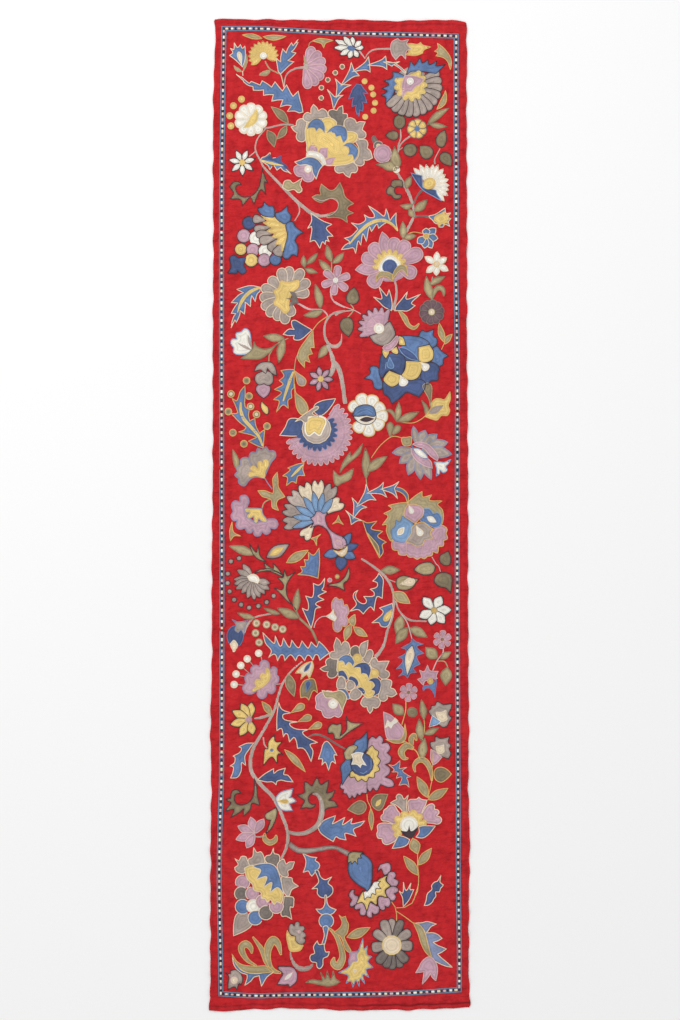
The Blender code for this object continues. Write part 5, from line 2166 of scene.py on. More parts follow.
def peacock_fan(sew):
    """A fan of heart-shaped petals over light blue ones, on a mauve neck."""
    for tip, thread, width in (((302.8, 538.2), "cream", 12.6), ((283.2, 524.1), "taupe", 13.4),
            ((283.2, 508.3), "taupe", 13.0), ((289.3, 493.3), "stem", 14.0),
            ((302.8, 483.6), "cream", 14.0), ((317.9, 480.0), "cream", 12.4),
            ((333.2, 484.8), "taupe", 13.2), ((341.8, 500.7), "cream", 13.8)):
        sew.rays("heart", (318.6, 518.4), (tip,), 8, width, thread, "dark")
    sew.rays("point", (318.6, 519.0), ((292.1, 528.0), (292.6, 516.5), (295.4, 506.3), (303.6, 496.6),
            (313.3, 491.2), (323.2, 492.5), (332.7, 498.1)),
            3.5, 6.8, "light_blue", "dark", edge_width=0.0014)
    sew.shape(((310.2, 527.7, 1), (313.5, 522.9), (310.7, 518.0, 1), (314.3, 515.5), (316.3, 511.4, 1),
            (319.9, 511.1), (322.7, 513.2), (327.8, 512.7, 1), (325.5, 517.2), (326.3, 522.9),
            (329.3, 528.7), (336.0, 533.8), (344.1, 537.7), (346.9, 544.5), (342.9, 548.9),
            (334.7, 549.6), (332.1, 544.5), (330.1, 535.9), (325.8, 529.0),
            (318.6, 525.4)), "mauve", "dark")
    sew.leaf((318.4, 524.6), (317.9, 513.9), 2.6, "pink")


def peacock_tail(sew):
    """Blue petals under a yellow flame, below the peacock fan's neck."""
    sew.leaf((337.8, 552.2), (323.2, 555.8), 9.6, "blue", "dark", form="bowl")
    sew.leaf((341.6, 556.0), (340.3, 570.8), 12.0, "dark_blue", "dark", form="bowl")
    sew.leaf((344, 553), (355.8, 558), 9.4, "blue", "dark", form="bowl")
    sew.leaf((343.6, 549), (358.6, 544.6), 8.4, "dark_blue", "dark", form="bowl")
    sew.leaf((342.8, 545), (351.6, 532.6), 8.4, "blue", "dark", form="bowl")
    sew.shape(((333.4, 550.2, 1), (339.8, 551.2), (346.7, 545.8), (346.7, 552.2), (342.3, 556.5),
            (337.8, 554.2)), "cream", "gold")
    sew.leaf((342.3, 549.6), (336.5, 540.5), 6.4, "yellow", "gold", form="drop")


def small_trefoils(sew):
    """Two small three-pointed leaves beside the peacock fan."""
    sew.shape(((338.5, 515.5, 1), (339.8, 519.8), (343.4, 524.6, 1), (337.8, 522.1), (332.4, 524.1, 1),
            (336.5, 520.3)), "khaki", "gold")
    sew.shape(((320.9, 534.1, 1), (317.1, 538.4), (316.6, 545.6, 1), (314.0, 540.2), (310.5, 538.2, 1),
            (315.4, 537.1)), "khaki", "gold")


def small_ribbed_saz(sew):
    """A small blue leaf with a yellow rib."""
    sew.shape(((304.1, 462.7, 1), (296.9, 464.4), (287.8, 468.0, 1), (290.3, 470.3), (282.7, 475.9, 1),
            (287.5, 477.4), (286.5, 485.6, 1), (292.1, 481.5), (296.2, 483.3, 1), (298.0, 475.9),
            (304.8, 475.7, 1), (302.8, 469.3)), "blue", "gold")
    sew.stem(((303.1, 464.7), (297.7, 470.3), (291.1, 476.9)), 1.0, 2.8, 1.0, thread="yellow")


def mid_left_leaves(sew):
    """A row of leaves across the left side, one with a yellow heart."""
    sew.leaf((254.6, 554.7), (229.3, 546.1), 8.4, "khaki", "olive", bend=-0.5)
    sew.shape(((266.1, 561.6, 1), (260.2, 555.8), (258.0, 544.5, 1), (256.1, 552.4), (249.0, 543.0, 1),
            (253.3, 554.2), (258.9, 559.6)), "khaki", "dark")
    sew.leaf((266.1, 557.8), (289.5, 544.0), 12.0, "taupe", "dark")
    sew.leaf((269.9, 555.3), (283.7, 547.3), 5.8, "yellow", "gold")
    sew.leaf((286.5, 562.7), (308.2, 550.2), 8.6, "khaki", "gold")
    sew.shape(((254.2, 572.9, 1), (259.9, 569.5), (265.3, 568.5), (263.8, 562.4, 1), (268.6, 566.2),
            (273.5, 568.5), (272.7, 562.9, 1), (278.3, 568.8), (282.7, 575.4, 1), (276.5, 571.8),
            (268.9, 570.6), (261.2, 571.6)), "khaki", "dark")


def blue_fan_leaf(sew):
    """A blue leaf of six points that opens upwards."""
    sew.shape(((319.1, 548.1, 1), (319.6, 562.4), (318.1, 578.2, 1), (308.4, 575.4), (297.7, 574.6, 1),
            (302.3, 571.6), (300.5, 566.7, 1), (305.4, 566.2), (304.3, 559.6, 1), (308.4, 559.8),
            (308.4, 552.2, 1), (312.8, 555.3), (315.6, 553.5)), "blue", "gold")
def ringed_half_daisy(sew):
    """A grey-brown half daisy with a ring of small dark dots around it."""
    sew.rays("point", (253.6, 579.4), ((242.6, 563.6), (236.6, 569.4), (233.4, 579.2), (233.4, 584.0),
            (235.2, 589.4), (241.1, 593.5), (247.4, 598.6), (254.2, 600.6), (259.9, 598.3),
            (265.1, 594.5), (269.9, 589.9), (270.4, 583.3)), 2.0, 6.8, "taupe", "dark", edge_width=0.0011)
    sew.shape(((247.4, 576.6, 1), (252.3, 574.1), (256.9, 575.6), (259.4, 579.9), (257.7, 583.5, 1),
            (253.6, 581.7), (250.0, 580.7)), "white", "cream")
    sew.discs(((227.8, 573.6), (227.6, 583.0), (229.6, 591.4), (234.2, 599.6), (241.1, 604.6),
            (249.1, 607.6), (258.4, 606.0), (266.7, 602.1), (273.6, 595.9), (231.0, 561.4),
            (239.0, 558.2)), 2.5, "taupe", "dark")


def left_thorny_vine(sew):
    """A thin vine with a thorny leaf above a fork of plain leaves."""
    sew.stem(((255.6, 572.2), (262, 570.2), (271, 570.4), (282.6, 575.6)),
            1.4, 2.4, 2.6, 2.2, thread="khaki", edge="dark")
    sew.shape(((284.4, 570.0), (287.2, 575.9), (295.2, 572.0, 1), (289.8, 578.7), (286.5, 585.6),
            (286.7, 593.7), (289.3, 600.4), (293.6, 606.0, 1), (286.7, 600.4), (279.3, 592.4),
            (273.5, 587.6, 1), (281.6, 589.9), (283.7, 585.6), (281.6, 581.7), (277.3, 577.4, 1),
            (283.2, 577.1)), "khaki", "dark")
    sew.stem(((289.3, 600.6), (295.9, 609.8)), 1.2, thread="dark")
    sew.stem(((295.9, 609.5), (299.0, 617.4), (305.1, 623.3), (311.5, 629.9), (314.8, 636.3),
            (317.3, 643.0)), 1.0, 1.6, 1.6, 1.6, 1.8, 1.0, thread="khaki", edge="olive")
    sew.leaves((((295.9, 612.1), (298.0, 588.9), 7.0, 0.3), ((299.0, 618.0),
            (277.3, 608.0), 8.4, 0.3)), "khaki", "olive")
    sew.leaves((((280.1, 613.9), (264.3, 608.3), 4.4, 0.6), ((255.1, 618.2),
            (237.5, 612.9), 5.2, 0.6)), "khaki", "olive")


def drooping_blue_bud(sew):
    """A blue bud with a cream tip, hanging from a bent stem."""
    sew.stem(((280.1, 613.6), (268.9, 614.1), (256.1, 616.9), (250.0, 621.5), (246.7, 626.1),
            (244.4, 633.5)), 1.6, 2.2, 2.0, 2.4, 3.0, 1.6, thread="stem")
    sew.shape(((233.4, 626.1), (228.3, 631.0), (227.3, 637.6), (230.1, 644.0), (238.3, 646.0),
            (242.1, 641.4), (243.6, 633.8), (240.6, 627.7)), "dark_blue", "blue")
    sew.shape(((229.6, 644.0, 1), (234.2, 639.6), (238.3, 644.5, 1), (237.2, 648.3), (233.7, 653.7, 1),
            (231.1, 648.6)), "cream")
    sew.shape(((231.9, 619.1, 1), (238.3, 621.8), (248.2, 620.3, 1), (244.9, 626.9), (244.1, 635.3, 1),
            (241.1, 629.9), (238.3, 633.0, 1), (234.7, 629.9),
            (236.0, 624.8)), "taupe", "slate", edge_width=0.0014)


def left_rings(sew):
    """Small cream rings above the long blue leaf."""
    places = ((256.4, 623.2), (266.6, 624.5), (275.0, 627.1), (282.7, 629.1), (255.6, 633.0),
            (259.1, 642.4))
    sew.discs(places, 3.5, "cream", "khaki")
    sew.discs(places, 1.7, "khaki")


def left_blue_saz_pair(sew):
    """An upright and a lying blue saw-edged leaf."""
    sew.shape(((311.2, 628.4, 1), (306.9, 618.5), (302.3, 608.3, 1), (307.9, 610.1), (308.4, 603.4),
            (305.7, 596.0, 1), (312.2, 597.3), (313.8, 590.4), (313.3, 583.3, 1), (318.1, 585.3),
            (321.4, 583.3), (324.7, 578.2, 1), (323.7, 586.6), (321.9, 589.9), (326.5, 591.7, 1),
            (321.2, 594.2), (318.1, 596.3), (324.0, 599.6, 1), (317.6, 601.9), (315.6, 604.4),
            (320.7, 607.4, 1), (315.6, 609.0), (313.8, 618.5)), "dark_blue", "cream")
    sew.shape(((262.8, 632.5, 1), (268.9, 638.9), (274.5, 643.5), (275.3, 635.8, 1), (279.3, 645.3),
            (281.6, 645.5), (283.5, 638.1, 1), (288.0, 646.3), (290.3, 646.8), (291.8, 640.2, 1),
            (296.9, 647.0), (299.5, 647.3), (302.0, 640.9, 1), (306.9, 647.3), (308.7, 647.8),
            (311.2, 642.1, 1), (316.1, 646.8), (317.1, 646.3), (318.9, 641.4, 1), (323.7, 645.8),
            (329.5, 652.9, 1), (324.4, 656.5), (319.9, 660.1, 1), (318.1, 655.2), (315.1, 654.9),
            (312.9, 660.1, 1), (309.9, 655.7), (307.1, 655.5), (304.6, 660.6, 1), (301.0, 655.7),
            (298.0, 655.7), (295.7, 660.6, 1), (292.1, 655.5), (289.3, 655.2), (284.8, 660.6, 1),
            (283.5, 655.2), (280.4, 655.2), (277.6, 660.8, 1), (276.0, 655.2), (273.0, 654.2),
            (268.6, 657.5, 1), (271.4, 650.6), (265.6, 643.0)), "blue", "cream")


def butterfly_blossom(sew):
    """A mauve two-winged blossom with a white calyx."""
    sew.stem(((314.0, 627.7), (316.1, 621.5), (321.4, 616.9), (328.1, 616.2)), 1.0, thread="pink")
    sew.shape(((335.4, 597.2), (331.8, 602.4), (332.0, 609.4), (335.4, 614.2, 1), (333.0, 620),
            (333.2, 628.6), (337.2, 632.2), (341.2, 629.8), (342.2, 625.8, 1), (345.6, 626.6),
            (348.8, 621.2), (346.8, 616.4, 1), (349.2, 611.6), (347.2, 604.8), (344.0, 605.4, 1),
            (342.4, 599.2), (339.0, 599.6, 1)), "mauve", "gold", edge_width=0.0013)
    sew.shape(((326.3, 616.2, 1), (330.6, 613.4), (333.7, 609.0, 1), (333.9, 613.9), (336.5, 617.4),
            (334.7, 621.0, 1), (331.4, 619.5)), "white", "cream")


def mauve_pin_flower(sew):
    """A scalloped mauve flower with five white pins and a yellow crescent."""
    for start, end in (((261.0, 656.2), (262.2, 661.3)), ((250.0, 661.6), (253.3, 665.7)),
            ((243.4, 668.0), (249.5, 673.3)), ((239.0, 675.4), (244.6, 676.4)), ((237.5, 684.5),
            (243.6, 685.1)), ((275.5, 684.5), (280.6, 683.8))):
        sew.line((start, end), "stem", 0.0016)
    sew.discs(((258.7, 653.2), (247.3, 658.8), (240.8, 665.4), (236.1, 674.0),
            (234.2, 684.5)), 3.4, "white", "cream")
    sew.shape(((259.4, 665.9, 1), (260.5, 661.6), (264.8, 660.1), (268.9, 662.6), (269.9, 669.0, 1),
            (273.5, 666.4), (277.3, 669.0), (276.8, 674.6, 1), (279.1, 677.4), (278.1, 682.5),
            (275.3, 684.3, 1), (275.8, 689.9), (271.9, 694.0), (267.3, 692.2, 1), (266.1, 696.8),
            (261.7, 698.8), (257.4, 695.8), (257.1, 690.9, 1), (251.3, 694.2), (244.6, 692.7),
            (242.6, 687.1), (245.7, 682.5, 1), (244.6, 677.4), (247.2, 673.1), (251.3, 673.8, 1),
            (250.5, 668.5), (254.8, 664.9)), "mauve", "slate", edge_width=0.0013)
    sew.shape(((265.6, 668.5, 1), (269.1, 669.2), (270.2, 678.4), (264.3, 685.8), (253.6, 691.7, 1),
            (252.3, 689.6), (256.1, 686.3, 1), (254.6, 682.5), (256.6, 678.9), (261.2, 679.7, 1),
            (259.9, 675.9), (262.2, 672.8), (265.3, 674.1, 1)), "yellow", "gold", edge_width=0.0012)


def left_hanging_tulips(sew):
    """A cream tulip above a grey-green one, each with a blue lens."""
    sew.leaf((288.0, 673.6), (294.1, 696.3), 9.6, "olive", "khaki", bend=-0.3)
    sew.shape(((312.2, 661.3, 1), (313.5, 667.2), (309.4, 678.9, 1), (306.6, 674.6), (300.8, 679.3, 1),
            (301.5, 673.6), (295.4, 673.1, 1), (300.5, 666.9), (306.1, 663.1)), "cream", "gold")
    sew.leaf((304.3, 671.5), (310.7, 662.6), 3.2, "dark_blue", "blue")
    sew.shape(((308.4, 679.2), (314.5, 679.9), (317.6, 692.7, 1), (313.0, 690.4), (308.8, 700.1, 1),
            (305.9, 697.0), (300.8, 697.6, 1), (300.3, 688.6), (303.6, 681.5)), "olive", "gold")
    sew.leaf((306.9, 691.9), (308.7, 680.7), 4.6, "dark_blue", "blue", form="drop")


def left_yellow_flowers(sew):
    """A yellow six-petal flower and a yellow star, both outlined in a dark thread."""
    sew.stem(((254.1, 718.5), (261.5, 717.4), (272.4, 713.9)), 1.6, 3.4, 3.0, thread="stem")
    sew.leaf((271.7, 714.9), (262.0, 701.6), 6.4, "khaki", "gold", bend=-0.4)
    sew.rays("point", (250.0, 719.5), ((251.5, 701.9), (241.1, 703.0), (232.1, 710.6), (230.1, 724.6),
            (239.5, 736.1), (252.8, 734.8)), 1.6, 8.8, "yellow", "dark")
    sew.disc((249.0, 719.5), 3.4, "mauve")
    sew.stem(((263.3, 737.1), (264.5, 744.7), (268.4, 749.1)), 1.8, thread="stem")
    sew.shape(((274.4, 734.5, 1), (275.5, 741.4), (282.4, 741.4, 1), (277.3, 748.6), (283.2, 754.4, 1),
            (277.8, 754.4), (277.0, 763.5, 1), (271.4, 757.0), (263.1, 765.7, 1), (264.5, 749.8),
            (267.9, 748.6), (268.4, 741.7)), "yellow", "dark")
    sew.disc((271.7, 750.1), 1.8, "blue")


def main_left_stem(sew):
    """The broad pale stem that sweeps down the near left."""
    sew.stem(((302.8, 661.1), (291.3, 671.0), (282.4, 683.8), (277.8, 697.6), (274.0, 710.8),
            (263.8, 729.9), (254.8, 745.3), (251.0, 756.5), (250.9, 769.3), (254.8, 777.2),
            (263.0, 786.8), (272.2, 796.0), (278.0, 806.3), (283.6, 819.2), (287.0, 829.4),
            (287.9, 838.6), (285.6, 849.7), (281.0, 859.0)),
            1.8, 2.6, 3.2, 3.6, 4.2, 4.4, 4.2, 4.0, 3.8, 3.6, 2.8, thread="stem")


def lower_left_saz(sew):
    """A dark blue saw-edged leaf with three small buds at its teeth."""
    sew.shape(((278.6, 702.4, 1), (282.1, 709.5), (291.1, 712.9, 1), (283.2, 714.4), (283.4, 718.7),
            (288.8, 720.8), (298.0, 721.8, 1), (289.8, 723.3), (291.8, 726.9), (298.2, 729.4),
            (308.2, 729.4, 1), (302.6, 732.2), (306.6, 737.1), (317.6, 742.4, 1), (309.9, 744.7),
            (313.0, 751.1), (311.2, 761.6, 1), (306.9, 752.4), (302.8, 748.1), (297.6, 748.2, 1),
            (296.4, 741.2), (293.9, 737.3), (289.5, 741.8, 1), (288.0, 734.8), (285.5, 733.5),
            (283.5, 736.7, 1), (281.6, 728.4), (276.9, 730.5, 1), (277.0, 716.7)), "dark_blue", "cream")
    sew.leaves((((290.8, 712.9), (304.3, 704.7), 7.2, 0.2), ((297.7, 721.8),
            (311.5, 716.4), 6.8, 0.2), ((308.2, 729.4), (321.7, 723.8), 6.8, 0.2)),
            "khaki", "gold", form="drop")


def blue_side_saz(sew):
    """A small blue saw-edged leaf beside the main stem."""
    sew.shape(((253.6, 743.0, 1), (246.2, 743.5), (238.8, 746.8, 1), (241.6, 748.3), (239.8, 752.4),
            (233.2, 756.0, 1), (235.2, 757.8), (234.4, 762.9), (230.1, 765.9, 1), (233.4, 766.9),
            (233.0, 772.0), (230.6, 778.0, 1), (237.4, 777.2), (241.2, 770.6), (241.6, 762.6),
            (245.7, 765.2, 1), (244.9, 756.2), (249.2, 749.1)), "blue", "cream")


def hanging_blue_tulip(sew):
    """A blue tulip that hangs from a thin grey stem."""
    sew.leaf((284.6, 749.6), (305.4, 771.8), 6.4, "khaki", "gold", bend=0.6)
    sew.stem(((307.4, 737.1), (314.8, 734.5), (323.2, 736.1), (333.2, 741.9), (340.3, 746.3),
            (346.5, 749.4)), 1.0, 2.6, 2.6, 2.6, 2.2, 1.4, thread="grey")
    sew.shape(((326.8, 741.2), (331.9, 746.5), (337.0, 755.2, 1), (333.9, 755.2), (335.7, 763.6, 1),
            (331.6, 761.6), (328.6, 770.3, 1), (325.5, 762.1), (321.9, 764.9, 1), (322.4, 759.0),
            (318.4, 759.0, 1), (321.2, 751.1), (323.0, 744.5)), "blue", "cream")
    sew.shape(((334.6, 738.8, 1), (333.0, 733.2), (328.2, 733.4, 1), (328.4, 727.6), (332.4, 723.8),
            (336.6, 724.8), (341.2, 722.8, 1), (341.8, 729.0), (340.0, 736.2, 1), (346.6, 729.2),
            (346.0, 715.8, 1), (350.4, 722.0), (363.6, 723.2, 1), (355.0, 728.2), (347.4, 733.2),
            (340.4, 738.8)), "khaki", "dark")


def left_palmette_blossom(sew):
    """A small mauve blossom below the near palmette, with a leaf over it."""
    sew.shape(((327.4, 690.6, 1), (320.4, 692.6), (315.6, 697.2), (316.4, 703.0, 1), (315.8, 708.4),
            (321.4, 710.6, 1), (324.0, 716.6), (329.8, 718.0), (334.4, 715.8, 1), (339.4, 717.2),
            (342.6, 711.8), (341.2, 706.4, 1), (343.8, 699.0),
            (339.0, 693.0)), "mauve", "white", edge_width=0.0013)
    sew.disc((333.0, 703.8), 4.6, "white", "cream")
    sew.shape(((322.0, 690.4, 1), (332.0, 692.0), (341.6, 690.6), (346.6, 697.6), (343.6, 706.8),
            (342.2, 711.8, 1), (338.6, 702.8), (333.0, 698.2), (325.6, 697.4)), "khaki", "cream")


# The near half's motifs, right


def white_scalloped_flower(sew):
    """A white flower of eight round petals with a blue shell and a dark lens at its heart."""
    sew.disc((368.8, 416.4), 13, "white")
    sew.rays("round", (368.8, 415.7), ((349.3, 403.7), (359.5, 394.0), (373.8, 395.1), (384.0, 405.0),
            (387.8, 416.5), (382.4, 428.2), (368.8, 436.6), (355.2, 431.3)), 4, 12.4, "white", "gold")
    sew.shape(((353.1, 416.2, 1), (360.5, 416.2), (368.4, 415.2), (373.3, 416.2), (375.8, 413.9),
            (375.3, 419.8), (369.7, 424.1), (362.3, 424.1), (356.4, 420.6)), "white", "dark")
    sew.shape(((352.3, 415.7, 1), (356.2, 407.8), (365.4, 404.7), (373.3, 407.3), (375.8, 413.9),
            (373.3, 416.7), (365.6, 415.2), (358.7, 416.5)), "blue", "dark")
    for vein in (
        ((355.4, 413.4), (360.5, 409.6), (366.9, 408.3), (372.8, 411.9)),
        ((357.4, 414.7), (362.3, 411.9), (367.1, 410.9), (371.5, 413.7)),
    ):
        sew.line(vein, "light_blue", width=0.0013)
    sew.leaf((359.0, 420.1), (375.1, 418.8), 5.8, "dark", "cream")


def mid_right_sprig(sew):
    """Leaves on a thin gold stem beside the white flower."""
    sew.stem(((396.7, 421.6), (411.5, 423.1), (419.7, 420.1), (425.3, 416.0)), 0.9, thread="gold")
    sew.shape(((383.5, 410.4, 1), (389.8, 409.3), (393.9, 412.7), (396.7, 421.8, 1), (392.1, 414.7),
            (389.1, 412.1)), "khaki", "olive")
    sew.leaves((((396.5, 421.6), (398.8, 402.4), 6.0, -0.5), ((397.0, 421.6),
            (418.9, 411.6), 7.4, -0.6)), "khaki", "olive")


def yellow_lobed_flower(sew):
    """A yellow lobed flower with a grey-brown lens, and the leaves behind it."""
    sew.shape(((430.2, 407.3, 1), (428.9, 399.1), (423.0, 387.9), (423.8, 384.3), (428.1, 383.1),
            (431.6, 386.4), (431.7, 394.3)), "olive", "khaki")
    sew.shape(((425.8, 416.5, 1), (424.3, 409.3), (421.6, 400.4, 1), (426.3, 404.7), (429.1, 410.1),
            (429.4, 413.4)), "khaki", "olive")
    sew.shape(((424.8, 416.5, 1), (430.9, 408.3), (431.4, 403.0), (435.5, 398.9), (440.9, 398.9),
            (444.9, 399.4), (449.9, 391.7, 1), (450.4, 399.1), (448.3, 405.5), (449.8, 410.6),
            (447.2, 415.5), (441.4, 415.7), (437.0, 420.1), (431.7, 419.0)), "yellow", "gold")
    sew.leaf((428.4, 413.9), (443.4, 405.3), 7.0, "taupe")


def heart_leaf_vine(sew):
    """A thin gold vine with two leaves like a heart."""
    sew.stem(((371.4, 457.8), (379.6, 446.3), (389.6, 437.7), (395.7, 436.4),
            (402.6, 438.2)), 0.9, thread="gold")
    sew.leaf((389.8, 436.9), (390.1, 422.3), 6.6, "khaki", "olive", form="drop")
    sew.leaf((390.1, 436.9), (399.8, 425.7), 6.6, "khaki", "olive", form="drop")


def spiky_taupe_flower(sew):
    """A spiky grey-brown flower with mauve and white lenses."""
    for tip, width in (((413.3, 426.4), 6.6), ((425.1, 430.5), 10.4), ((437.0, 434.3), 9.6),
            ((447.8, 442.2), 10.4), ((451.8, 454.2), 11.4), ((392.4, 452.7), 8.8),
            ((399.3, 463.2), 9.2), ((408.2, 474.9), 9.8), ((420.5, 479.5), 9.4), ((431.2, 479.5), 9.0)):
        sew.rays("point", (417.9, 448.9), (tip,), 5, width, "taupe", "slate")
    sew.shape(((412.6, 444.3, 1), (418.2, 442.0), (427.1, 443.8), (433.7, 449.6), (438.1, 456.5),
            (437.3, 460.9, 1), (430.2, 455.8), (424.3, 448.9), (417.9, 446.8)), "mauve", "pink")
    sew.shape(((411.3, 444.5, 1), (411.5, 453.0), (416.6, 460.6), (424.3, 465.7), (432.3, 468.3, 1),
            (430.9, 461.6), (424.8, 456.5), (416.6, 451.4)), "mauve", "pink")
    sew.shape(((412.4, 447.9, 1), (419.4, 448.9), (425.8, 454.0), (428.1, 458.3, 1), (423.0, 458.1),
            (416.6, 454.2)), "white", "slate")
    sew.shape(((401.8, 437.9), (406.4, 437.4), (411.3, 436.9), (411.5, 441.2), (410.5, 445.3),
            (404.6, 445.8), (402.1, 442.8)), "khaki", "gold")
    sew.disc((412.0, 446.1), 1.4, "blue")


def white_trefoil(sew):
    """A small white trefoil edged in pale blue."""
    sew.shape(((434.2, 461.9, 1), (440.4, 461.9), (444.2, 462.4), (450.8, 459.3, 1), (448.0, 464.2),
            (445.7, 466.7), (447.5, 470.1), (443.4, 472.9), (439.8, 470.1), (439.6, 473.4),
            (436.1, 476.2, 1), (436.7, 469.3)), "white", "light_blue")


def mid_leaf_sprays(sew):
    """Forked leaves across the middle of the runner."""
    sew.stem(((366.1, 478.5), (366.9, 486.6)), 1.0, thread="khaki")
    sew.leaf((366.1, 479.0), (365.4, 447.9), 8.0, "khaki", "olive", bend=-0.5)
    sew.leaf((367.1, 472.1), (387.0, 456.5), 8.8, "khaki", "olive", bend=1.0)
    sew.shape(((339.8, 472.9, 1), (342.7, 462.9), (350.1, 451.7, 1), (351.6, 456.3), (362.6, 443.5, 1),
            (360.0, 453.0), (351.6, 460.6), (344.2, 467.2)), "khaki", "olive")
    sew.shape(((333.4, 470.4, 1), (340.6, 475.6), (353.6, 468.4, 1), (350.4, 478.6), (341, 483.6),
            (336.4, 486.8, 1), (333.6, 480)), "khaki", "olive")


def near_thorny_vine(sew):
    """A blue vine of paired thorns that runs to the pansy."""
    sew.stem(((392.4, 487.9), (401.3, 490.5), (406.4, 495.3),
            (407.8, 502.4)), 3.4, 4.0, 3.4, 0.8, thread="blue", edge="gold")
    sew.arrow((351.3, 524.6), (345.6, 510.4), (354.4, 517.5), (362.3, 520.6))
    sew.arrow((352.9, 519.0), (352.0, 497.7), (358.0, 504.0), (367.1, 507.3))
    sew.arrow((356.4, 507.0), (366.1, 484.1), (369.2, 492.5), (376.1, 500.2))
    sew.arrow((366.6, 493.3), (383.5, 482.3), (382.4, 488.7), (386.9, 497.3))
    sew.arrow((380.4, 489.2), (399.0, 481.5), (394.4, 488.4), (397.6, 498.6))


def dark_saw_leaf(sew):
    """A dark blue saw-edged leaf with an olive stripe."""
    sew.shape(((362.6, 520.6, 1), (367.7, 522.9), (377.0, 521.1, 1), (371.2, 528.7), (382.7, 531.3, 1),
            (377.6, 536.4), (386.3, 542.2, 1), (382.2, 544.8), (383.1, 552.2), (379.4, 557.8, 1),
            (374.3, 547.6), (367.9, 535.9)), "dark_blue", "gold")
    sew.shape(((367.1, 532.6, 1), (372.0, 538.2), (378.1, 545.8), (379.9, 556.5, 1),
            (374.0, 546.3)), "olive", "gold")


def pansy(sew):
    """A pansy: four lobed petals with white drops, mauve scallops below and saw leaves above."""
    sew.shape(((407.4, 502.4, 1), (398.8, 503.2), (388.3, 505.5, 1), (391.9, 509.1), (384.0, 513.4, 1),
            (388.1, 516.5), (382.3, 524.9, 1), (387.0, 524.9), (386.5, 531.8), (391.1, 541.0),
            (396.5, 533.1), (403.9, 519.0), (406.4, 512.7)), "khaki", "gold")
    sew.shape(((407.4, 502.4, 1), (415.4, 495.8), (422.0, 491.5, 1), (422.8, 497.1), (431.6, 494.8, 1),
            (429.6, 500.4), (442.1, 500.9, 1), (437.6, 504.5), (442.4, 510.1), (443.3, 519.0),
            (439.8, 526.2), (432.2, 515.5), (424.3, 508.8), (415.4, 507.6)), "khaki", "gold")
    sew.shape(((392.7, 541.0), (391.9, 546.6), (393.4, 549.9), (398.0, 550.4, 1), (399.0, 554.5),
            (404.9, 555.3), (406.4, 554.5, 1), (409.5, 557.3), (413.3, 557.0, 1), (417.1, 559.3),
            (420.7, 557.3, 1), (424.5, 558.8), (427.3, 556.3, 1), (431.9, 555.5), (433.0, 551.4, 1),
            (437.6, 553.0), (438.6, 546.6, 1), (443.4, 545.8), (443.4, 540.5, 1), (447.5, 538.7),
            (446.0, 533.3, 1), (447.2, 529.0), (442.4, 525.4), (435.8, 526.2), (429.4, 533.1),
            (414.1, 540.7), (401.3, 539.4)), "mauve", "gold")
    for start, end in (((406.4, 543.3), (406.7, 553.7)), ((415.4, 544.5), (413.6, 556.5)),
            ((423.0, 543.3), (421.0, 556.8)), ((430.7, 538.2), (433.0, 550.9)), ((433.2, 533.1),
            (438.6, 546.1))):
        sew.line((start, end), "pink", width=0.0011)
    sew.shape(((402.3, 516.2, 1), (409.0, 520.1), (413.1, 524.1), (411.8, 533.1), (408.0, 540.7),
            (400.3, 542.2), (393.2, 539.2), (391.1, 530.5), (394.7, 526.7), (396.0, 520.1, 1),
            (399.8, 521.8)), "light_blue", "blue")
    sew.leaf((397.8, 534.8), (404.1, 527.4), 5.6, "cream", "white")
    sew.shape(((419.7, 505.5, 1), (424.3, 508.8), (429.4, 508.8), (433.2, 513.7, 1), (438.3, 512.9),
            (441.8, 519.0), (439.8, 525.4), (434.5, 527.4), (428.1, 524.6), (421.7, 521.8),
            (419.2, 516.5)), "blue", "light_blue")
    sew.leaf((427.1, 517.0), (436.0, 522.1), 5.4, "white", "cream")
    sew.shape(((408.0, 504.2, 1), (416.6, 504.7), (423.3, 508.8), (422.8, 515.5), (419.4, 519.0),
            (415.4, 523.6, 1), (408.7, 519.3), (404.1, 515.5), (405.2, 508.8)), "mauve", "gold")
    sew.leaf((408.5, 504.5), (412.6, 513.7), 5.6, "white", "pink", form="drop")
    sew.shape(((415.6, 523.9, 1), (423.0, 522.1), (429.1, 526.4), (432.8, 529.0, 1), (430.2, 533.1),
            (432.2, 538.4), (424.5, 540.2), (423.0, 544.5), (416.6, 546.1), (411.5, 543.5),
            (406.2, 541.5), (411.3, 533.6), (411.5, 528.0)), "taupe", "gold")
    sew.leaf((416.1, 525.7), (421.7, 535.6), 6.4, "white", "cream", form="drop")


def near_round_leaves(sew):
    """Round olive leaves on thin stems under the pansy."""
    sew.stem(((431.9, 556.8), (436.0, 563.7), (438.6, 566.2), (440.4, 571.6)), 1.0, thread="pink")
    sew.shape(((448.3, 550.9, 1), (450.8, 557.3), (449.8, 564.4), (444.7, 565.5), (439.6, 561.6),
            (440.1, 555.5)), "olive", "dark")
    sew.shape(((413.8, 569.5, 1), (419.2, 564.2), (429.4, 562.1), (435.0, 566.7), (432.4, 573.4),
            (424.3, 574.9), (417.9, 572.9)), "khaki", "dark")


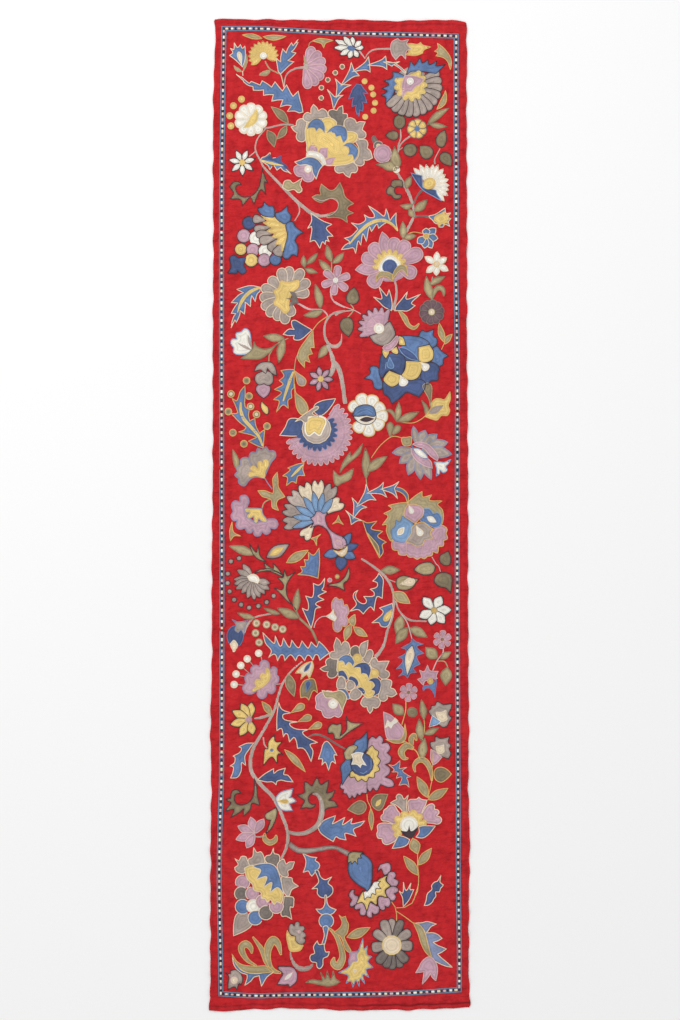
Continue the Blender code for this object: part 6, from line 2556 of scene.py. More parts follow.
def mid_right_stem(sew):
    """The pale stem that swings down to the near palmette, with its branches."""
    sew.stem(((361.0, 558.4), (369, 563.4), (378.4, 570.3), (386.0, 577.7), (391.4, 586.6),
            (393.5, 595.5), (393.7, 607.0), (391.6, 618.5), (387.3, 631.2), (384.1, 644.0),
            (379.1, 652.9), (374.5, 657.2)), 2.4, 3.4, 3.0, 3.0, 3.2, 4.4, thread="stem")
    sew.stem(((389.1, 579.7), (395.5, 582.2)), 1.0, thread="stem")
    sew.stem(((395.7, 600.6), (398.5, 609.5), (404.5, 616.7), (412.0, 620.5),
            (426.8, 621.3)), 1.6, 2.0, 2.6, 2.0, thread="stem")
    sew.stem(((401.1, 614.0), (406.4, 621.0), (409.0, 627.7), (411.8, 638.4)), 1.2, thread="pink")
    sew.leaf((381.0, 570.4), (400, 569.8), 8.2, "khaki", "olive")
    sew.leaf((392.7, 592.4), (410.0, 603.4), 10.4, "khaki", "gold", bend=0.4)
    sew.leaves((((401.3, 615.4), (396.0, 634.0), 9.6, 0.6), ((408.0, 627.4),
            (395.5, 643.7), 9.6, -0.4), ((409.0, 627.9), (427.3, 637.3), 8.8, 0.7)), "khaki", "olive")


def pale_olive_leaves(sew):
    """Two broad leaves outlined in a dark thread."""
    sew.shape(((418.9, 579.2, 1), (411.5, 577.7), (403.9, 575.5), (397.5, 578.2), (396.0, 583.4),
            (398.5, 588.9), (406.4, 590.2), (413.1, 586.8), (416.1, 582.5)), "khaki", "dark")
    sew.leaf((398.8, 584.3), (415.1, 580.7), 8.6, "cream", form="drop")
    sew.shape(((434.2, 581.5), (437.0, 574.3), (444.7, 572.3), (451.3, 575.6), (452.1, 582.8),
            (450.6, 593.2, 1), (446.0, 588.1), (439.6, 586.6)), "olive", "dark")


def curved_blue_saz(sew):
    """A blue saw-edged leaf that curls back at its tip."""
    sew.shape(((379.0, 573.3, 1), (376.1, 577.9), (372.8, 581.0, 1), (377.3, 582.8), (376.6, 587.3),
            (370.2, 589.3, 1), (374.0, 592.2), (373.3, 596.3), (363.8, 596.5, 1), (366.6, 600.6),
            (364.8, 603.7), (360.5, 602.9), (356.7, 599.3), (355.7, 594.2), (358.0, 590.2, 1),
            (354.1, 593.0), (353.4, 597.6), (356.4, 604.4), (349.8, 611.3, 1), (358.0, 609.5),
            (363.3, 613.9, 1), (366.9, 609.5), (370.7, 606.7), (374.0, 610.6, 1), (374.8, 604.4),
            (377.1, 596.5), (382.2, 598.3, 1), (382.7, 589.1), (383.2, 579.7)), "dark_blue", "cream")


def mid_leaf_trio(sew):
    """Three leaves at a fork."""
    sew.leaves((((353.6, 626.4), (354.9, 614.4), 7.0, 2.0), ((350.8, 624.1),
            (344.9, 640.9), 7.4, -0.4), ((353.6, 627.1), (367.4, 636.3), 7.2, -0.5)), "khaki", "gold")


def blue_and_yellow_leaf(sew):
    """A light blue leaf with a yellow heart on the near palmette's stem."""
    sew.shape(((392.1, 603.4, 1), (386.0, 605.7), (379.4, 608.0, 1), (383.0, 611.1), (381.7, 614.9),
            (372.0, 622.8, 1), (379.0, 622.6), (380.9, 626.1), (386.3, 626.9), (389.3, 623.6),
            (391.4, 617.2), (393.2, 609.5)), "blue", "cream")
    sew.shape(((391.9, 609.5, 1), (386.0, 613.9), (383.2, 619.2), (385.5, 621.3), (388.8, 619.7),
            (391.1, 614.6)), "yellow", "gold")


def white_dark_edged_flower(sew):
    """A white flower of six pointed petals outlined in a dark thread."""
    sew.rays("point", (434.0, 610.2), ((441.4, 595.8), (451.6, 609.8), (444.9, 623.6), (430.7, 625.1),
            (418.9, 617.4), (422.8, 597.0)), 1.6, 10.0, "white", "dark")
    sew.disc((434.0, 610.2), 2.9, "gold", "khaki")


def lens_saz(sew):
    """A hanging blue saw-edged leaf with a cream lens."""
    sew.shape(((411.5, 638.0, 1), (410.3, 642.7), (401.1, 647.8, 1), (405.9, 649.3), (405.2, 653.5),
            (397.9, 657.5, 1), (402.6, 658.8), (401.8, 663.1), (396.0, 669.1, 1), (401.3, 668.2),
            (402.6, 672.0), (398.5, 676.4, 1), (403.9, 674.6), (407.7, 678.0, 1), (410.3, 673.3),
            (416.2, 672.3, 1), (413.4, 667.7), (420.1, 664.0, 1), (417.4, 659.3), (416.9, 655.5),
            (423.9, 653.2, 1), (418.2, 649.1), (416.9, 645.9), (423.5, 644.0, 1),
            (416.6, 641.9)), "blue", "slate", edge_width=0.0013)
    sew.shape(((412.2, 645.0, 1), (406.4, 651.6), (404.6, 661.8), (407.1, 675.9, 1), (411.8, 664.4),
            (414.8, 654.2)), "cream", "dark_blue")


def small_mauve_flowers(sew):
    """Two small mauve flowers with the leaves between them."""
    sew.stem(((443.2, 648.1), (442.7, 653.2), (437.0, 660.8), (432.7, 670.8)), 1.3, thread="pink")
    sew.stem(((437.0, 661.1), (444.7, 661.6), (448.0, 668.0)), 1.3, thread="khaki")
    sew.stem(((405.9, 701.4), (405.4, 711.6), (401.8, 724.6)), 1.1, thread="gold")
    sew.leaves((((437.6, 658.0), (425.6, 647.3), 11.0, 0.6), ((440.4, 658.8),
            (450.8, 652.0), 6.2, 0.4), ((447.2, 667.2), (445.5, 685.3), 11.4, -0.4), ((403.5, 714.4),
            (392.8, 703.9), 10.0, 0.4)), "khaki", "olive")
    sew.leaf((406.7, 711.6), (417.9, 712.6), 11.0, "olive", form="disc")
    for centre in ((442.3, 639.5), (408.5, 692.4)):
        sew.petals("round", centre, 6, 2, 9.2, 6.0, "mauve", "pink", 85, edge_width=0.0012)
        sew.disc(centre, 1.7, "olive")


def mauve_crown(sew):
    """A small mauve crown with a yellow eye and a forked blue tail."""
    sew.shape(((422.8, 685.6, 1), (429.4, 683.8), (437.3, 678.4, 1), (436.5, 688.6), (435.1, 699.3, 1),
            (432.6, 692.7), (429.4, 688.6), (424.9, 689.4), (423.0, 695.0, 1), (422.0, 689.4)), "blue")
    sew.shape(((427.5, 665.2, 1), (430.2, 670.8), (438.1, 671.3, 1), (436.0, 676.6), (437.0, 678.7),
            (429.4, 679.9), (424.8, 681.2), (423.3, 685.1, 1), (417.7, 679.3, 1), (421.7, 677.1),
            (419.6, 670.3, 1), (424.3, 671.5)), "mauve", "pink")
    sew.disc((430.2, 681.2), 3.3, "gold")


def near_right_leaves(sew):
    """Long leaves on a thin stem along the right side."""
    sew.stem(((423.8, 718.0), (424.5, 729.4), (422.2, 739.9)), 1.0, thread="gold")
    sew.leaves((((423.8, 719.7), (421.4, 699.8), 6.6, -0.5), ((421.5, 740.9),
            (419.2, 718.7), 7.6, 0.5), ((424.0, 734.0), (438.6, 727.9), 5.8, -0.5), ((422.0, 759.3),
            (424.8, 738.1), 8.4, 0.6)), "khaki", "olive")


def pale_lobed_flowers(sew):
    """Two grey-brown lobed flowers with cream hearts, outlined in a dark thread."""
    sew.shape(((429.1, 726.9, 1), (432.4, 718.0), (429.9, 714.4), (428.5, 710.8), (430.9, 708.8, 1),
            (431.4, 705.2), (434.7, 705.5), (437.0, 701.6), (440.4, 702.9), (443.4, 704.7, 1),
            (452.1, 703.7, 1), (450.8, 709.0), (448.3, 713.9), (451.6, 717.7), (449.3, 721.5, 1),
            (447.0, 725.9), (442.9, 727.4), (437.8, 724.6)), "taupe", "dark")
    sew.shape(((429.1, 726.9, 1), (432.2, 715.4, 1), (440.9, 721.5, 1),
            (437.0, 724.6)), "light_blue", "white", edge_width=0.0012)
    sew.shape(((435.3, 711.3, 1), (440.9, 711.8), (446.5, 709.3, 1), (446.5, 715.4), (447.8, 719.2),
            (442.9, 721.8), (439.1, 720.5), (436.8, 716.7)), "cream")
    sew.shape(((430.9, 747.0, 1), (430.2, 742.4), (435.0, 740.9, 1), (435.5, 736.3), (440.9, 738.4),
            (449.5, 736.6, 1), (448.0, 742.2), (450.8, 745.0), (449.0, 748.8, 1), (450.8, 753.9),
            (448.3, 759.0, 1), (443.4, 757.2), (437.0, 754.2)), "taupe", "dark")
    sew.shape(((430.9, 749.3, 1), (434.5, 751.1), (441.9, 757.0, 1), (437.0, 762.6), (433.0, 764.9, 1),
            (430.7, 758.8)), "mauve", "pink")
    sew.shape(((435.5, 746.0, 1), (439.8, 745.5), (444.2, 744.2, 1), (444.2, 748.6), (444.4, 751.9),
            (439.8, 754.2), (436.5, 751.6)), "cream")


def striped_mauve_bud(sew):
    """A mauve bud with a white stripe, in a yellow-green sepal."""
    sew.shape(((383.5, 712.0, 1), (391.1, 715.4), (399.0, 723.1), (404.9, 731.0), (404.5, 738.6),
            (401.3, 741.7), (394.9, 742.2), (387.3, 738.4), (385.0, 729.4),
            (384.2, 720.5)), "mauve", "pink")
    sew.shape(((385.0, 727.7), (387.6, 720.0, 1), (390.6, 722.6), (394.9, 718.0, 1), (397.8, 721.3),
            (393.2, 724.6), (391.1, 728.2, 1), (388.1, 725.9)), "white", "cream")
    sew.shape(((385.8, 739.4, 1), (392.4, 739.4), (399.5, 739.6), (403.4, 734.5), (404.9, 723.6, 1),
            (406.2, 734.5), (403.4, 741.9), (394.9, 743.0)), "khaki", "gold")


def near_right_scrolls(sew):
    """Curled tendrils below the mauve bud."""
    sew.stem(((411.3, 747.6), (416.6, 751.6), (419.9, 759.3)), 1.2, thread="gold")
    sew.stem(((403.1, 741.4), (410.8, 745.3), (411.3, 738.6), (414.3, 735.6),
            (416.4, 740.4)), 1.4, 3.4, 5.0, 4.6, 1.0, thread="khaki", edge="gold")
    sew.stem(((413.3, 748.3), (406.4, 746.0), (401.3, 751.6), (403.9, 757.8),
            (408.0, 758.3)), 2.6, 6.0, 6.4, 4.0, 0.8, thread="khaki", edge="gold")


def near_palmette(sew):
    """The near palmette: blue crescents on yellow between lobed grey-brown florets."""
    for floret, thread in (
        (((337.4, 659.7), (333.6, 657.5), (328.1, 658.4), (325.6, 661.6), (326.6, 665.3, 1),
                (322.7, 667.0), (320.1, 668.7, 1), (323.8, 671.1), (328.3, 671.5, 1), (327.2, 674.6),
                (329.7, 677.8), (334.5, 677.4), (337.6, 673.7), (337.1, 666.7)), "grey"),
        (((337.9, 659.0), (332.0, 658.6), (329.5, 655.4), (331.2, 651.9), (334.8, 651.1, 1),
                (333.9, 645.7), (336.3, 637.7, 1), (339.8, 641.0), (341.3, 645.4, 1), (343.7, 641.8),
                (347.7, 642.2), (349.7, 646.4), (350.0, 652.4), (346.8, 655.4),
                (341.3, 657.3)), "taupe"),
        (((350.2, 649.9), (353.0, 646.4), (356.9, 645.9), (359.5, 648.8), (359.7, 654.2),
                (355.3, 656.6), (350.8, 655.8)), "grey"),
        (((364.7, 655.8), (367.8, 650.3), (371.7, 650.0), (373.1, 654.2), (370.6, 660.7),
                (368.2, 663.7), (363.9, 661.2), (362.7, 658.1)), "taupe"),
        (((359.2, 648.8), (361.5, 643.5), (368.0, 640.4, 1), (367.5, 646.4), (366.2, 651.9),
                (364.0, 657.3), (361.5, 656.6), (359.7, 652.7)), "taupe"),
        (((369.9, 663.5), (371.7, 658.9), (375.5, 657.6), (378.0, 661.6, 1), (383.3, 661.2),
                (389.1, 661.1, 1), (387.2, 665.1), (385.0, 669.8, 1), (388.5, 671.7), (389.4, 675.2),
                (386.4, 678.6), (381.8, 678.8), (378.3, 675.2), (377.1, 669.8),
                (372.4, 668.2)), "taupe"),
        (((380.7, 680.3), (386.4, 679.1), (391.1, 680.5), (391.7, 683.8), (390.3, 687.8, 1),
                (394.4, 689.4), (396.8, 693.9, 1), (391.9, 696.8), (386.8, 695.6, 1), (387.4, 698.5),
                (384.1, 701.2), (379.4, 699.8), (378.3, 695.4), (380.7, 688.4)), "taupe"),
        (((361.2, 701.5), (363.9, 697.1), (370.9, 696.2), (378.0, 697.5), (380.4, 701.7),
                (378.8, 706.3), (375.7, 708.2), (372.9, 706.9, 1), (372.4, 710.2), (370.1, 713.2, 1),
                (367.8, 710.2), (367.0, 706.5, 1), (363.9, 706.9), (361.0, 704.1)), "taupe"),
        (((337.1, 681.4), (340.6, 676.2), (344.7, 679.1), (345.8, 683.8), (345.4, 688.1),
                (341.3, 688.9), (337.3, 688.1)), "taupe"),
        (((346.1, 686.1), (347.5, 681.4), (351.6, 680.1), (354.9, 683.8), (354.2, 688.0),
                (350.0, 690.5), (346.6, 689.2)), "taupe"),
        (((349.4, 694.3), (352.2, 690.0), (356.3, 687.7), (360.6, 690.8), (361.5, 695.4),
                (356.1, 699.8), (351.0, 698.9)), "taupe"),
    ):
        sew.shape(floret, thread, "cream")
    sew.shape(((337.8, 662.0), (343.7, 660.4), (352.2, 656.6), (356.9, 655.2), (361.5, 657.0),
            (362.5, 661.7), (369.3, 665.1), (372.4, 669.8), (375.7, 669.1), (378.0, 671.8),
            (377.9, 676.8), (375.9, 679.6), (375.9, 688.4), (374.1, 695.4), (367.8, 698.1),
            (364.7, 695.9), (358.4, 688.7), (357.2, 684.2), (352.2, 677.2), (347.9, 678.3),
            (344.4, 672.1), (337.4, 671.8), (337.1, 666.7)), "yellow", "cream")
    sew.disc((357.3, 658.3), 4.4, "yellow", "gold")
    sew.disc((374.5, 673.1), 4.2, "yellow", "gold")
    for crescent, thread in (
        (((338.2, 661.5, 1), (339.8, 657.7), (345.2, 654.8), (350.7, 656.0), (353.9, 660.4),
                (354.4, 662.9), (352.6, 666.2, 1), (351.0, 663.5), (348.7, 662.1, 1), (345.2, 665.6, 1),
                (344.0, 662.1, 1), (342.1, 660.8)), "blue"),
        (((352.8, 668.1, 1), (356.1, 664.7), (361.5, 662.5), (367.0, 663.0), (370.4, 667.4),
                (370.7, 672.1), (368.5, 678.6, 1), (366.6, 674.4), (363.1, 673.3, 1), (360.9, 674.1, 1),
                (360.6, 669.8), (360.0, 667.4, 1), (356.5, 667.4)), "dark_blue"),
        (((367.9, 680.4, 1), (372.4, 678.1), (377.9, 678.3), (380.8, 682.2), (380.8, 687.7),
                (378.7, 693.3), (371.8, 697.1, 1), (374.8, 691.7), (370.9, 689.7, 1), (374.3, 686.1),
                (374.4, 684.5), (372.4, 681.8)), "dark_blue"),
        (((338.1, 671.2, 1), (342.9, 670.3), (346.6, 674.8), (347.9, 679.1), (346.6, 680.3, 1),
                (343.7, 676.8), (341.3, 676.0), (338.2, 676.6, 1)), "dark_blue"),
        (((348.2, 679.7, 1), (349.9, 676.1), (354.5, 677.2), (357.9, 680.7), (358.4, 684.5),
                (356.1, 687.2, 1), (354.5, 683.1), (352.2, 680.8)), "dark_blue"),
        (((357.0, 688.1, 1), (360.8, 687.0), (364.5, 689.8), (365.0, 693.1), (362.9, 695.2, 1),
                (361.2, 692.1)), "dark_blue"),
        (((336.9, 689.4, 1), (340.6, 688.2), (345.4, 689.4), (348.6, 693.9), (349.8, 698.5),
                (347.2, 699.2, 1), (345.6, 694.7), (342.1, 691.7)), "blue"),
    ):
        sew.shape(crescent, thread, "cream", edge_width=0.0013)


def hooked_thorn(sew):
    """A curved grey-green thorn leaf with two small dots beside it."""
    sew.shape(((349.0, 566.8, 1), (349.8, 574.0), (347.4, 580.6), (343.8, 583.4), (344.6, 590.6, 1),
            (338.0, 587.2), (332.6, 586.0), (326.0, 585.8, 1), (333.0, 583.4), (339.4, 582.0),
            (345.2, 576.0)), "khaki", "dark")
    sew.disc((329.8, 580.2), 2.1, "mauve", "pink")
    sew.disc((337.2, 576.6), 2.1, "yellow", "khaki")


def pomegranate_blossom(sew):
    """A large blossom: mauve petals around a blue and yellow heart."""
    sew.shape(((362.0, 764.0), (367.4, 746.4), (368.4, 740.4), (372.0, 736.4), (375.8, 738.4, 1),
            (379.8, 735.2), (383.4, 739.4), (382.4, 743.2, 1), (387.6, 742.8), (390.4, 748.0),
            (387.4, 753.0, 1), (391.2, 757.0), (389.8, 762.4), (385.4, 764.4, 1), (390.0, 768.2),
            (389.4, 773.6), (385.2, 777.0, 1), (391.8, 779.8), (394.2, 785.2), (389.0, 787.4),
            (380.6, 784.4, 1), (376.8, 791.0), (373.0, 788.0, 1), (370.0, 792.0), (367.2, 788.6, 1),
            (366.4, 793.4), (362.2, 792.8, 1), (359.8, 795.4), (357.4, 793.8, 1), (354.6, 798.4),
            (352.0, 795.6, 1), (349.6, 799.0), (346.4, 793.8, 1), (343.2, 793.4), (343.6, 789.6, 1),
            (339.8, 787.2), (342.8, 780.4), (346.4, 777.0)), "mauve", "dark")
    sew.line(((367.0, 782.4), (367.0, 789.0)), "dark", 0.0014)
    sew.shape(((349.8, 757.6), (344.0, 761.4), (340.4, 767.0), (341.4, 774.2), (342.2, 785.0, 1),
            (347.4, 776.6), (352.0, 771.6), (351.0, 763.6)), "blue", "dark")
    sew.shape(((368.6, 748.0, 1), (372.2, 745.4), (374.8, 749.0, 1), (378.6, 751.6), (377.4, 756.6, 1),
            (380.4, 760.6), (377.8, 765.4, 1), (379.6, 770.0), (374.6, 772.6, 1), (374.0, 777.6),
            (368.8, 777.0, 1), (366.4, 781.6), (361.6, 779.0, 1), (357.6, 781.2), (354.6, 776.8, 1),
            (350.0, 777.0), (350.4, 771.8, 1), (362.0, 764.0)), "yellow", "dark")
    sew.disc((362.0, 764.2), 11.4, "dark_blue", "dark")
    sew.line(((371.0, 757.2), (371.2, 768.0), (363.4, 773.6), (354.2, 769.6)), "light_blue", 0.0013)
    sew.shape(((367.0, 731.8, 1), (367.6, 741.0), (366.8, 749.0), (362.4, 753.6), (355.0, 754.0),
            (352.6, 747.6), (355.8, 740.6), (360.6, 738.4)), "blue", "dark")
    sew.shape(((343.6, 752.4, 1), (348.2, 746.6), (353.8, 744.8), (357.8, 747.2), (353.8, 751.6),
            (352.6, 758.2), (345.8, 759.4)), "khaki", "dark")
    sew.shape(((351.6, 754.4, 1), (357.2, 752.4), (363.2, 753.2, 1), (361.8, 758.0), (366.2, 765.4, 1),
            (362.0, 764.0), (360.4, 767.4, 1), (356.8, 764.2), (351.8, 764.2, 1),
            (353.2, 759.2)), "cream", "white")


def blue_side_leaf(sew):
    """A blue toothed leaf where the main stem bends."""
    sew.shape(((257.5, 779.9, 1), (264.8, 773.9), (273.6, 768.6, 1), (274.0, 773.3), (277.9, 770.4),
            (285.3, 768.1, 1), (283.7, 774.3), (288.1, 775.4), (293.1, 781.9, 1), (286.0, 781.1),
            (281.4, 780.0), (277.0, 781.3), (276.2, 784.8, 1), (272.6, 781.8),
            (266.6, 781.8)), "dark_blue", "cream")


def white_side_tulip(sew):
    """A white tulip with a yellow heart, outlined in slate."""
    sew.shape(((275.7, 799.8), (277.0, 795.7), (281.8, 791.5), (292.9, 788.5, 1), (291.2, 795.5),
            (289.4, 797.2, 1), (292.7, 797.6), (296.4, 801.3, 1), (291.8, 803.1), (289.4, 803.7, 1),
            (292.5, 810.3, 1), (285.1, 810.7), (279.7, 808.3), (277.3, 804.4)), "white", "slate")
    sew.leaf((277.3, 801.1), (288.4, 801.4), 4.4, "gold", "yellow", form="drop")


def left_acanthus(sew):
    """A hooked grey-green acanthus leaf with a second one beside it."""
    sew.shape(((254.4, 778.1, 1), (256.6, 785.9), (257.5, 795.2), (259.7, 805.3, 1), (252.0, 803.1),
            (250.7, 808.1), (248.3, 812.0), (243.5, 816.1, 1), (243.3, 811.8), (243.8, 808.5),
            (238.9, 812.9), (230.5, 817.6, 1), (232.6, 813.7), (234.0, 809.0), (229.6, 810.0),
            (225.2, 811.2, 1), (227.8, 807.2), (231.1, 802.6), (228.7, 801.6), (225.7, 799.0, 1),
            (229.6, 798.5), (230.9, 797.4), (231.0, 793.3), (233.3, 790.2), (237.2, 789.6),
            (241.1, 792.9, 1), (237.9, 793.5), (235.5, 794.4), (234.4, 797.2), (235.0, 801.6),
            (238.9, 804.6), (243.5, 804.6), (249.0, 802.2), (251.8, 798.9), (253.8, 793.3),
            (254.4, 785.9)), "olive", "dark")
    sew.shape(((276.2, 807.4, 1), (277.0, 811.8), (275.9, 818.6), (273.3, 825.1), (270.3, 829.6),
            (265.5, 834.0, 1), (268.1, 827.5), (269.4, 823.8), (270.5, 820.1, 1), (267.0, 819.6),
            (264.9, 816.8), (265.7, 813.5), (270.3, 810.7)), "khaki", "dark")


def left_mauve_star(sew):
    """A mauve flower of five pointed petals with a khaki crescent."""
    sew.stem(((255.5, 836.4), (260.1, 836.8), (265.1, 835.1)), 2.0, thread="stem")
    sew.rays("point", (254.6, 833.3), ((250.7, 817.1), (263.8, 819.0), (237.9, 826.0), (236.1, 839.4),
            (246.7, 847.7)), 1.0, 8.4, "mauve", "pink")
    sew.stem(((264.8, 833.3), (265.1, 839.2), (269.9, 842.5), (275.1, 839.9),
            (276.2, 835.1)), 1.0, 4.6, 5.2, 4.6, 1.0, thread="khaki", edge="gold")


def spiral_acanthus(sew):
    """A toothed grey-green leaf curled into a spiral around its pale stem."""
    sew.shape(((323.0, 812.9), (326.9, 808.5), (337.7, 806.3, 1), (334.3, 801.1), (328.8, 800.1),
            (332.3, 797.0), (334.9, 790.3, 1), (329.9, 792.2), (326.5, 792.6), (328.0, 786.8),
            (328.4, 780.0, 1), (323.4, 783.3), (320.4, 784.2), (317.0, 776.7, 1), (314.0, 782.0),
            (311.7, 785.7), (308.4, 783.1), (304.7, 781.5, 1), (304.5, 787.8), (304.9, 792.0),
            (301.8, 793.7), (297.3, 795.0, 1), (300.8, 797.9), (304.5, 800.7), (302.7, 804.4),
            (300.5, 808.5, 1), (306.4, 807.5), (310.1, 808.3), (313.8, 807.0), (315.8, 803.9, 1),
            (312.4, 804.4), (309.2, 802.2), (308.2, 798.1), (310.1, 794.4), (314.0, 792.9),
            (318.6, 795.7), (320.4, 801.6), (321.0, 808.1), (320.6, 812.9)), "olive", "dark")
    sew.stem(((313.0, 793.7), (317.3, 794.6), (320.6, 799.8), (321.9, 807.2), (321.4, 815.5),
            (318.4, 824.0), (312.9, 829.0), (305.5, 832.7), (297.1, 833.7),
            (289.2, 832.3)), 1.0, 2.4, 3.0, 4.0, 4.6, 4.4, 4.0, 3.4, 3.0, 2.6,
            thread="stem", edge="taupe")


def long_blue_saz(sew):
    """A long pale blue saw-edged leaf across the near field."""
    sew.shape(((317.9, 827.2, 1), (321.2, 822.9), (326.0, 819.2), (335.4, 815.7, 1), (334.1, 820.1),
            (332.5, 823.8), (338.8, 820.7), (345.0, 817.2, 1), (343.2, 821.6), (342.6, 824.8),
            (347.4, 822.0), (352.3, 818.4, 1), (351.2, 823.8), (358.2, 822.6), (364.8, 820.8, 1),
            (360.2, 825.8), (353.4, 829.4), (356.2, 836.2, 1), (350.6, 834.2), (344.8, 833.4),
            (346.0, 839.8, 1), (339.4, 838.4), (336.0, 836.6), (333.2, 841.4, 1), (325.8, 837.0),
            (320.3, 832.3)), "blue", "cream")
    sew.stem(((289.5, 844.0), (296.2, 849.2), (304.5, 851.0), (315.6, 849.7), (329.5, 847.5),
            (336.0, 847.9), (341.6, 850.2), (350.8, 855.0)), 4.4, 4.8, 4.8, 4.0, 3.0, 2.8, 3.6, 4.6,
            thread="taupe", edge="grey")


def near_grape_palmette(sew):
    """A drop-shaped palmette: blue and yellow over a cluster of discs, in a lobed frame."""
    for places, thread in (
        (((235.0, 858.6, 1), (239.0, 860.6), (241.4, 856.4), (246.0, 856.8), (248.0, 861.4),
                (252.4, 864.0), (248.0, 869.0), (243.0, 873.4), (236.8, 871.8), (234.8, 867.6),
                (238.4, 864.6)), "taupe"),
        (((253.8, 847.6, 1), (257.0, 852.6), (260.6, 851.6), (263.4, 855.4), (264.6, 863.0),
                (256.0, 866.4), (249.0, 864.0), (248.6, 859.0), (252.6, 856.8)), "taupe"),
        (((273.4, 848.0, 1), (274.2, 853.4), (278.6, 854.6), (279.8, 859.0), (277.0, 865.4),
                (269.0, 864.0), (264.8, 859.4), (266.6, 855.6), (270.8, 854.6)), "grey"),
        (((294.4, 861.8, 1), (289.0, 862.0), (286.0, 864.0), (283.6, 859.0), (279.0, 861.8),
                (277.2, 866.6), (280.0, 874.0), (284.4, 877.0), (288.2, 875.6), (287.8, 870.6),
                (292.0, 868.4)), "taupe"),
        (((298.4, 886.0, 1), (292.8, 882.0), (291.8, 877.8), (286.4, 877.4), (281.6, 876.6),
                (282.0, 886.0), (284.6, 893.4), (288.8, 896.2), (291.8, 889.6)), "taupe"),
    ):
        sew.shape(places, thread, "cream")
    sew.shape(((284.4, 896.3, 1), (293.1, 897.2), (293.8, 902.2), (293.1, 907.2), (289.9, 907.4),
            (291.8, 919.2, 1), (286.0, 915.9), (282.5, 916.4), (280.9, 913.3),
            (282.5, 907.8)), "grey", "cream")
    sew.shape(((233.6, 935.6, 1), (233.8, 924.0), (236.4, 914.6), (243.6, 911.8), (250.8, 915.4),
            (252.0, 924.4), (245.4, 930.4)), "taupe", "cream")
    for place, radius, thread in (
        ((242.7, 882.2), 7.3, "mauve"), ((241.4, 893.5), 6.9, "grey"), ((252.4, 893.5), 6.9, "mauve"),
                ((242.7, 906.6), 7.5, "blue"), ((253.5, 906.1), 7.1, "white"),
        ((262.7, 901.5), 7.1, "mauve"), ((255.3, 917.7), 7.3, "blue"), ((265.9, 912.6), 7.1, "grey"),
                ((276.4, 906.3), 7.1, "mauve"),
    ):
        sew.disc(place, radius, thread, "cream")
    sew.shape(((244.4, 868.0, 1), (247.0, 878.4), (252.4, 884.0), (254.0, 890.0), (260.8, 892.2),
            (261.4, 898.0), (265.0, 898.4), (267.4, 902.2), (270.6, 899.4), (274.2, 904.4),
            (277.0, 901.4), (281.6, 902.8), (283.6, 893.4, 1), (276, 880), (262, 868),
            (252.0, 865.0)), "yellow", "cream")
    sew.shape(((252.4, 865.6, 1), (259.4, 863.8), (268.6, 863.2), (275.2, 866.2), (278.8, 872.8),
            (281.6, 883.2), (283.6, 894.0, 1), (277.8, 887.4), (270.2, 892.2, 1), (271.8, 882.2),
            (263.6, 887.0, 1), (266.8, 876.6), (256.2, 879.2, 1), (260.8, 870.2),
            (255.6, 867.6)), "blue", "cream")


def blue_ornament_chain(sew):
    """A chain of blue ornaments: a leaf, a gourd, a bell, a disc and a cross."""
    sew.shape(((302.8, 853.2, 1), (310.2, 856.6), (316.8, 857.4, 1), (315.2, 860.4), (318.6, 862.8),
            (319.6, 866.6), (316.0, 871.2), (311.9, 876.0, 1), (310.0, 873.8), (308.2, 870.8),
            (303.2, 872.2, 1), (305.4, 866.4), (305.8, 859.8)), "blue", "cream")
    sew.shape(((315.0, 870.6), (318.2, 870.4), (320.4, 876.4), (325.0, 879.6), (331.8, 876.8, 1),
            (328.0, 882.8), (332.2, 887.0), (332.6, 892.4), (328.0, 897.0), (321.4, 897.4),
            (317.4, 893.4), (317.4, 888.4), (312.0, 888.8, 1), (316.6, 884.8), (318.8, 881.2),
            (317.2, 875.8)), "dark_blue", "cream")
    sew.shape(((324.9, 895.5), (326.5, 895.5), (327.1, 902.2), (329.7, 906.8), (336.2, 909.6, 1),
            (332.5, 913.5), (326.7, 915.0), (320.3, 913.5), (316.0, 909.0, 1), (321.2, 909.0),
            (324.0, 906.1), (325.1, 901.5)), "blue", "cream")
    sew.disc((326.3, 920.9), 7.4, "blue", "cream")
    sew.shape(((323.2, 926.7), (328.2, 926.7), (326.9, 935.5), (324.3, 944.8), (321.7, 944.8),
            (324.3, 935.5)), "blue", "cream")
    sew.shape(((317.3, 940.7, 1), (319.0, 944.4), (324.1, 943.8, 1), (324.5, 948.5), (325.8, 951.8),
            (329.3, 951.7, 1), (327.8, 956.0), (323.2, 958.6), (322.8, 965.1), (319.5, 968.6),
            (316.9, 966.2), (316.4, 962.5), (311.9, 961.6), (309.9, 958.3), (311.0, 954.7),
            (314.7, 953.1), (313.6, 946.6)), "dark_blue", "cream")


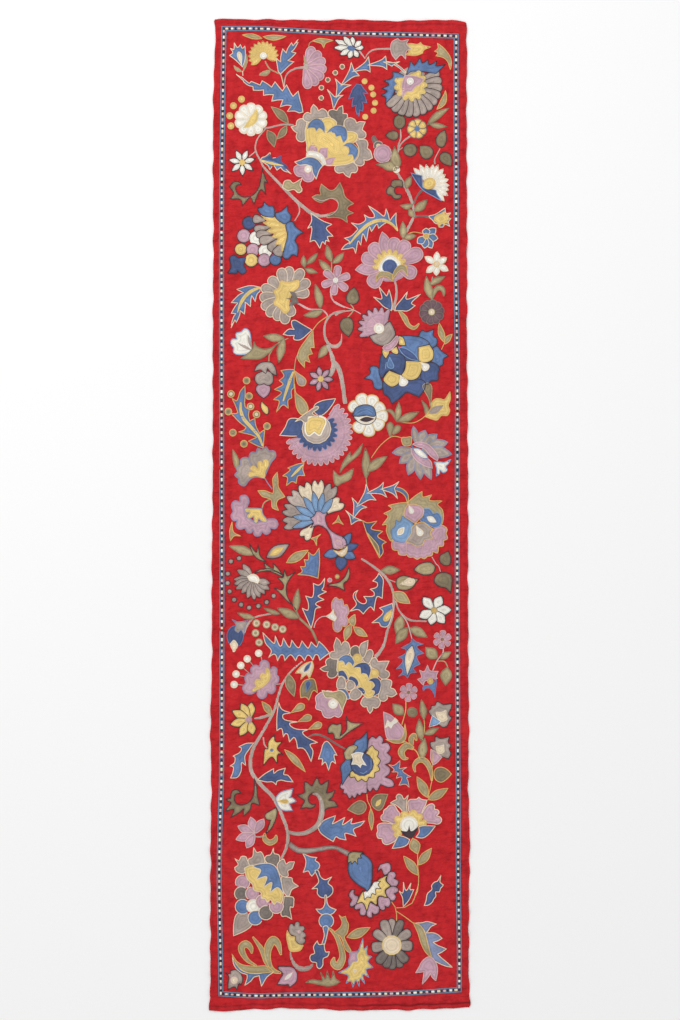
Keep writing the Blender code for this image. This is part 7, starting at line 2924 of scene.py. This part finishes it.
def crowned_bud(sew):
    """A grey-brown crown over a yellow sepal on a bent stem."""
    sew.stem(((290.1, 950.5), (291.6, 958.6), (296.2, 966.0), (302.7, 969.0), (309.2, 967.5),
            (313.2, 963.8)), 1.6, 3.0, 4.6, 5.6, 4.8, 1.8, thread="taupe")
    sew.shape(((287.3, 930.4, 1), (291.6, 936.6), (296.0, 934.9, 1), (296.4, 941.1), (303.2, 945.3, 1),
            (301.2, 949.2), (298.1, 951.0), (290.5, 951.0), (287.9, 943.8),
            (286.6, 936.4)), "yellow", "gold")
    sew.shape(((288.6, 929.4), (289.4, 925.2), (291.8, 923.4), (294.2, 926.0, 1), (295.1, 922.6),
            (297.4, 921.4), (299.6, 922.8), (299.8, 926.0, 1), (303.0, 925.8), (304.8, 928.3),
            (302.8, 931.4, 1), (305.2, 933.0), (306.0, 936.0), (303.6, 937.9, 1), (305.6, 940.2),
            (303.0, 943.8), (298.6, 943.6), (295.6, 940.0), (295.6, 936.4, 1), (292.4, 935.2),
            (289.8, 933.4)), "taupe", "dark", edge_width=0.0014)
    sew.disc((299.2, 931.6), 1.8, "pink")


def corner_curls(sew):
    """Curled grey-green leaves in the near left corner."""
    for spine, widths in (
        (((256.4, 965.7), (248.1, 960.7), (242.7, 953.1), (241.6, 946.8), (246.1, 943.8),
                (250.7, 947.7), (251.8, 953.1)), (1.0, 3.4, 5.4, 6.2, 6.6, 4.6, 1.0)),
        (((252.9, 937.0), (261.2, 948.5), (266.8, 960.7), (272.5, 969.9), (280.7, 972.7)),
                (1.0, 4.2, 5.8, 4.4, 1.2)),
        (((271.0, 967.9), (267.9, 956.8), (268.6, 946.6), (273.3, 940.3), (278.1, 944.2),
                (281.0, 954.6)), (2.6, 5.0, 7.6, 8.2, 5.6, 1.0)),
    ):
        sew.stem(spine, *widths, thread="khaki", edge="gold")


def corner_wing_leaf(sew):
    """A grey-green leaf with blue teeth below it."""
    sew.shape(((232.4, 957.0, 1), (235.2, 962.3), (240.7, 969.4), (248.1, 972.7), (257.4, 973.6),
            (266.6, 972.1), (273.8, 971.8, 1), (267.7, 976.2), (264.8, 980.1), (261.5, 986.2, 1),
            (260.1, 979.9), (259.2, 975.5, 1), (253.7, 977.3), (250.9, 980.8), (244.8, 985.3, 1),
            (247.2, 978.1), (247.0, 974.4, 1), (239.8, 971.8), (234.2, 965.1)), "blue", "cream")
    sew.shape(((231.9, 953.8, 1), (237.0, 961.4), (244.4, 965.1), (255.5, 966.2), (266.6, 966.0),
            (274.2, 971.6, 1), (264.8, 972.7), (255.5, 973.1), (248.1, 972.5), (240.7, 969.0),
            (235.2, 962.5)), "khaki", "gold")


def corner_buds(sew):
    """A grey-brown bud and a mauve tulip at the near end."""
    sew.shape(((225.2, 972.5, 1), (230.2, 973.6), (230.5, 970.8, 1), (235.2, 969.5), (238.7, 971.4),
            (241.4, 974.4), (242.7, 979.2), (241.4, 984.9, 1), (238.9, 983.6), (237.0, 989.9, 1),
            (234.4, 986.6), (227.8, 989.5, 1), (228.1, 982.7), (228.9, 976.6)), "taupe", "dark")
    sew.disc((234.2, 980.1), 3.6, "cream", "pink")
    sew.shape(((277.9, 966.2, 1), (285.1, 966.2), (292.7, 967.3), (296.9, 972.5), (297.3, 978.2),
            (295.3, 982.9), (289.3, 987.7, 1), (288.3, 984.2), (285.1, 984.7), (277.0, 984.3, 1),
            (280.5, 978.1), (282.9, 973.4), (278.6, 969.4)), "mauve", "dark")
    sew.leaf((284.4, 979.9), (292.9, 972.1), 3.8, "white", "pink")


def near_grass(sew):
    """A tuft of grey-green blades at the near end."""
    sew.shape(((305.6, 982.3, 1), (311.9, 979.4), (318.4, 980.3), (322.3, 979.9), (320.5, 972.1, 1),
            (324.0, 977.3), (325.6, 978.1), (327.2, 970.7, 1), (329.5, 977.7), (331.5, 978.4),
            (333.2, 970.3, 1), (335.4, 978.1), (340.1, 981.6, 1), (335.1, 984.7), (327.7, 986.1),
            (320.3, 984.7), (311.0, 982.9)), "khaki", "olive")


def near_fern(sew):
    """A grey-green plant with a hooked leaf and a side leaf."""
    sew.stem(((329.0, 928.0), (336.0, 935.5), (340.6, 946.6), (342.5, 957.4), (338.2, 965.8),
            (333.2, 962.8), (334.2, 957.4)), 1.0, 3.8, 4.8, 6.0, 7.8, 5.6, 1.0, thread="khaki", edge="gold")
    sew.shape(((339.0, 914.8, 1), (342.0, 917.2), (345.4, 916.2, 1), (346.8, 920.7), (348.6, 924.6),
            (347.2, 932.7), (344.4, 936.4), (345.8, 941.0), (351.0, 950.5, 1), (348.9, 952.2),
            (345.2, 948.6), (342.4, 940.2), (339.6, 935.6), (334.3, 932.5), (337.0, 930.2),
            (340.8, 926.5), (342.0, 921.5)), "khaki", "gold")
    sew.leaf((347.0, 937.2), (370.0, 927.4), 8.8, "khaki", "gold", bend=-0.6)


def yellow_chrysanthemum(sew):
    """A yellow flower with sharp blue-tipped petals and a mauve calyx."""
    sew.shape(((362.9, 938.1, 1), (363.7, 948.6), (367.4, 945.9, 1), (366.9, 954.2), (371.6, 956.4, 1),
            (367.8, 961.4), (372.9, 967.4, 1), (366.0, 969.4), (368.7, 977.1, 1), (362.8, 974.5),
            (364.8, 983.6, 1), (360.0, 978.2), (359.2, 986.4, 1), (355.8, 980.1), (353.1, 987.3, 1),
            (350.7, 981.0), (346.1, 983.2, 1), (348.0, 975.3), (338.7, 972.5, 1), (345.9, 968.8),
            (349.1, 966.0), (351.7, 959.6), (355.9, 959.6), (354.9, 955.1),
            (359.2, 948.6)), "yellow", "light_blue")
    sew.shape(((348.7, 951.0, 1), (353.5, 951.6), (359.2, 950.3, 1), (356.5, 955.1), (357.2, 960.5),
            (352.6, 961.8), (349.2, 966.8, 1), (348.7, 960.5),
            (349.8, 955.9)), "mauve", "light_blue", edge_width=0.0013)
    sew.disc((354.9, 970.7), 2.0, "cream")


def near_daisy(sew):
    """A grey-brown daisy of twelve petals around a cream disc."""
    centre = (391.7, 945.0)
    for tips, width, thread in (
        (((391.7, 918.3),), 8.2, "taupe"),
        (((401.7, 919.6), (400.8, 967.5), (392.1, 969.6), (385.4, 967.9)), 8.4, "grey"),
        (((407.1, 961.7), (377.1, 962.9)), 9.6, "grey"),
        (((382.9, 919.6), (373.8, 930.8), (410.4, 930.8)), 9.8, "taupe"),
        (((371.3, 947.5), (412.9, 945.8)), 11.0, "taupe"),
    ):
        sew.rays("long", centre, tips, 5.0, width, thread, "dark")
    sew.disc(centre, 9.6, "cream", "yellow")


def near_right_wing(sew):
    """A grey-green leaf with blue teeth, and the gold stems that carry it."""
    for spine in (
        ((391.4, 901.5), (395.1, 906.8), (396.6, 914.2), (396.6, 920.7)), ((396.4, 911.1),
                (405.3, 917.0), (413.4, 923.1)),
        ((418.7, 880.0), (417.5, 891.1), (412.0, 903.1), (404.4, 907.3), (396.2, 907.8)),
    ):
        sew.line(spine, "gold", 0.0019)
    sew.shape(((415.3, 923.0, 1), (422.0, 922.6), (427.5, 921.6), (436.4, 923.8, 1), (431.2, 926.4),
            (428.4, 930.0), (426.4, 932.9, 1), (433.1, 932.7), (437.9, 934.6), (442.1, 938.3, 1),
            (437.7, 940.7), (433.1, 942.2, 1), (437.7, 945.3), (446.4, 948.8, 1), (441.4, 952.2),
            (437.5, 954.0, 1), (442.3, 958.6), (446.9, 962.3), (452.3, 967.1, 1), (445.1, 965.7),
            (437.7, 962.5), (432.1, 958.2), (429.4, 949.4), (427.0, 940.1), (424.3, 930.9),
            (420.1, 925.8)), "slate", "cream")
    sew.shape(((413.3, 922.7, 1), (420.1, 925.3), (424.4, 931.8), (427.1, 941.1), (429.5, 950.3),
            (432.3, 958.2, 1), (425.7, 952.3), (421.0, 943.1), (417.8, 932.9)), "khaki", "gold")
    sew.shape(((428.0, 956.8), (433.2, 958.6), (436.9, 965.1), (437.5, 971.6), (435.8, 980.6, 1),
            (432.1, 977.1), (430.3, 973.4, 1), (427.5, 978.1), (422.3, 984.0, 1), (423.3, 977.1),
            (424.0, 971.6, 1), (415.7, 972.7, 1), (419.0, 967.0), (422.0, 961.4)), "mauve", "pink")


def near_blue_tulips(sew):
    """A small blue tulip and a wavy blue leaf."""
    sew.shape(((403.5, 881.9, 1), (404.4, 887.4), (406.7, 890.4), (411.0, 882.8, 1), (409.9, 889.3),
            (413.8, 889.6, 1), (411.8, 893.9), (409.0, 899.9), (403.3, 906.6, 1), (402.5, 897.6),
            (399.0, 890.9, 1), (403.0, 892.6)), "dark_blue", "cream")
    sew.shape(((440.9, 875.0, 1), (440.0, 882.1), (443.2, 884.9), (440.5, 888.3), (439.3, 891.8),
            (435.4, 892.0), (435.9, 896.0), (433.5, 899.2), (432.4, 901.9), (428.4, 905.0),
            (424.3, 905.4, 1), (426.1, 900.4), (427.3, 893.9), (431.2, 890.2), (432.1, 888.3),
            (431.6, 885.6), (434.4, 882.1), (437.7, 880.7)), "dark_blue", "cream")


def near_pomegranate(sew):
    """A blue gourd opening into white, yellow and mauve petals."""
    for row in (
        ((377.4, 872.6, 1), (378.4, 867.6), (380.4, 864.4), (384.4, 863.0), (388.4, 862.6),
                (390.7, 865.4), (390.6, 870.2), (388.2, 873.4), (384.0, 874.8), (382.0, 870.0),
                (380.4, 869.2)),
        ((388.6, 872.6), (394.4, 871.8), (396.0, 875.6), (394.4, 878.4, 1), (398.6, 881.0),
                (397.4, 885.2), (394.0, 887.0), (390.6, 886.0), (386.6, 880.6)),
        ((390.1, 886.7), (394.2, 886.1), (398.3, 888.7), (397.5, 892.2), (394.2, 893.5, 1),
                (396.2, 896.7), (394.4, 900.2), (390.5, 900.2), (386.1, 894.8), (385.7, 890.2)),
        ((379.2, 896.5), (386.8, 897.0), (389.8, 899.2), (390.7, 903.1), (388.3, 907.0),
                (385.0, 906.1, 1), (385.4, 908.9), (382.6, 910.3), (379.2, 907.9), (377.7, 902.2)),
        ((369.7, 902.0), (375.7, 905.0), (379.2, 906.8), (378.7, 912.4), (374.8, 914.6),
                (372.0, 912.6, 1), (372.2, 917.2), (369.2, 917.7), (366.6, 915.2), (366.6, 910.5),
                (368.3, 905.0)),
        ((356.5, 903.1), (362.8, 902.0), (366.3, 908.7), (366.3, 912.6), (364.6, 915.3),
                (361.2, 915.3), (359.2, 912.4), (360.0, 908.7, 1), (356.3, 909.8), (354.2, 907.8)),
        ((354.8, 889.3, 1), (351.5, 889.8), (349.1, 893.0), (349.1, 896.7), (351.5, 899.6),
                (349.4, 904.1), (351.2, 906.8), (354.6, 905.3), (357.6, 902.2), (358.5, 896.5),
                (354.9, 894.8), (353.9, 892.2)),
    ):
        sew.shape(row, "mauve", "dark")
    sew.shape(((387.5, 874.5, 1), (385.9, 880.4), (390.8, 885.9, 1), (385.2, 890.3), (387.2, 897.4, 1),
            (378.4, 896.4), (376.8, 905.8, 1), (370.4, 901.8), (366.9, 911.0, 1), (362.9, 902.6),
            (356.4, 903.4, 1), (359.4, 896.8), (362.8, 890.2, 1), (366.0, 893.0), (374.0, 884.0),
            (379.0, 879.0)), "yellow", "dark")
    sew.shape(((380.6, 881.2, 1), (378.0, 884.6), (381.0, 888.5, 1), (375.8, 888.5), (375.9, 894.6, 1),
            (372.0, 893.4), (370.6, 897.4, 1), (367.4, 896.7), (364.7, 899.7, 1), (363.0, 891.4, 1),
            (366.9, 890.2), (371.6, 885.2), (373.9, 881.5)), "white", "dark")
    sew.shape(((351.8, 854.5), (361.5, 853.6), (367.6, 856.9), (372.0, 862.9), (372.4, 871.0),
            (372.0, 879.3), (370.3, 886.7), (367.0, 891.4, 1), (364.4, 888.4), (357.9, 884.5),
            (350.7, 877.7), (348.0, 870.1), (348.9, 862.1)), "blue", "dark")
    sew.shape(((348.7, 853.6), (353.5, 851.4), (363.3, 852.3, 1), (360.4, 854.9), (361.5, 858.2, 1),
            (357.8, 858.1), (357.7, 864.3, 1), (354.8, 861.0), (351.7, 864.0, 1), (350.7, 861.4),
            (347.8, 863.4, 1), (347.8, 858.1)), "khaki", "dark")


def big_mauve_flower(sew):
    """A large flower: mauve heart petals around a yellow ring and a white disc."""
    sew.line(((417.6, 853.1), (417.6, 865.0), (418.7, 875.2), (418.4, 884.9),
            (413.8, 899.9)), "gold", 0.0019)
    sew.leaf((412.7, 838.3), (417.7, 853.8), 10.6, "khaki", "gold", bend=-0.3)
    sew.leaves((((418.1, 864.9), (431.4, 848.1), 8.2, -0.3), ((417.9, 875.1),
            (403.6, 856.0), 8.6, -0.3)), "khaki", "gold")
    for row in (
        ((399.8, 830.3), (394.2, 828.5), (392.7, 824.2, 1), (386.8, 822.9), (380.3, 823.4),
                (377.4, 825.7), (377.9, 830.7, 1), (376.8, 834.0), (377.9, 837.9), (382.0, 838.6, 1),
                (382.7, 842.5), (386.4, 844.6), (391.6, 842.9), (396.2, 839.4)),
        ((395.1, 823.8), (387.7, 821.2), (382.2, 820.5), (380.9, 816.6), (383.5, 813.7, 1),
                (383.8, 810.5), (386.8, 808.1, 1), (389.6, 805.3), (394.2, 805.1), (397.2, 810.0),
                (399.9, 814.8)),
        ((409.6, 811.8), (408.1, 806.3), (407.9, 801.8), (409.9, 799.6), (413.3, 799.2, 1),
                (416.4, 799.2), (418.8, 797.2, 1), (421.8, 799.4), (427.0, 800.1, 1), (425.3, 805.3),
                (423.1, 809.0), (420.3, 814.0)),
        ((421.6, 816.1), (423.8, 810.0), (427.5, 805.3), (432.1, 803.7), (434.5, 805.7),
                (434.2, 809.0, 1), (437.9, 810.0), (439.0, 812.9), (436.4, 815.7, 1), (440.6, 817.4),
                (441.4, 821.2), (437.9, 824.0), (432.1, 823.1), (426.0, 822.2)),
    ):
        sew.shape(row, "mauve", "cream")
    sew.shape(((403.6, 812.7, 1), (399.9, 808.1), (395.3, 804.6), (390.3, 802.9, 1), (394.2, 800.5),
            (397.0, 799.2), (396.1, 796.8), (398.4, 794.0), (401.8, 795.5), (404.0, 799.2),
            (408.3, 795.0, 1), (406.8, 800.7), (406.4, 806.3), (407.3, 812.4, 1)), "taupe", "cream")
    sew.shape(((409.0, 824.8), (402.0, 834.0), (399.0, 837.0), (395.6, 837.2), (394.0, 834.0),
            (395.7, 831.2, 1), (392.5, 829.2), (392.4, 824.8), (396.1, 822.9, 1), (394.4, 819.2),
            (396.1, 816.2), (400.9, 816.6, 1), (401.1, 812.5), (404.4, 811.2), (408.1, 813.3, 1),
            (411.8, 810.2), (415.5, 810.4), (417.3, 813.8, 1), (421.2, 813.9), (422.7, 817.2),
            (421.0, 820.3, 1), (425.5, 819.7), (426.4, 823.8), (423.8, 826.8),
            (418.3, 826.2)), "yellow", "gold")
    sew.disc((409.0, 825.1), 9.0, "white", "cream")
    sew.shape(((418.7, 826.8, 1), (423.8, 825.7), (435.3, 826.0, 1), (431.2, 831.4), (426.6, 835.9),
            (422.0, 837.9), (416.0, 837.0, 1), (419.2, 832.2)), "blue", "cream")
    sew.shape(((398.6, 835.4, 1), (404.4, 836.8), (409.7, 839.6, 1), (407.2, 844.4), (401.6, 847.1),
            (392.2, 848.3, 1), (395.1, 842.3)), "blue", "cream")
    sew.shape(((400.5, 830.5, 1), (407.2, 831.0), (409.0, 825.3, 1), (411.4, 831.2), (419.0, 825.9, 1),
            (415.5, 834.2), (411.3, 839.0, 1), (404.4, 836.0)), "dark")


def near_side_leaves(sew):
    """Leaves and a small blue saw-edged leaf on thin gold stems."""
    for spine in (
        ((366.9, 793.8), (367.4, 800.7), (370.3, 806.3), (371.1, 810.0)), ((433.0, 750.0),
                (432.6, 764.0), (431.7, 781.3), (429.8, 790.5), (428.2, 797.7)),
    ):
        sew.line(spine, "gold", 0.0018)
    sew.shape(((347.6, 809.7, 1), (352.6, 804.4), (359.2, 800.7), (364.8, 802.6), (366.2, 808.1),
            (362.8, 812.9), (357.2, 814.0), (350.7, 811.1)), "olive", "khaki")
    sew.shape(((387.7, 794.4, 1), (385.1, 801.6), (382.2, 808.1), (378.0, 810.3), (372.7, 806.3),
            (371.3, 800.7), (374.8, 795.5), (380.3, 794.0)), "olive", "khaki")
    sew.leaf((375.7, 806.3), (381.3, 798.9), 4.4, "yellow")
    sew.leaf((370.9, 808.6), (371.6, 830.3), 4.8, "khaki", "gold")
    sew.shape(((388.8, 764.6, 1), (394.2, 765.2), (399.9, 760.7, 1), (399.8, 765.6), (399.4, 768.5),
            (407.0, 767.2, 1), (402.5, 770.7), (406.2, 774.1), (411.0, 776.7, 1), (406.7, 777.6),
            (408.1, 781.3), (409.2, 787.4, 1), (405.3, 784.1), (399.0, 785.2, 1), (401.6, 779.6),
            (401.6, 776.7), (396.2, 778.2, 1), (397.9, 772.2), (392.0, 772.0, 1),
            (394.2, 769.4)), "blue", "cream", edge_width=0.0012)
    sew.stem(((415.2, 771.8), (414.0, 766.0), (417.0, 761.2), (422.2, 759.6), (427.4, 763.6),
            (430.8, 771.6), (431.8, 780.6)), 1.0, 2.8, 4.2, 5.0, 5.2, 3.8, 1.0, thread="khaki", edge="gold")
    sew.leaves((((427.7, 797.4), (417.0, 776.7), 9.0, -0.3), ((427.9, 799.6),
            (447.9, 788.3), 8.6, -0.3)), "khaki", "gold")
    sew.shape(((434.0, 774.1), (435.8, 768.8), (441.4, 767.1), (447.1, 769.6), (451.4, 773.9, 1),
            (447.1, 778.7), (441.4, 782.2), (435.8, 779.6)), "olive", "gold")


# What each step of the work embroiders

FAR_END = (
    far_left_sprigs,
    fringed_bud,
    yellow_fan_flower,
    upright_blue_saz,
    mauve_fan_flower,
    hooked_leaf,
    long_far_saz,
    far_left_berries,
    white_rose,
    far_main_stem,
    far_olive_leaves,
    white_star_daisy,
    ribbed_far_leaf,
    far_acanthus,
    far_lobed_leaf,
    curled_acanthus,
    white_daisy,
    capped_flame_bud,
    far_right_leaf,
    ring_berries,
    far_thorny_vine,
    dark_blue_leaf,
    far_dot_row,
    corner_palmette,
    corner_leaves,
    far_palmette,
    far_palmette_foot,
)
FAR_LEFT = (
    far_grape_palmette,
    five_point_leaf,
    far_left_leaf_trios,
    mauve_six_petal,
    far_carnation,
    ribbed_left_saz,
    left_stem_leaf,
    striped_tulip,
    curling_brown_vine,
    capped_heart_bud,
    mauve_star,
)
FAR_RIGHT = (
    ribbed_right_saz,
    small_carnation,
    right_stem_leaves,
    blue_star_flower,
    mauve_crown_flower,
    three_point_leaves,
    white_six_petal,
    plum_flower,
    olive_leaf_pair,
    mauve_side_fan,
    great_blue_flower,
    far_round_leaves,
    yellow_seven_petal,
    thistle_bud,
    thistle_stem,
    half_aster,
)
NEAR_LEFT = (
    ringed_saz,
    yellow_drop,
    upper_left_saz,
    shaggy_mauve_flower,
    left_taupe_fan,
    three_lobed_leaf,
    mauve_scalloped_fan,
    peacock_fan,
    peacock_tail,
    small_trefoils,
    small_ribbed_saz,
    mid_left_leaves,
    blue_fan_leaf,
    ringed_half_daisy,
    left_thorny_vine,
    drooping_blue_bud,
    left_rings,
    left_blue_saz_pair,
    butterfly_blossom,
    mauve_pin_flower,
    left_hanging_tulips,
    left_yellow_flowers,
    main_left_stem,
    lower_left_saz,
    blue_side_saz,
    hanging_blue_tulip,
    left_palmette_blossom,
)
NEAR_RIGHT = (
    white_scalloped_flower,
    mid_right_sprig,
    yellow_lobed_flower,
    heart_leaf_vine,
    spiky_taupe_flower,
    white_trefoil,
    mid_leaf_sprays,
    near_thorny_vine,
    dark_saw_leaf,
    pansy,
    near_round_leaves,
    mid_right_stem,
    pale_olive_leaves,
    curved_blue_saz,
    mid_leaf_trio,
    blue_and_yellow_leaf,
    white_dark_edged_flower,
    lens_saz,
    small_mauve_flowers,
    mauve_crown,
    near_right_leaves,
    pale_lobed_flowers,
    striped_mauve_bud,
    near_right_scrolls,
    near_palmette,
    hooked_thorn,
)
NEAR_END = (
    pomegranate_blossom,
    blue_side_leaf,
    white_side_tulip,
    left_acanthus,
    left_mauve_star,
    spiral_acanthus,
    long_blue_saz,
    near_grape_palmette,
    blue_ornament_chain,
    crowned_bud,
    corner_curls,
    corner_wing_leaf,
    corner_buds,
    near_grass,
    near_fern,
    yellow_chrysanthemum,
    near_daisy,
    near_right_wing,
    near_blue_tulips,
    near_pomegranate,
    big_mauve_flower,
    near_side_leaves,
)

# The cut of the cloth, the stage and the picture
FLOOR_HALF = 12.0
FLOOR_GAP = 0.0004
FLOOR_COLOUR = (0.93, 0.93, 0.93, 1.0)
FLOOR_ROUGHNESS = 0.9
FLOOR_GLOSS = 0.1
SKY_COLOUR = (1.0, 1.0, 1.0, 1.0)
KEY_SIZE = 2.4
KEY_PLACE = (-1.2, 2.0, 3.0)
KEY_AIM = (0.0, 0.0, 0.0)
SENSOR_HEIGHT = 36.0
VIEW_REACH = 50.0
VIEW_MIDDLE = (0.0013, 0.0091)


# Operators


def stitch(motifs):
    """Work each motif in turn as its own piece, named after its function."""
    for motif in motifs:
        work = Embroidery(motif.__name__)
        motif(work)
        work.finish()


class SUZANI_OT_ground(bpy.types.Operator):
    """Lay the hemmed red ground cloth"""

    bl_idname = "suzani.ground"
    bl_label = "Ground Cloth"

    def execute(self, context):
        ground_cloth_piece()
        return {"FINISHED"}


class SUZANI_OT_border(bpy.types.Operator):
    """Work the border band of two blue lines and blocks"""

    bl_idname = "suzani.border"
    bl_label = "Border Band"

    def execute(self, context):
        border_band_piece()
        return {"FINISHED"}


class SUZANI_OT_far_end(bpy.types.Operator):
    """Embroider the far end's flowers and leaves"""

    bl_idname = "suzani.far_end"
    bl_label = "Far End"

    def execute(self, context):
        stitch(FAR_END)
        return {"FINISHED"}


class SUZANI_OT_far_left(bpy.types.Operator):
    """Embroider the far half's left side"""

    bl_idname = "suzani.far_left"
    bl_label = "Far Half, Left"

    def execute(self, context):
        stitch(FAR_LEFT)
        return {"FINISHED"}


class SUZANI_OT_far_right(bpy.types.Operator):
    """Embroider the far half's right side"""

    bl_idname = "suzani.far_right"
    bl_label = "Far Half, Right"

    def execute(self, context):
        stitch(FAR_RIGHT)
        return {"FINISHED"}


class SUZANI_OT_near_left(bpy.types.Operator):
    """Embroider the near half's left side"""

    bl_idname = "suzani.near_left"
    bl_label = "Near Half, Left"

    def execute(self, context):
        stitch(NEAR_LEFT)
        return {"FINISHED"}


class SUZANI_OT_near_right(bpy.types.Operator):
    """Embroider the near half's right side"""

    bl_idname = "suzani.near_right"
    bl_label = "Near Half, Right"

    def execute(self, context):
        stitch(NEAR_RIGHT)
        return {"FINISHED"}


class SUZANI_OT_near_end(bpy.types.Operator):
    """Embroider the near end's flowers and leaves"""

    bl_idname = "suzani.near_end"
    bl_label = "Near End"

    def execute(self, context):
        stitch(NEAR_END)
        return {"FINISHED"}


class SUZANI_OT_sheet(bpy.types.Operator):
    bl_idname = "suzani.sheet"
    bl_label = "Sheet of Cloth"

    def execute(self, context):
        return {"FINISHED"}


class SUZANI_OT_stage(bpy.types.Operator):
    """Set the pale floor, the light and the camera straight overhead"""

    bl_idname = "suzani.stage"
    bl_label = "Stage"

    def execute(self, context):
        given = context.scene.suzani_stage
        world = bpy.data.worlds.new("even_light")
        world.use_nodes = True
        sky = world.node_tree.nodes["Background"]
        sky.inputs["Color"].default_value = SKY_COLOUR
        sky.inputs["Strength"].default_value = given.sky_strength
        context.scene.world = world
        context.scene.view_settings.view_transform = "Standard"

        plane = bmesh.new()
        bmesh.ops.create_grid(plane, x_segments=1, y_segments=1, size=FLOOR_HALF)
        bmesh.ops.translate(plane, verts=plane.verts, vec=(0.0, 0.0, -FLOOR_GAP))
        mesh = bpy.data.meshes.new("floor")
        plane.to_mesh(mesh)
        plane.free()
        floor = bpy.data.objects.new("floor", mesh)
        context.scene.collection.objects.link(floor)
        paper, shader, __ = new_material("floor_white", FLOOR_ROUGHNESS)
        shader.inputs["Base Color"].default_value = FLOOR_COLOUR
        shader.inputs["Specular IOR Level"].default_value = FLOOR_GLOSS
        mesh.materials.append(paper)

        lamp = bpy.data.lights.new("key_light", "AREA")
        lamp.shape = "DISK"
        lamp.size = KEY_SIZE
        lamp.energy = given.key_power
        key = bpy.data.objects.new("key_light", lamp)
        context.scene.collection.objects.link(key)
        key.location = KEY_PLACE
        key.rotation_euler = (Vector(KEY_AIM) - key.location).to_track_quat("-Z", "Y").to_euler()

        lens = bpy.data.cameras.new("camera")
        lens.sensor_fit = "VERTICAL"
        lens.sensor_height = SENSOR_HEIGHT
        lens.lens = SENSOR_HEIGHT * given.camera_height / given.view_length
        lens.clip_end = VIEW_REACH
        camera = bpy.data.objects.new("camera", lens)
        context.scene.collection.objects.link(camera)
        camera.location = (*VIEW_MIDDLE, given.camera_height)
        context.scene.camera = camera
        return {"FINISHED"}


class SUZANI_PT_runner(bpy.types.Panel):
    """Buttons that build the runner step by step"""

    bl_label = "Suzani Runner"
    bl_idname = "SUZANI_PT_runner"
    bl_space_type = "VIEW_3D"
    bl_region_type = "UI"
    bl_category = "Suzani"

    def draw(self, context):
        column = self.layout.column(align=True)
        for operator in OPERATORS:
            column.operator(operator.bl_idname)
        for group in (context.scene.suzani_runner, context.scene.suzani_stage):
            for name in group.bl_rna.properties.keys():
                if name not in ("rna_type", "name"):
                    self.layout.prop(group, name)


OPERATORS = (
    SUZANI_OT_ground,
    SUZANI_OT_border,
    SUZANI_OT_far_end,
    SUZANI_OT_far_left,
    SUZANI_OT_far_right,
    SUZANI_OT_near_left,
    SUZANI_OT_near_right,
    SUZANI_OT_near_end,
    SUZANI_OT_stage,
    SUZANI_OT_sheet,
)
CLASSES = (RunnerSettings, StageSettings, *OPERATORS, SUZANI_PT_runner)


def register():
    """Add the settings, the operators and the panel."""
    for kind in CLASSES:
        bpy.utils.register_class(kind)
    bpy.types.Scene.suzani_runner = bpy.props.PointerProperty(type=RunnerSettings)
    bpy.types.Scene.suzani_stage = bpy.props.PointerProperty(type=StageSettings)


def unregister():
    """Take them away again."""
    del bpy.types.Scene.suzani_stage
    del bpy.types.Scene.suzani_runner
    for kind in reversed(CLASSES):
        bpy.utils.unregister_class(kind)


def main():
    """Build the runner."""
    register()
    bpy.ops.suzani.ground()
    bpy.ops.suzani.border()
    bpy.ops.suzani.far_end()
    bpy.ops.suzani.far_left()
    bpy.ops.suzani.far_right()
    bpy.ops.suzani.near_left()
    bpy.ops.suzani.near_right()
    bpy.ops.suzani.near_end()
    bpy.ops.suzani.stage()
    bpy.ops.suzani.sheet()


if __name__ == "__main__":
    main()
